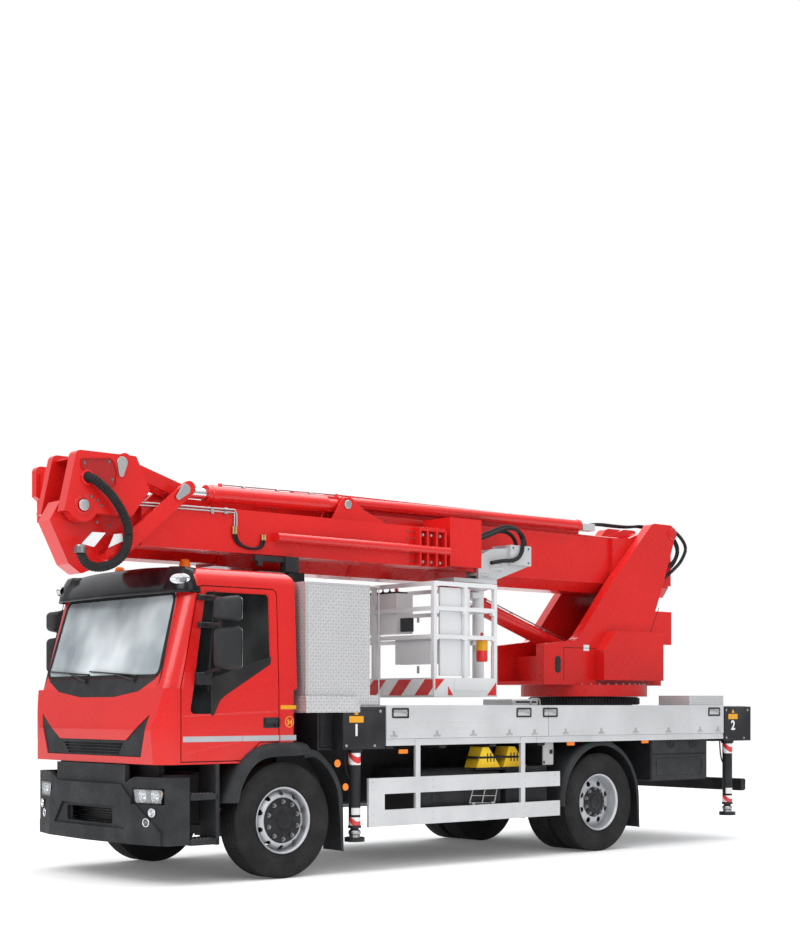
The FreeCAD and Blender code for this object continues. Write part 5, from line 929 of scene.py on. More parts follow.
seal = bmesh.new()
addFrame(
    seal, [onScreen(y, z, -0.004) for y, z in screen["corners"]], screen["seal"], (0.009, 0, 0.0025),
    screen["rounding"],
)
finished("windscreenSeal", seal, "hoseBlack", 0.002)
wipers = bmesh.new()
for far, near, foot in wiperBlades:
    first, last, hinge = onScreen(*far, 0.016), onScreen(*near, 0.016), onScreen(*foot, 0.012)
    back, fore = Vector((-0.010, 0, -0.004)), Vector((0.004, 0, 0))
    middle = first.lerp(last, 0.5) + Vector((0.012, 0, 0.002))
    addRod(wipers, first, last, 0.007, 8)
    addRod(wipers, first + back, last + back, 0.004, 6)
    addRod(wipers, first.lerp(last, 0.15) + fore, middle, 0.005, 8)
    addRod(wipers, last.lerp(first, 0.15) + fore, middle, 0.005, 8)
    addRod(wipers, hinge + Vector((0.01, 0, 0)), middle, 0.011, 10, 0.006)
    addRod(wipers, hinge - Vector((0.02, 0, 0)), hinge + Vector((0.022, 0, 0)), 0.02, endRadius=0.015)
finished("wipers", wipers, "black")
mesh = bmesh.new()
for i in range(-32, 33):
    for slope in (-1, 1):
        foot = i * grille["pitch"]
        top = foot + slope * (grille["high"] - grille["low"]) * 0.6
        if abs(foot) < grille["halfLow"] and abs(top) < grille["halfHigh"]:
            addRod(
                mesh, (grille["x"], foot, grille["low"]), (grille["x"], top, grille["high"]),
                grille["wire"], 6,
            )
for i in range(grille["rows"]):
    x, z, half = grille["x"] - 0.003, grille["low"] + i * grille["rowPitch"], grille["halfLow"]
    addRod(mesh, (x, -half, z), (x, half, z), 0.0025, 6)
addPlate(mesh, frontways(grille["back"], grille["x"] - 0.02), (-0.002, 0, 0))
finished("grilleMesh", mesh, "black")
print("stage: cab front")

# Roof visor: a bowed, glossy shell with rounded ends and a lamp in each.
visor = {
    "half": 1.122, "front": 1.118, "back": 0.845, "low": 2.532, "high": 2.784, "corner": 0.30, "bow": 0.045,
    "flatTo": 0.72, "cornerTo": 0.92, "thick": 0.012, "mounts": (-0.9, -0.3, 0.3, 0.9),
}
visorLamp = {
    "place": (1.000, 1.035, 2.648), "out": (0.62, 0.78, 0.12), "oval": (1.35, 0.72, 1.0),
    "bowl": (
        (-0.02, 0.0), (-0.02, 0.06), (0.012, 0.066), (0.018, 0.06), (0.014, 0.052), (0.002, 0.03),
        (0.0, 0.0),
    ),
    "glass": ((0.010, 0.052), (0.018, 0.042), (0.022, 0.02), (0.023, 0.0)),
}


def visorPoint(along, up):
    # Plan: a bowed front, a rounded corner and a straight end.
    share = abs(along * 2.0 - 1.0)
    sign = 1.0 if along > 0.5 else -1.0
    flatTo, cornerTo, corner = visor["flatTo"], visor["cornerTo"], visor["corner"]
    front = visor["front"] - visor["bow"]
    if share < flatTo:
        y = (visor["half"] - corner) * share / flatTo
        x = front + visor["bow"] * (1.0 - (share / flatTo) ** 2)
        out = Vector((1.0, 0.0, 0.0))
    elif share < cornerTo:
        angle = (share - flatTo) / (cornerTo - flatTo) * math.pi / 2.0
        y = visor["half"] - corner + corner * math.sin(angle)
        x = front - corner * 0.5 * (1.0 - math.cos(angle))
        out = Vector((math.cos(angle), sign * math.sin(angle), 0.0))
    else:
        y, x = visor["half"], front - corner * 0.5
        x += (visor["back"] - x) * (share - cornerTo) / (1.0 - cornerTo)
        out = Vector((0.0, sign, 0.0))
    rise = up * (visor["high"] - visor["low"]) * (1.0 - 0.22 * max(0.0, share - 0.3) ** 1.5)
    lean = (0.03 * up + 0.13 * up**2) * (1.0 if share < flatTo else 0.55)
    return at(x, y * sign, visor["low"] + rise) - out * lean


visorShell = bmesh.new()
addSurface(visorShell, 60, 8, visorPoint)
thickened(finished("roofVisor", visorShell, "visor", replaced=["roof_visor"]), visor["thick"])
mounts = bmesh.new()
for y in visor["mounts"]:
    addRod(mounts, (0.86, y, 2.70), (1.0, y, 2.66), 0.012, 10)
    addBox(mounts, (0.83, y - 0.04, 2.675), (0.9, y + 0.04, 2.705))
addSurface(mounts, 24, 1, lambda along, up: visorPoint(along, 0.03 + up * 0.04) + Vector((0.004, 0.0, 0.0)))
finished("visorMounts", mounts, "black", 0.002)
turn = Vector(visorLamp["out"]).normalized().to_track_quat("Z", "Y").to_matrix().to_4x4()
for name, finish, part in (("visorLamps", "mirror", "bowl"), ("visorLampGlass", "clear", "glass")):
    lamp = bmesh.new()
    made = addLathe(lamp, Vector(), upwards, visorLamp[part], 40)
    bmesh.ops.scale(lamp, vec=visorLamp["oval"], verts=made)
    bmesh.ops.transform(lamp, matrix=Matrix.Translation(at(*visorLamp["place"])) @ turn, verts=made)
    finished(name, lamp, finish, twin=True)

# Sides of the cab: seams, window trim, handle, stripes, creases and mirrors.
cabSeams = ((1.236, 0.972, 1.05), (1.236, 0.985, 1.50), (1.178, 1.004, 1.80), (1.004, 0.985, 2.52))
film = {"proud": 0.0012, "depth": -0.002}
doorTrim = {
    "window": (
        (0.112, 1.975), (0.112, 2.553), (0.80, 2.553), (0.985, 1.472), (0.712, 1.472), (0.712, 1.68),
        (0.636, 1.728),
    ),
    "wedge": (
        (0.104, 1.992), (0.112, 1.925), (0.160, 1.895), (0.600, 1.645), (0.660, 1.600), (0.730, 1.466),
        (0.760, 1.466), (0.760, 1.80), (0.66, 1.815), (0.42, 1.905),
    ),
    "post": ((0.70, 2.55), (0.79, 1.68)),
    "handle": rect(0.012, 1.352, 0.198, 1.446),
    "handleBack": rect(0.02, 1.36, 0.19, 1.44),
    "handleGrip": rect(0.035, 1.392, 0.176, 1.436),
    "lock": (0.055, 1.375),
    "stripes": (rect(0.024, 1.238, 0.420, 1.286), rect(0.424, 1.238, 1.045, 1.286)),
    "creases": (((1.055, 1.462), (0.035, 1.498)), ((1.055, 1.135), (0.46, 1.225))),
}
mirrors = {
    "glasses": ((1.852, 2.238), (2.262, 2.498)),
    "arms": (
        ((0.83, 1.405, 1.90), (0.83, 1.405, 2.47)), ((0.83, 1.405, 2.465), (0.80, 1.13, 2.50)),
        ((0.83, 1.405, 2.25), (0.80, 1.13, 2.25)), ((0.83, 1.405, 1.875), (0.83, 1.145, 1.83)),
    ),
    "feet": ((0.80, 2.49, 0.05), (0.80, 2.25, 0.05), (0.84, 1.785, 0.11)),
}


def cabPlate(mesh, outline, proud, depth, sign, rounding=0.0):
    addPlate(mesh, [onSide(x, z, proud, sign) for x, z in outline], (0, depth * sign, 0), rounding)


def cabFrame(mesh, outline, proud, width, depth, sign, rounding=0.0):
    addFrame(mesh, [onSide(x, z, proud, sign) for x, z in outline], width, (0, depth * sign, 0), rounding)


def roundEdges(mesh, verts, width, segments, profile):
    edges = edgesOf(verts)
    bmesh.ops.bevel(
        mesh, geom=edges, offset=width, segments=segments, profile=profile, material=-1, affect="EDGES"
    )


seams = bmesh.new()
for sign in (-1, 1):
    addRun(seams, [(x, y * sign, z) for x, y, z in cabSeams], 0.004, 6)
finished("cabSeams", seams, "hoseBlack")
for side, sign in sides:
    door = "door_" + side
    trim = bmesh.new()
    cabFrame(trim, doorTrim["window"], 0.002, 0.022, -0.012, sign)
    cabPlate(trim, doorTrim["wedge"], 0.0035, -0.004, sign)
    addRod(trim, *(onSide(x, z, 0.001, sign) for x, z in doorTrim["post"]), 0.009, 8)
    finished("windowTrim" + side, trim, "hoseBlack", 0.001, body=door)
    handle = bmesh.new()
    cabFrame(handle, doorTrim["handle"], 0.003, 0.012, -0.014, sign, 0.018)
    cabPlate(handle, doorTrim["handleBack"], -0.012, -0.001, sign)
    cabPlate(handle, doorTrim["handleGrip"], 0.006, -0.010, sign, 0.012)
    addRod(handle, *(onSide(*doorTrim["lock"], proud, sign) for proud in (-0.012, 0.004)), 0.010)
    finished("doorHandle" + side, handle, "black", 0.003, body=door)
    stripes = bmesh.new()
    for outline in doorTrim["stripes"]:
        cabPlate(stripes, outline, film["proud"], film["depth"], sign)
    finished("doorStripe" + side, stripes, "greyStripe", body=door)
    creases = bmesh.new()
    for crease in doorTrim["creases"]:
        addRod(creases, *(onSide(x, z, -0.009, sign) for x, z in crease), 0.0125, 12)
    finished("doorCreases" + side, creases, "red", body=door)
    glass, shell, arms = bmesh.new(), bmesh.new(), bmesh.new()
    for low, high in mirrors["glasses"]:
        block = addBox(shell, (0.715, 1.352, low), (0.905, 1.578, high))
        for vert in block:
            if vert.co.x > frontAxle + 0.84:
                vert.co.y += 0.03 if vert.co.y < 1.46 else -0.04
                vert.co.z += 0.03 if vert.co.z < (low + high) / 2 else -0.03
        roundEdges(shell, block, 0.046, 5, 0.55)
        addPlate(
            glass, frontways(rect(1.372, low + 0.02, 1.558, high - 0.02), 0.7135), (-0.003, 0, 0), 0.03,
        )
    for path in mirrors["arms"]:
        addRod(arms, *path, 0.017, 14)
    for x, z, tall in mirrors["feet"]:
        low, high = onSide(x - 0.075, z - tall / 2, 0.045, 1), onSide(x + 0.085, z + tall / 2, -0.004, 1)
        roundEdges(arms, addBox(arms, low, high), 0.016, 3, 0.6)
    for target in (glass, shell, arms):
        bmesh.ops.scale(target, vec=(1.0, sign, 1.0), verts=target.verts)
    finished("mirrorShells" + side, shell, "plastic", body=door, replaced=["mirror_" + side])
    finished("mirrorGlass" + side, glass, "mirror", 0.001, body=door)
    finished("mirrorArms" + side, arms, "black", body=door)
pillarFilms = {
    "pillarStripe": ("greyStripe", rect(-0.168, 1.238, 0.008, 1.286)),
    "pillarFlash": ("yellowFilm", rect(-0.168, 1.520, 0.006, 1.556)),
}
for name, (finish, outline) in pillarFilms.items():
    pillar = bmesh.new()
    cabPlate(pillar, outline, film["proud"], film["depth"], 1)
    finished(name, pillar, finish, twin=True)
radiator = {"slats": 11, "pitch": 0.022, "foot": 0.46, "half": 0.58}
underside = bmesh.new()
addBox(underside, (1.10, -0.60, 0.44), (1.13, 0.60, 0.72))
for i in range(radiator["slats"]):
    z = radiator["foot"] + i * radiator["pitch"]
    addBox(underside, (1.13, -radiator["half"], z), (1.142, radiator["half"], z + 0.006))
addBox(underside, (0.62, 0.46, 0.52), (1.09, 0.90, 0.95))
addBox(underside, (0.62, -0.90, 0.52), (1.09, -0.46, 0.95))
finished("cabUnderside", underside, "black", 0.004)
print("stage: cab sides")

# Deck's sides: latches, hinges and ribs on the dropsides, the rail below and the side markers.
deck = {
    "side": 1.25,
    "latches": ((-3.478, -3.262), (-3.092, -2.880), (-1.435, -1.225), (-6.155, -5.945)),
    "latchHeight": (1.432, 1.530),
    "hinges": (-1.25, -1.80, -2.28, -2.78, -3.14, -3.60, -4.15, -4.70, -5.25, -5.80, -6.12),
    "hingeHeight": 1.262,
    "boards": ((-6.218, -3.183), (-3.173, -1.162)), "ribs": (1.292, 1.345, 1.405, 1.548),
    "rails": ((-6.225, -3.18), (-3.176, -1.16)),
    "markers": ((-1.40, 1.115), (-3.72, 1.155), (-4.9, 1.16)),
    "roundMarkers": ((-0.60, 1.02, 0.036), (-0.695, 0.80, 0.034)),
}
for side, sign in sides:
    hardware, shadows, profiles = bmesh.new(), bmesh.new(), bmesh.new()
    face = deck["side"]
    foot, top = deck["latchHeight"]
    for low, high in deck["latches"]:
        sideFrame(shadows, rect(low, foot, high, top), (face + 0.005) * sign, 0.018, -0.006 * sign, 0.012)
        grip = ((low + 0.045, 1.468), (low + 0.045, 1.500), (low + 0.10, 1.508))
        grip += ((high - 0.018, 1.508), (high - 0.018, 1.484), (low + 0.10, 1.484))
        sidePlate(hardware, grip, (face + 0.010) * sign, -0.008 * sign)
        pivot = (low + high) / 2 - 0.07
        addRod(hardware, *((pivot, (face + proud) * sign, 1.484) for proud in (0.001, 0.014)), 0.011, 12)
    z = deck["hingeHeight"]
    for x in deck["hinges"]:
        addRod(hardware, *((x + reach, (face + 0.004) * sign, z) for reach in (-0.04, 0.04)), 0.008, 10)
        addBox(
            hardware, (x - 0.014, (face - 0.001) * sign, z), (x + 0.014, (face + 0.004) * sign, z + 0.05),
        )
    for board in deck["boards"]:
        for z in deck["ribs"]:
            addRod(profiles, *((x, (face - 0.0005) * sign, z) for x in board), 0.003, 8)
    finished("dropsideLatches" + side, hardware, "steel", 0.001, body="dropside_" + side)
    finished("dropsideShadows" + side, shadows, "box", body="dropside_" + side)
    finished("dropsideRibs" + side, profiles, "aluminium", body="dropside_" + side)
rail = bmesh.new()
for low, high in deck["rails"]:
    addBox(rail, (low, 1.205, 1.172), (high, 1.243, 1.236))
    addBox(rail, (low, 1.243, 1.176), (high, 1.2465, 1.200))
finished("deckRail", rail, "aluminium", 0.002, twin=True)
markers = bmesh.new()
for x, z in deck["markers"]:
    sidePlate(markers, rect(x - 0.055, z - 0.02, x + 0.055, z + 0.02), 1.20, 0.016, 0.006)
for x, z, radius in deck["roundMarkers"]:
    dome = [(0.0, 0.0), (0.0, radius), (0.006, radius), (0.012, radius * 0.7), (0.014, 0.0)]
    addLathe(markers, (x, 1.205, z), toSide, dome, 24)
finished("sideMarkers", markers, "amber", 0.002, twin=True)

# Below the deck: toolbox, cabinet, tank fittings, chock straps and dark plates of painted shade in the
# chocks' slots, the folded wire step and guard bolts.
below = {
    "side": 1.15,
    "lids": (rect(-6.025, 0.73, -5.075, 1.006), rect(-6.025, 1.020, -5.075, 1.226)),
    "lidFrame": rect(-5.95, 0.76, -5.15, 0.97),
    "locks": (-5.40, -5.795),
    "lock": ((0.0, 0.0), (0.0, 0.04), (0.006, 0.05), (0.012, 0.056), (0.012, 0.062), (0.0, 0.066)),
    "cabinet": rect(-3.512, 0.938, -3.358, 1.188), "cabinetHinges": (0.966, 1.158),
    "tankStraps": (-1.85, -2.55), "tankCap": (-2.15, 0.80), "capRidges": 12,
    "chocks": (-3.12, -2.79), "chockSlotShades": 3,
    "step": ((-2.62, 0.575), (-2.28, 0.59), (-2.33, 0.735), (-2.66, 0.72)), "stepFeet": (-2.58, -2.32),
    "guardBolts": ((-0.99, -1.75, -3.0, -3.44), (0.46, 0.53, 0.765, 0.835)),
}
face = below["side"]
toolbox = bmesh.new()
for outline in below["lids"]:
    sidePlate(toolbox, outline, face - 0.004, 0.012, 0.03)
sideFrame(toolbox, below["lidFrame"], face + 0.002, 0.012, 0.012, 0.05)
for x in below["locks"]:
    addLathe(toolbox, (x, face + 0.006, 1.135), toSide, below["lock"], 32)
    addBox(toolbox, (x - 0.012, face + 0.006, 1.10), (x + 0.012, face + 0.016, 1.17))
finished("toolboxLids", toolbox, "box", 0.003, twin=True)
cabinet = bmesh.new()
sidePlate(cabinet, below["cabinet"], face - 0.003, 0.012, 0.008)
finished("cabinetDoor", cabinet, "cabinet", 0.003, twin=True)
cabinetParts = bmesh.new()
for z in below["cabinetHinges"]:
    addRod(cabinetParts, *((-3.372, face + 0.010, z + reach) for reach in (-0.014, 0.014)), 0.009, 12)
addBox(cabinetParts, (-3.495, face + 0.008, 1.05), (-3.455, face + 0.016, 1.095))
addRod(cabinetParts, (-3.475, face + 0.01, 1.0725), (-3.475, face + 0.024, 1.0725), 0.008, 12)
finished("cabinetLock", cabinetParts, "black", 0.001, twin=True)
tank = bmesh.new()
for x in below["tankStraps"]:
    addBox(tank, (x - 0.025, face - 0.002, 0.62), (x + 0.025, face + 0.004, 0.82))
capX, capZ = below["tankCap"]
addRod(tank, (capX, face - 0.01, capZ), (capX, face + 0.035, capZ), 0.045, 28, 0.04)
for i in range(below["capRidges"]):
    angle = math.tau * i / below["capRidges"]
    x, z = capX + 0.042 * math.cos(angle), capZ + 0.042 * math.sin(angle)
    addRod(tank, (x, face + 0.005, z), (x, face + 0.034, z), 0.006, 6)
finished("tankFittings", tank, "box", 0.001, twin=True)
chocks = bmesh.new()
for low in below["chocks"]:
    for i in range(below["chockSlotShades"]):
        x = low + 0.10 + i * 0.045
        # each chock slot is a thin black plate: painted shade in the slot
        sidePlate(chocks, rect(x, 0.985, x + 0.018, 1.075), 1.1303, -0.002, 0.006)
addBox(chocks, (-3.13, 0.94, 1.02), (-2.45, 1.1335, 1.042))
addBox(chocks, (-3.16, 0.93, 0.905), (-2.42, 1.14, 0.93))
finished("chockStrapsAndSlotShades", chocks, "hoseBlack", 0.001)
step = bmesh.new()
addRun(step, [(x, 1.195, z) for x, z in below["step"] + below["step"][:1]], 0.0065)
addRod(step, (-2.45, 1.195, 0.582), (-2.495, 1.195, 0.728), 0.0065, 8)
addRod(step, (-2.64, 1.195, 0.648), (-2.305, 1.195, 0.662), 0.0045, 8)
for x in below["stepFeet"]:
    addBox(step, (x - 0.02, 1.185, 0.545), (x + 0.02, 1.215, 0.59))
finished("foldedStep", step, "steel", twin=True)
guardBolts = bmesh.new()
places = [(x, 1.2465, z) for x in below["guardBolts"][0] for z in below["guardBolts"][1]]
addBolts(guardBolts, places, toSide, 0.007, 0.006)
finished("guardBolts", guardBolts, "steel", twin=True)
print("stage: below the deck")

# Locker's edges, tread strips on the deck and the boom rest's pads.
lockerShape = {"side": 1.199, "ends": (-0.255, -1.105), "low": 1.56, "top": 2.668}
treadStrips = {"ends": ((-6.735, -6.255), (-1.145, -0.645)), "length": (-6.22, -1.17)}
locker = bmesh.new()
for sign in (-1, 1):
    y = lockerShape["side"] * sign
    for x in lockerShape["ends"]:
        addRod(locker, (x, y, lockerShape["low"]), (x, y, 2.67), 0.006, 8)
    for z in (lockerShape["low"], lockerShape["top"]):
        addRod(locker, *((x, y, z) for x in lockerShape["ends"]), 0.006, 8)
finished("lockerEdges", locker, "steel")
treads = bmesh.new()
for low, high in treadStrips["ends"]:
    for sign in (-1, 1):
        addBox(treads, (low, 0.70 * sign, 1.541), (high, 1.17 * sign, 1.546))
for sign in (1, -1):
    low, high = treadStrips["length"]
    addBox(treads, (low, 0.80 * sign, 1.2905), (high, 1.20 * sign, 1.293))
finished("treadStrips", treads, "chequer", 0.001)
rest = bmesh.new()
addBox(rest, (-0.78, -0.25, 2.842), (-0.42, -0.17, 2.85))
addBox(rest, (-0.78, 0.17, 2.842), (-0.42, 0.25, 2.85))
addBolts(rest, [(-0.6, 0.22, 2.846)], upwards, 0.01, 0.008)
finished("restPads", rest, "hoseBlack", 0.002)

# Outriggers and jacks: labels, digits, bolts, striped bands and feet.
legs = {
    "front": {"x": -0.85, "low": -1.15, "high": -0.64}, "rear": {"x": -6.42, "low": -6.74, "high": -6.25},
}
digits = {"frontleft": "1", "rearleft": "2", "rearright": "3", "frontright": "4"}
outrigger = {
    "side": 1.24, "film": 0.0012, "label": (-0.085, 1.395, 0.085, 1.455),
    "sign": ((-0.026, 1.468), (0.026, 1.468), (0.0, 1.512)),
    "digitFoot": 1.275, "digitSize": 0.15, "cover": (1.157, 1.530), "coverRim": 0.012, "jack": 1.15,
    "sticker": (0.535, 0.60), "bands": ((1.0, 1.112), (0.437, 0.512)), "tube": 0.0562,
    "collars": ((1.143, 1.118, 0.074, 0.07), (0.432, 0.411, 0.064, None)),
    "foot": (
        (0.285, 0.0), (0.285, 0.090), (0.290, 0.0945), (0.300, 0.0945), (0.304, 0.088), (0.304, 0.070),
        (0.322, 0.066), (0.330, 0.052), (0.345, 0.050), (0.356, 0.058), (0.372, 0.060), (0.388, 0.054),
        (0.396, 0.042), (0.396, 0.0),
    ),
    "hose": (
        (0.10, 1.12, 1.146), (0.10, 1.12, 1.08), (0.085, 1.12, 0.98), (0.07, 1.13, 0.90),
        (0.05, 1.14, 0.88),
    ),
}


def addBand(mesh, x, y, low, high, thick):
    # A thin sleeve round a jack's tube.
    tube = outrigger["tube"]
    profile = [(low, tube), (low, tube + thick), (high, tube + thick), (high, tube)]
    addLathe(mesh, (x, y, 0.0), upwards, profile, 36)


for end, leg in legs.items():
    for side, sign in sides:
        body, tag = "outrigger_" + end + "_" + side, end + side
        x, y, face, mark = leg["x"], outrigger["jack"] * sign, outrigger["side"], leg["high"] - 0.16
        films = bmesh.new()
        label = [(mark + reach, z) for reach, z in rect(*outrigger["label"])]
        warning = [(mark + reach, z) for reach, z in outrigger["sign"]]
        sidePlate(films, label, face * sign, outrigger["film"] * sign, 0.006)
        sidePlate(films, warning, face * sign, outrigger["film"] * sign)
        finished("outriggerLabel" + tag, films, "yellowFilm", body=body)
        digit = bmesh.new()
        place = (mark, (face + 0.0008) * sign, outrigger["digitFoot"])
        addText(digit, digits[tag], place, outrigger["digitSize"], (-sign, 0, 0))
        finished("outriggerDigit" + tag, digit, "whiteFilm", body=body, flat=True)
        bolts = bmesh.new()
        places = (
            (leg["low"] + 0.06, 1.50), (leg["low"] + 0.13, 1.175), (leg["high"] - 0.04, 1.18),
            (leg["high"] - 0.035, 1.50),
        )
        addBolts(
            bolts, [(boltX, (face - 0.001) * sign, z) for boltX, z in places], (0, sign, 0), 0.011, 0.009,
        )
        finished("outriggerBolts" + tag, bolts, "steel", body=body)
        cover = bmesh.new()
        low, high = outrigger["cover"]
        edge = outrigger["coverRim"]
        outline = rect(leg["low"] + edge, low, leg["high"] - edge, high)
        sideFrame(cover, outline, (face - 0.004) * sign, edge, 0.006 * sign, 0.03)
        for top, foot, radius, footRadius in outrigger["collars"]:
            addRod(cover, (x, y, top), (x, y, foot), radius, 32, footRadius)
        finished("outriggerCover" + tag, cover, "black", 0.002, body=body)
        bands = bmesh.new()
        for low, high in outrigger["bands"]:
            addBand(bands, x, y, low, high, 0.0014)
        finished("jackBands" + tag, bands, "jackBand", body=body)
        sticker = bmesh.new()
        addBand(sticker, x, y, *outrigger["sticker"], 0.0010)
        away = [vert for vert in sticker.verts if (vert.co.y - y) * sign < 0.01]
        bmesh.ops.delete(sticker, geom=away, context="VERTS")
        finished("jackSticker" + tag, sticker, "whiteFilm", body=body)
        foot = bmesh.new()
        addLathe(foot, (x, y, 0.0), upwards, outrigger["foot"], 40)
        addNuts(foot, (x, y, 0.303), upwards, 0.08, 6, 0.006, 0.008)
        finished("jackFoot" + tag, foot, "steel", 0.001, body="jack_" + end + "_" + side)
        path = [(x + reach, hoseY * sign, z) for reach, hoseY, z in outrigger["hose"]]
        pipe("jackHose" + tag, body, path, 0.008, "hoseBlack")
print("stage: outriggers")

# Slewing ring and turret.
slew = {
    "x": -5.23, "teeth": 110, "toothRing": 0.632, "toothMiddle": 1.603,
    "tooth": Vector((0.012, 0.011, 0.036)),
    "bearing": (
        (1.660, 0.56), (1.660, 0.655), (1.668, 0.662), (1.690, 0.662), (1.694, 0.655), (1.694, 0.56),
    ),
    "bolts": {"ring": 0.70, "count": 44, "height": 1.785},
}
turretParts = {
    "side": 0.42,
    "seams": (
        ((-6.073, 2.70), (-5.834, 2.253), (-5.677, 2.198), (-5.618, 2.132), (-5.854, 1.812)),
        ((-4.45, 2.20), (-4.45, 1.83)), ((-4.45, 2.20), (-5.30, 2.20)), ((-5.30, 2.20), (-5.42, 1.83)),
    ),
    "labels": (rect(-4.862, 2.168, -4.772, 2.236), rect(-5.05, 1.90, -4.96, 1.96)),
    "pins": ((-6.31, 3.59, 0.075), (-5.60, 1.96, 0.066)),
}
turretHoses = {
    "Outer": {
        "y": 0.34, "radius": 0.021,
        "points": (
            (-6.20, 3.60), (-6.36, 3.668), (-6.55, 3.592), (-6.675, 3.466), (-6.633, 3.357),
            (-6.509, 3.216), (-6.262, 3.07),
        ),
    },
    "Inner": {
        "y": 0.30, "radius": 0.017,
        "points": (
            (-6.22, 3.53), (-6.33, 3.55), (-6.46, 3.54), (-6.53, 3.47), (-6.55, 3.378), (-6.47, 3.26),
            (-6.24, 3.12),
        ),
    },
    "Far": {
        "y": 0.24, "radius": 0.017,
        "points": (
            (-6.20, 3.62), (-6.38, 3.66), (-6.57, 3.57), (-6.66, 3.44), (-6.60, 3.30), (-6.47, 3.18),
            (-6.24, 3.04),
        ),
    },
}
teeth = bmesh.new()
for i in range(slew["teeth"]):
    spin = Matrix.Rotation(math.tau * i / slew["teeth"], 4, "Z")
    spin = spin @ Matrix.Translation((slew["toothRing"], 0, 0))
    made = addBox(teeth, -slew["tooth"], slew["tooth"])
    place = Matrix.Translation(at(slew["x"], 0, slew["toothMiddle"]))
    bmesh.ops.transform(teeth, matrix=place @ spin, verts=made)
finished("slewTeeth", teeth, "black", 0.002)
bearing = bmesh.new()
addLathe(bearing, (slew["x"], 0, 0), upwards, slew["bearing"], 96)
finished("slewBearing", bearing, "black", body="turret")
ringBolts = bmesh.new()
bolts = slew["bolts"]
addNuts(ringBolts, (slew["x"], 0, bolts["height"]), upwards, bolts["ring"], bolts["count"], 0.012, 0.016)
finished("slewBolts", ringBolts, "nut", body="turret")
side = turretParts["side"]
seams = bmesh.new()
for sign in (-1, 1):
    for points in turretParts["seams"]:
        addRun(seams, [(x, (side - 0.001) * sign, z) for x, z in points], 0.004, 6)
finished("turretSeams", seams, "hoseBlack", body="turret")
labels = bmesh.new()
for outline in turretParts["labels"]:
    sidePlate(labels, outline, side, 0.0012)
finished("turretLabels", labels, "whiteFilm", body="turret")
pins, pinBolts = bmesh.new(), bmesh.new()
for x, z, radius in turretParts["pins"]:
    cap = [(0.0, 0.0), (0.0, radius), (0.010, radius), (0.014, radius * 0.86), (0.014, radius * 0.55)]
    cap += [(0.020, radius * 0.5), (0.020, 0.0)]
    for sign in (-1, 1):
        place = at(x, (side - 0.002) * sign, z)
        addLathe(pins, place, (0, sign, 0), cap, 36)
        addNuts(
            pinBolts, place + Vector((0, 0.012 * sign, 0)), (0, sign, 0), radius * 0.72, 3, 0.008, 0.010,
        )
finished("turretPins", pins, "red", body="turret")
finished("turretPinBolts", pinBolts, "nut", body="turret")
for name, hose in turretHoses.items():
    ribbedHose("turretHose" + name, "turret", sideways(hose["points"], hose["y"]), hose["radius"], 0.02)
print("stage: turret")

# Boom: end collars, weld beads, bolts and the hoses on its top.
boom = {
    "side": 0.25,
    "collars": ((-0.40, 0.262, 2.842, 3.522), (-0.62, 0.256, 2.848, 3.516), (-1.55, 0.256, 2.848, 3.516)),
    "welds": (2.962, 3.492), "weldEnds": (-6.0, -0.42),
    "padBolts": ((-0.50, -0.56), (3.02, 3.10, 3.38, 3.45)), "clusters": (-2.0, -3.3, -4.6),
    "hose": (
        (-4.90, 3.535), (-5.05, 3.62), (-5.27, 3.655), (-5.558, 3.650), (-5.832, 3.655), (-6.05, 3.690),
        (-6.20, 3.66),
    ),
    "hoseSides": (0.13, 0.185),
    "tube": {
        "y": 0.262, "rear": (-4.84, 3.603), "front": (-0.80, 3.575), "radius": 0.056, "capRadius": 0.062,
    },
}
boomParts = bmesh.new()
for x, y, low, high in boom["collars"]:
    outline = ((-y, low + 0.10), (-0.18, low), (0.18, low), (y, low + 0.10), (y, high), (-y, high))
    addFrame(boomParts, frontways(outline, x), 0.014, (0.018, 0, 0))
for sign in (-1, 1):
    for z in boom["welds"]:
        addRod(boomParts, *((x, 0.2505 * sign, z) for x in boom["weldEnds"]), 0.005, 8)
finished("boomCollars", boomParts, "red", 0.002, body="boom_base")
boomBolts = bmesh.new()
for sign in (-1, 1):
    side = boom["side"] * sign
    places = [(x, side, z) for x in boom["padBolts"][0] for z in boom["padBolts"][1]]
    addBolts(boomBolts, places, (0, sign, 0), 0.010, 0.010)
    for x in boom["clusters"]:
        addNuts(boomBolts, (x, side, 3.42), (0, sign, 0), 0.03, 3, 0.006, 0.008)
finished("boomBolts", boomBolts, "nut", body="boom_base")
for i, y in enumerate(boom["hoseSides"]):
    pipe("boomHose" + str(i), "boom_base", sideways(boom["hose"], y), 0.017, "hoseBlack")


# Boom head: pin caps, recess with its rim, the recess's floor and the port's bore as darker red plates of
# painted shade, bolts and the ribbed hose.
def teardrop(x, z, radius, otherX, otherZ, otherRadius):
    # The outline round two circles, seen from the side.
    slope = math.atan2(otherZ - z, otherX - x)
    points = []
    for middleX, middleZ, size, turn in (
        (x, z, radius, math.pi / 2), (otherX, otherZ, otherRadius, -math.pi / 2),
    ):
        for i in range(13):
            angle = slope + turn + math.pi * i / 12
            points.append((middleX + size * math.cos(angle), middleZ + size * math.sin(angle)))
    return points


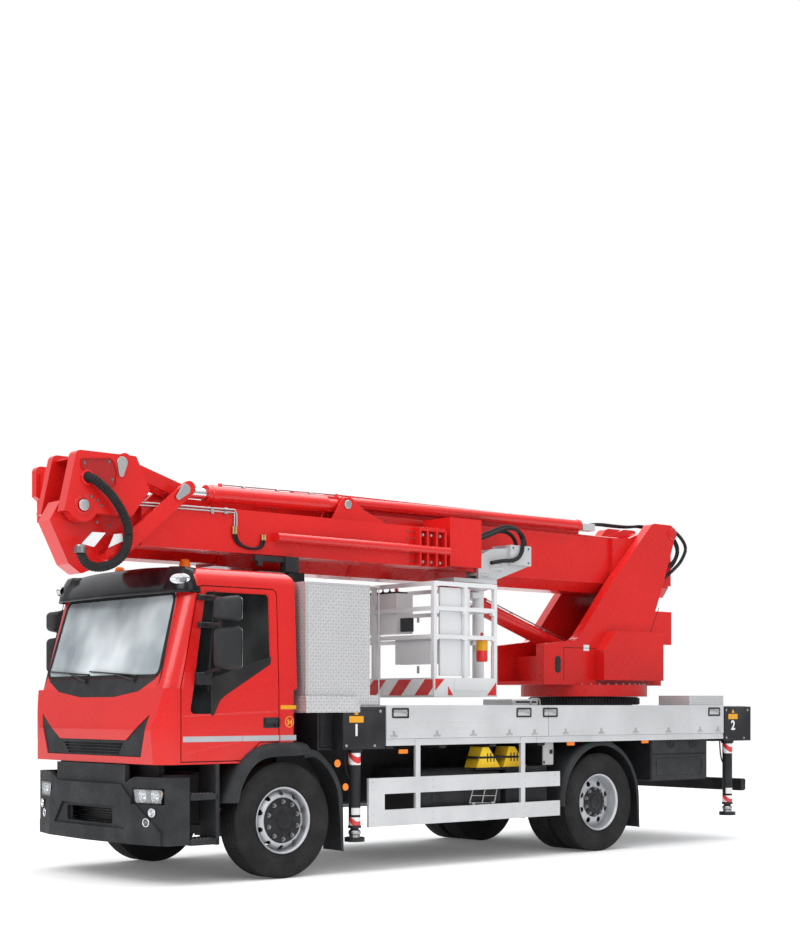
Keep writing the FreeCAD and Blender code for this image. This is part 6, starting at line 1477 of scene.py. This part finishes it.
head = {
    "side": 0.745, "pin": (1.78, 3.25), "port": (1.742, 3.487),
    "cap": (1.403, 3.645, 0.052, 1.412, 3.545, 0.026),
    "recess": (
        (1.805, 3.640), (1.523, 3.668), (1.486, 3.640), (1.458, 3.548), (1.474, 3.440), (1.523, 3.418),
        (1.621, 3.408), (1.805, 3.571),
    ),
    "bolts": (
        (1.50, 3.49), (1.56, 3.44), (1.77, 3.61), (1.53, 3.64), (1.64, 3.30), (1.70, 3.33), (1.60, 3.26),
    ),
    "hose": (
        (1.742, 0.75, 3.487), (1.735, 0.80, 3.487), (1.66, 0.85, 3.42), (1.54, 0.845, 3.325),
        (1.432, 0.845, 3.174), (1.389, 0.845, 3.033), (1.42, 0.845, 2.87), (1.55, 0.845, 2.75),
        (1.72, 0.845, 2.712), (1.835, 0.845, 2.755), (1.873, 0.86, 2.85),
    ),
    "hoseEnd": (
        (-0.02, 0.044), (-0.02, 0.050), (0.03, 0.050), (0.036, 0.040), (0.05, 0.034), (0.05, 0.0),
        (-0.02, 0.0),
    ),
    "stripe": ((1.542, 3.712), (1.466, 3.712), (1.516, 3.579), (1.591, 3.573)),
}
side = head["side"]
(pinX, pinZ), (portX, portZ) = head["pin"], head["port"]
headCaps = bmesh.new()
sidePlate(headCaps, teardrop(*head["cap"]), side + 0.001, 0.012)
addLathe(
    headCaps, (pinX, side + 0.014, pinZ), toSide,
    [(0.0, 0.0), (0.0, 0.05), (0.008, 0.05), (0.012, 0.044), (0.012, 0.0)], 32,
)
finished("headPinCaps", headCaps, "steel", 0.002, body="boom_head")
headRims = bmesh.new()
sideFrame(headRims, head["recess"], side - 0.001, 0.016, 0.016)
for radius in (0.075, 0.062):
    bead = [(0.0, radius + 0.01), (0.010, radius + 0.008), (0.010, radius - 0.006), (0.0, radius - 0.008)]
    addLathe(headRims, (pinX, side, pinZ), toSide, bead, 36)
addLathe(
    headRims, (portX, side, portZ), toSide, [(0.0, 0.066), (0.022, 0.062), (0.022, 0.046), (0.0, 0.044)],
    32,
)
finished("headRims", headRims, "red", 0.003, body="boom_head")
# the recess's floor and the port's bore are flat darker red plates: painted shade
headRecessPaintedShade = bmesh.new()
sidePlate(headRecessPaintedShade, head["recess"], side, 0.0015)
addRod(headRecessPaintedShade, (portX, side - 0.01, portZ), (portX, side + 0.012, portZ), 0.046, 24)
finished("headRecessPaintedShade", headRecessPaintedShade, "recess", body="boom_head")
headBolts = bmesh.new()
addBolts(headBolts, [(x, side, z) for x, z in head["bolts"]], toSide, 0.010, 0.012)
finished("headBolts", headBolts, "nut", body="boom_head")
ribbedHose("headHose", "boom_head", head["hose"], 0.041, 0.024)
hoseEnd = bmesh.new()
addLathe(hoseEnd, head["hose"][-1], upwards, head["hoseEnd"], 24)
finished("headHoseEnd", hoseEnd, "nut", 0.001, body="boom_head")

# Jib: reflecting stripes, hard pipes with their hoses and brass ends, bolts and the lever's pin cap.
jib = {
    "side": 0.70,
    "stripes": (
        ((1.725, 3.021), (1.596, 3.023), (1.709, 2.895), (1.829, 2.915)),
        ((1.515, 3.017), (1.438, 3.027), (1.425, 2.963), (1.572, 2.896)),
    ),
    "clamps": (1.25, 0.85, 0.45), "nuts": ((0.30, 3.30), (0.30, 3.334)),
    "hose": (
        (0.190, 3.17), (0.190, 3.104), (0.150, 3.028), (0.032, 2.992), (-0.062, 2.996), (-0.129, 3.03),
        (-0.136, 3.098),
    ),
    "fittings": ((0.190, 3.115, 3.185), (0.218, 3.115, 3.185), (-0.136, 3.08, 3.13), (-0.108, 3.08, 3.13)),
    "bolts": ((-2.30, -2.22, -1.98, -1.90), (3.00, 3.08, 3.22, 3.29)),
    "moreBolts": ((1.62, 3.12), (1.50, 3.10), (1.35, 3.02)),
    "leverCap": (0.796, 3.462, 0.048, 0.868, 3.388, 0.026),
}
side = jib["side"]
stripes = bmesh.new()
for outline in jib["stripes"]:
    sidePlate(stripes, outline, 0.8025, 0.0012)
finished("jibStripes", stripes, "whiteFilm", body="jib")
farStripe = bmesh.new()
sidePlate(farStripe, head["stripe"], -0.362, 0.003)
finished("headStripe", farStripe, "whiteFilm", body="boom_head")
jibPipes = bmesh.new()
for drop in (0.0, 0.026):
    route = [
        (1.448, 3.320 - drop), (0.331, 3.334 - drop), (0.20, 3.336 - drop), (0.178 + drop, 3.30),
        (0.178 + drop, 3.17),
    ]
    addRun(jibPipes, sideways(route, side + 0.012), 0.0075, 10)
for x in jib["clamps"]:
    addBox(jibPipes, (x - 0.015, side - 0.002, 3.282), (x + 0.015, side + 0.024, 3.338))
for x, z in jib["nuts"]:
    addRod(jibPipes, (x - 0.02, side + 0.012, z), (x + 0.02, side + 0.012, z), 0.014, 6)
finished("jibPipes", jibPipes, "steel", 0.001, body="jib")
for i, drop in enumerate((0.0, 0.028)):
    pipe(
        "jibHose" + str(i), "jib", [(x + drop, side + 0.016, z) for x, z in jib["hose"]], 0.0105,
        "hoseBlack",
    )
fittings = bmesh.new()
for x, low, high in jib["fittings"]:
    addRod(fittings, (x, side + 0.016, low), (x, side + 0.016, high), 0.015, 6, 0.013)
finished("jibFittings", fittings, "brass", body="jib")
jibBolts = bmesh.new()
places = [(x, z) for x in jib["bolts"][0] for z in jib["bolts"][1]] + list(jib["moreBolts"])
addBolts(jibBolts, [(x, side, z) for x, z in places], toSide, 0.009, 0.010)
finished("jibBolts", jibBolts, "nut", body="jib")
lever = bmesh.new()
sidePlate(lever, teardrop(*jib["leverCap"]), 0.809, 0.010)
finished("leverPinCap", lever, "steel", 0.002, body="jib_lever")

# Cylinders: gland, end cap, ports and a hard pipe along each barrel.
cylinders = {
    "liftCylinder": {
        "body": "lift_barrel", "start": (-5.60, 0.0, 1.96), "heading": (0.949275, 0, 0.314447),
        "length": 2.23, "radius": 0.088,
    },
    "jibCylinder": {
        "body": "jib_barrel", "start": (-1.21, 0.505, 3.505), "heading": (0.999882, 0, -0.015383),
        "length": 1.56, "radius": 0.082,
    },
}
for name, values in cylinders.items():
    length, radius = values["length"], values["radius"]
    heading = Vector(values["heading"]).normalized()
    start = at(*values["start"])
    down = heading.cross(Vector(toSide))
    pipeStart, pipeEnd = 0.06, length - 0.13
    trim = bmesh.new()
    gland = [(0.0, radius * 0.9), (0.0, radius + 0.008), (0.07, radius + 0.008), (0.076, radius)]
    gland += [(0.085, radius * 0.86), (0.085, radius * 0.78)]
    endCap = [(0.0, radius * 0.8), (0.004, radius + 0.006), (0.03, radius + 0.006), (0.034, radius * 0.9)]
    addLathe(trim, start + heading * (length - 0.085), heading, gland, 40)
    addLathe(trim, start + heading * 0.02, heading, endCap, 40)
    for share in (pipeStart, pipeEnd):
        foot = start + heading * share + down * (radius - 0.005)
        addRod(trim, foot, foot + down * 0.035, 0.022, endRadius=0.018)
    finished(name + "Collars", trim, "red", 0.001, body=values["body"])
    line = bmesh.new()
    aside = down * (radius + 0.022)
    addRod(line, start + heading * pipeStart + aside, start + heading * pipeEnd + aside, 0.008, 10)
    for share in (0.25, 0.5, 0.75):
        foot = start + heading * length * share + down * (radius + 0.010)
        addRod(line, foot - heading * 0.012, foot + heading * 0.012, 0.017, 8)
    addNuts(line, start + heading * (length - 0.004), heading, radius * 0.84, 10, 0.006, 0.006)
    finished(name + "Pipes", line, "steel", body=values["body"])
restBox = bmesh.new()
addBox(restBox, (-0.84, 0.262, 2.70), (-0.68, 0.40, 2.835))
addRod(restBox, (-0.76, 0.33, 2.68), (-0.76, 0.33, 2.70), 0.02, 12)
finished("restBox", restBox, "box", 0.006)

# Rotator: slew motor, bolts and hoses.
rotator = {
    "motor": (-3.01, 0.55, 2.905),
    "profile": (
        (0.0, 0.0), (0.0, 0.118), (0.022, 0.118), (0.026, 0.105), (0.10, 0.100), (0.11, 0.088),
        (0.17, 0.082), (0.19, 0.060), (0.235, 0.055), (0.245, 0.045), (0.245, 0.0),
    ),
    "bolts": ((-3.62, -3.39), (3.07, 3.22)),
    "upperHose": (
        (-2.86, 3.20), (-2.90, 3.29), (-3.056, 3.345), (-3.25, 3.42), (-3.398, 3.46), (-3.531, 3.44),
        (-3.612, 3.36), (-3.632, 3.231), (-3.615, 3.16),
    ),
    "upperSides": (0.60, 0.655, 0.545),
    "lowerHose": (
        (-3.046, 3.039), (-3.192, 3.071), (-3.389, 3.082), (-3.488, 3.147), (-3.513, 3.243), (-3.508, 3.32),
    ),
}
motor = bmesh.new()
addLathe(motor, rotator["motor"], upwards, rotator["profile"], 40)
addRod(motor, (-3.08, 0.61, 3.0), (-3.25, 0.66, 3.0), 0.040, 20, 0.036)
finished("rotatorMotor", motor, "rotator", 0.002, body="rotator")
rotatorBolts = bmesh.new()
addNuts(rotatorBolts, (-3.01, 0.55, 2.925), upwards, 0.109, 12, 0.008, 0.010)
addBolts(
    rotatorBolts, [(x, 0.69, z) for x in rotator["bolts"][0] for z in rotator["bolts"][1]], toSide, 0.009,
    0.009,
)
finished("rotatorBolts", rotatorBolts, "nut", body="rotator")
for i, y in enumerate(rotator["upperSides"]):
    path = [(x + i * 0.02, y, z - i * 0.025) for x, z in rotator["upperHose"]]
    pipe("rotatorHoseUpper" + str(i), "rotator", path, 0.021, "hoseBlack")
pipe("rotatorHoseLower", "rotator", sideways(rotator["lowerHose"], 0.712), 0.022, "hoseBlack")

# Basket: kick plate stripes, rail joints, boxes, console, joysticks, extinguisher, floor and gate.
basket = {
    "kick": rect(-0.93, 1.655, 0.93, 1.815),
    "corners": (
        ((-2.045, 1.70), (-2.045, 1.818), (-2.17, 1.818)),
        ((-2.885, 1.655), (-2.885, 1.79), (-2.755, 1.655)),
        ((-2.215, 1.655), (-2.285, 1.655), (-2.215, 1.75)),
    ),
    "joints": ((-2.86, -2.45, -2.07), (2.24, 2.50, 2.77)),
    "boxes": (
        ((-2.56, 0.88, 1.85), (-2.15, 0.905, 2.735)), ((-2.265, -0.31, 2.33), (-2.105, 0.31, 2.69)),
        ((-2.24, -0.80, 2.36), (-2.09, -0.36, 2.71)), ((-2.24, 0.30, 1.97), (-2.08, 0.84, 2.235)),
        ((-2.74, 0.9515, 1.70), (-2.30, 0.9535, 1.822)),
    ),
    "levers": (-0.22, -0.11, 0.0, 0.11, 0.22),
    "lever": (
        (0.0, 0.0), (0.0, 0.024), (0.010, 0.020), (0.018, 0.008), (0.040, 0.006), (0.044, 0.013),
        (0.058, 0.013), (0.062, 0.0),
    ),
    "stop": ((0.0, 0.0), (0.0, 0.012), (0.015, 0.012), (0.016, 0.024), (0.028, 0.022), (0.032, 0.0)),
    "extinguisherFoot": (-2.77, 0.86, 2.0),
    "extinguisher": (
        (0.0, 0.0), (0.0, 0.050), (0.010, 0.058), (0.22, 0.058), (0.245, 0.050), (0.262, 0.028),
        (0.268, 0.016), (0.30, 0.014), (0.30, 0.0),
    ),
    "band": ((0.115, 0.0575), (0.115, 0.0592), (0.215, 0.0592), (0.215, 0.0575)),
    "gateHinges": (1.90, 2.45),
}
kick = bmesh.new()
addPlate(kick, frontways(basket["kick"], -2.0288), (0.001, 0, 0))
finished("kickStripes", kick, "kickStripes", body="basket")
corners = bmesh.new()
for sign in (-1, 1):
    for points in basket["corners"]:
        sidePlate(corners, points, 0.9502 * sign, 0.0008 * sign)
finished("kickCorners", corners, "redFilm", body="basket")
fence = bmesh.new()
for sign in (-1, 1):
    for x in basket["joints"][0]:
        for z in basket["joints"][1]:
            addBox(fence, (x - 0.028, 0.905 * sign, z - 0.03), (x + 0.028, 0.9515 * sign, z + 0.018))
finished("basketRails", fence, "white", 0.003, body="basket")
blocks("basketBoxes", "white", 0.014, basket["boxes"], body="basket")
controls = bmesh.new()
addBox(controls, (-2.25, -0.30, 2.692), (-2.09, 0.30, 2.72))
for y in basket["levers"]:
    addLathe(controls, (-2.17, y, 2.72), upwards, basket["lever"], 16)
addBox(controls, (-2.105, 0.40, 2.30), (-2.06, 0.56, 2.44))
finished("basketControls", controls, "box", 0.003, body="basket")
extinguisher = bmesh.new()
addLathe(extinguisher, (-2.13, 0.26, 2.72), upwards, basket["stop"], 20)
addLathe(extinguisher, basket["extinguisherFoot"], upwards, basket["extinguisher"], 32)
finished("basketExtinguisher", extinguisher, "redFilm", body="basket")
band = bmesh.new()
addLathe(band, basket["extinguisherFoot"], upwards, basket["band"], 32)
finished("extinguisherBand", band, "yellowFilm", body="basket")
blocks("basketFloor", "chequer", 0.0, [((-2.88, -0.93, 1.665), (-2.05, 0.93, 1.668))], body="basket")
gate = bmesh.new()
for z in basket["gateHinges"]:
    addRod(gate, (-2.905, -0.28, z), (-2.905, -0.28, z + 0.08), 0.014, 14)
addBox(gate, (-2.915, 0.24, 2.30), (-2.90, 0.32, 2.38))
addRod(gate, (-2.91, 0.28, 2.34), (-2.93, 0.28, 2.34), 0.012, 14)
finished("gateHardware", gate, "steel", 0.001, body="basket")
print("stage: boom and basket")


# Arches, guards and flaps in curved moulded plastic, with the cab's steps.
def smoothed(points, rounds=3):
    for turn in range(rounds):
        cut = [points[0]]
        for (x, z), (otherX, otherZ) in zip(points, points[1:]):
            cut.append((x * 0.75 + otherX * 0.25, z * 0.75 + otherZ * 0.25))
            cut.append((x * 0.25 + otherX * 0.75, z * 0.25 + otherZ * 0.75))
        points = cut + [points[-1]]
    return points


def between(table, share):
    # The row of a table at a share of its length.
    place = min(max(share, 0.0), 1.0) * (len(table) - 1)
    low = min(int(place), len(table) - 2)
    rest = place - low
    return [a + (b - a) * rest for a, b in zip(table[low], table[low + 1])]


arches = {
    "frontArch": {
        "steps": 60, "thick": 0.012,
        "outer": (
            (0.640, 0.700), (0.600, 0.800), (0.500, 1.000), (0.345, 1.150), (0.170, 1.212), (-0.080, 1.216),
            (-0.262, 1.214), (-0.292, 1.170),
        ),
        "inner": (
            (0.515, 0.700), (0.487, 0.830), (0.396, 0.985), (0.276, 1.075), (0.130, 1.098), (-0.068, 1.100),
            (-0.235, 1.105), (-0.272, 1.112),
        ),
        "section": (
            (0.905, 0.0), (1.00, 0.0), (1.09, 0.0), (1.14, 0.02), (1.172, 0.09), (1.195, 0.24),
            (1.208, 0.48), (1.214, 0.75), (1.215, 1.0),
        ),
    },
    "frontFlap": {
        "steps": 60, "thick": 0.010,
        "outer": (
            (-0.215, 1.130), (-0.300, 1.150), (-0.380, 1.135), (-0.485, 1.050), (-0.590, 0.925),
            (-0.655, 0.780), (-0.670, 0.600), (-0.670, 0.210),
        ),
        "inner": (
            (-0.210, 1.075), (-0.285, 1.090), (-0.355, 1.075), (-0.448, 1.000), (-0.540, 0.890),
            (-0.597, 0.765), (-0.612, 0.600), (-0.640, 0.210),
        ),
        "section": (
            (0.905, 0.0), (1.00, 0.0), (1.10, 0.0), (1.17, 0.0), (1.192, 0.05), (1.206, 0.20), (1.213, 0.5),
            (1.215, 1.0),
        ),
    },
    "rearGuard": {
        "steps": 90, "thick": 0.010, "outer": [(-3.566, 0.500)], "inner": [(-3.620, 0.500)],
        "section": (
            (0.545, 0.0), (0.75, 0.0), (0.95, 0.0), (1.14, 0.0), (1.185, 0.04), (1.204, 0.18), (1.213, 0.5),
            (1.215, 1.0),
        ),
    },
}
rearOval = {"middle": 0.535, "outer": (0.622, 0.650, -4.807), "inner": (0.566, 0.594, -4.775), "end": 0.23}
for edge in ("outer", "inner"):
    wide, tall, endX = rearOval[edge]
    for i in range(19):
        angle = math.radians(2 + 178 * i / 18)
        place = (rearAxle + wide * math.cos(angle), rearOval["middle"] + tall * math.sin(angle))
        arches["rearGuard"][edge].append(place)
    arches["rearGuard"][edge].append((endX, rearOval["end"]))


def addArch(mesh, arch, sign):
    outer, inner = smoothed(arch["outer"]), smoothed(arch["inner"])

    def shape(along, across):
        x, z = between(outer, along)
        otherX, otherZ = between(inner, along)
        y, share = between(arch["section"], across)
        return at(x + (otherX - x) * share, y * sign, z + (otherZ - z) * share)

    addSurface(mesh, arch["steps"], 12, shape)


for side, sign in sides:
    for name, arch in arches.items():
        shell = bmesh.new()
        addArch(shell, arch, sign)
        replaced = ["mudguards"] if name == "frontArch" else ()
        piece = finished(name + side.capitalize(), shell, "plastic", replaced=replaced)
        thickened(piece, -arch["thick"] * sign)
stepShape = {
    "heights": (0.345, 0.735), "rods": ((-3.70, 0.86, 0.56), (-4.67, 0.86, 0.56), (-0.655, 0.80, 0.92)),
    "treads": 6,
}
steps, treads = bmesh.new(), bmesh.new()
for low in stepShape["heights"]:
    addBox(steps, (0.690, 0.905, low), (0.975, 1.165, low + 0.055))
    for i in range(stepShape["treads"]):
        x = 0.735 + i * 0.038
        addBox(treads, (x, 0.93, low + 0.053), (x + 0.015, 1.14, low + 0.059))
addBox(steps, (0.6743, 0.905, 0.340), (0.715, 1.165, 1.045))
for x, z, reach in stepShape["rods"]:
    addRod(steps, (x, 0.40, z), (x, reach, z), 0.014, 14)
finished("cabSteps", steps, "plastic", 0.008, twin=True)
finished("stepTreads", treads, "steel", 0.001, twin=True)
print("stage: arches")

# Tread-plate boxes on the deck, the tie box and its ring, and a thin dark plate of painted shade for the tie
# box's slot.
blocks("deckBoxes", "chequer", 0.004, [((-6.24, 0.78, 1.52), (-5.64, 1.235, 1.665))], twin=True)
blocks("tieBox", "aluminium", 0.012, [((-3.84, 0.16, 1.555), (-3.45, 0.62, 1.622))])
# the tie box's slot is a thin dark plate on its side: painted shade
blocks("tieSlotShade", "box", 0.0, [((-3.81, 0.619, 1.580), (-3.50, 0.6215, 1.600))])
tieRing = (
    (-3.70, 1.555), (-3.70, 1.59), (-3.69, 1.62), (-3.63, 1.625), (-3.57, 1.62), (-3.56, 1.59),
    (-3.56, 1.555),
)
pipe("tieRing", "truck", sideways(tieRing, 0.78), 0.010, "steel")

# Jib cylinder's boss plates and pins, and the ribs at the jib's end.
bosses = {
    "outline": (
        (-1.00, 3.335), (-1.125, 3.535), (-1.16, 3.575), (-1.25, 3.58), (-1.40, 3.475), (-1.74, 3.335),
    ),
    "sides": (0.585, 0.40), "thick": 0.026, "ribs": (-2.00, -2.10, -2.22, -2.34),
    "pin": ((0.0, 0.0), (0.0, 0.044), (0.010, 0.044), (0.014, 0.038), (0.014, 0.0)),
    "bolts": ((-2.05, -2.16, -2.28), (2.99, 3.10, 3.26)),
}
boss = bmesh.new()
for low in bosses["sides"]:
    sidePlate(boss, bosses["outline"], low, bosses["thick"], 0.012)
for i, x in enumerate(bosses["ribs"]):
    addBox(boss, (x - 0.011, 0.70, 2.955), (x + 0.011, 0.785, 3.335 - 0.02 * (i % 2)))
addBox(boss, (-2.34, 0.70, 3.30), (-2.00, 0.775, 3.335))
finished("jibBosses", boss, "red", 0.003, body="jib")
bossPin = bmesh.new()
addLathe(bossPin, (-1.205, 0.611, 3.508), toSide, bosses["pin"], 32)
addBolts(
    bossPin, [(x, 0.76, z) for x in bosses["bolts"][0] for z in bosses["bolts"][1]], toSide, 0.011, 0.012,
)
finished("jibBossPins", bossPin, "steel", 0.001, body="jib")

# Small fittings: the turret's slot as a dark plate of painted shade, a bracket over the locker and the cab's
# numbered sticker.
bracket = (
    ((-0.50, 0.655, 2.80), (-0.35, 0.755, 2.94)), ((-0.36, 0.68, 2.885), (-0.02, 0.73, 2.935)),
    ((-0.46, 0.68, 2.675), (-0.40, 0.73, 2.81)), ((-0.10, 0.68, 2.84), (-0.05, 0.73, 2.89)),
)
# the turret's oval slot is a flat dark plate on the side: painted shade of the hole
turretSlotShade = bmesh.new()
sidePlate(turretSlotShade, teardrop(-4.354, 2.060, 0.045, -4.354, 1.960, 0.045), 0.421, 0.002)
finished("turretSlotShade", turretSlotShade, "box", body="turret")
blocks("lockerBracket", "box", 0.004, bracket)
sticker = bmesh.new()
addText(sticker, "34", (-0.017, 1.2515, 1.383), 0.062, (-1, 0, 0))
addLathe(
    sticker, (-0.017, 1.2505, 1.408), toSide,
    [(0.0, 0.050), (0.0015, 0.050), (0.0015, 0.044), (0.0, 0.044)], 40,
)
finished("cabSticker", sticker, "yellowFilm")

# Jib cylinder's sleeve, the tubes along the boom's top, and the boxes behind the panel and beside the locker.
sleeve = bmesh.new()
addRod(sleeve, (-1.20, 0.505, 3.505), (-1.00, 0.505, 3.502), 0.066, 32, 0.070)
finished("jibCylinderSleeve", sleeve, "red", 0.003, body="jib_barrel")
tube = boom["tube"]
(rearX, rearZ), (frontX, frontZ) = tube["rear"], tube["front"]
tubes = bmesh.new()
for sign in (-1, 1):
    y = tube["y"] * sign
    addRod(tubes, (rearX, y, rearZ), (frontX, y, frontZ), tube["radius"], 32)
    for x, z in ((rearX - 0.02, rearZ), (frontX - 0.02, frontZ)):
        addRod(tubes, (x, y, z), (x + 0.04, y, z), tube["capRadius"], 32)
finished("boomTubes", tubes, "red", 0.004, body="boom_base")
tubeEnd = ((-5.08, 0.205, 3.545), (-4.885, 0.315, 3.625))
blocks("boomTubeEnds", "aluminium", 0.006, [tubeEnd], body="boom_base", twin=True)
blocks("panelGrille", "plastic", 0.006, [((1.045, -0.86, 0.93), (1.105, 0.86, 1.07))])
blocks("lockerSideBoxes", "chequer", 0.005, [((-0.843, 0.72, 1.488), (-0.215, 1.246, 1.635))], twin=True)
print("stage: small fittings")

# Camera, at the photograph's own place.
camera = {"place": (11.0393, 12.8398, 1.5581), "yaw": -130.80, "lens": 62.39, "shiftY": 0.2564}
view = bpy.data.cameras.new("camera")
view.lens = camera["lens"]
view.sensor_width = 36.0
view.shift_y = camera["shiftY"]
view.clip_end = 200.0
eye = linked("camera", view)
eye.location = camera["place"]
eye.rotation_euler = (math.radians(90), 0.0, math.radians(camera["yaw"] - 90))
bpy.context.scene.camera = eye

# Stage: pale floor, soft lights, white background for the camera alone.
floorMesh = bmesh.new()
bmesh.ops.create_grid(floorMesh, x_segments=1, y_segments=1, size=60.0)
floor = asObject("floor", floorMesh)
floorFinish = Finish("floorWhite", Roughness=0.9, Emission_Color=rgb(1.0, 1.0, 1.0), Emission_Strength=0.1)
floorFinish.lead(
    "Base Color", floorFinish.noise(0.4).ramp(0.3, 0.7).mix(rgb(0.86, 0.86, 0.86), rgb(0.88, 0.88, 0.88)),
)
floor.data.materials.append(floorFinish.material)
floor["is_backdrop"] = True

lightAim = Vector((0, 0, 1.2))
lights = {
    "key": {"place": (12.0, 3.0, 9.0), "size": 6.0, "power": 560.0},
    "side": {"place": (3.0, 13.0, 7.0), "size": 8.0, "power": 330.0},
    "top": {"place": (-1.0, 0.0, 11.0), "size": 9.0, "power": 650.0},
    "back": {"place": (-11.0, -8.0, 8.0), "size": 8.0, "power": 320.0},
}
for name, values in lights.items():
    lamp = bpy.data.lights.new(name, "AREA")
    lamp.energy = values["power"]
    lamp.size = values["size"]
    holder = linked(name, lamp)
    holder.location = values["place"]
    holder.rotation_euler = (lightAim - Vector(values["place"])).to_track_quat("-Z", "Y").to_euler()

world = bpy.data.worlds.new("world")
bpy.context.scene.world = world
world.use_nodes = True
sky = world.node_tree
backdrop = sky.nodes["Background"]
ray = addNode(sky, "ShaderNodeLightPath")
seen = Signal(sky, ray.outputs["Is Camera Ray"])
through = Signal(sky, ray.outputs["Is Transmission Ray"])
direction = addNode(sky, "ShaderNodeTexCoord")
heights = addNode(sky, "ShaderNodeSeparateXYZ", {}, {0: Signal(sky, direction.outputs["Generated"])})
height = Signal(sky, heights.outputs[2])
dome = height.ramp(0.0, 0.8).mix(rgb(0.25, 0.26, 0.27), rgb(1.28, 1.29, 1.31))
white = seen.maths("MAXIMUM", seen, through).mix(dome, rgb(1.0, 1.0, 1.0))
sky.links.new(white.socket, backdrop.inputs["Color"])
backdrop.inputs["Strength"].default_value = 1.0
bpy.context.scene.view_settings.view_transform = "Standard"
print("stage: camera and lights")

low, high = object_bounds()
sizes = {"cad": [list(cadLow), list(cadHigh)], "visual": [list(low), list(high)]}
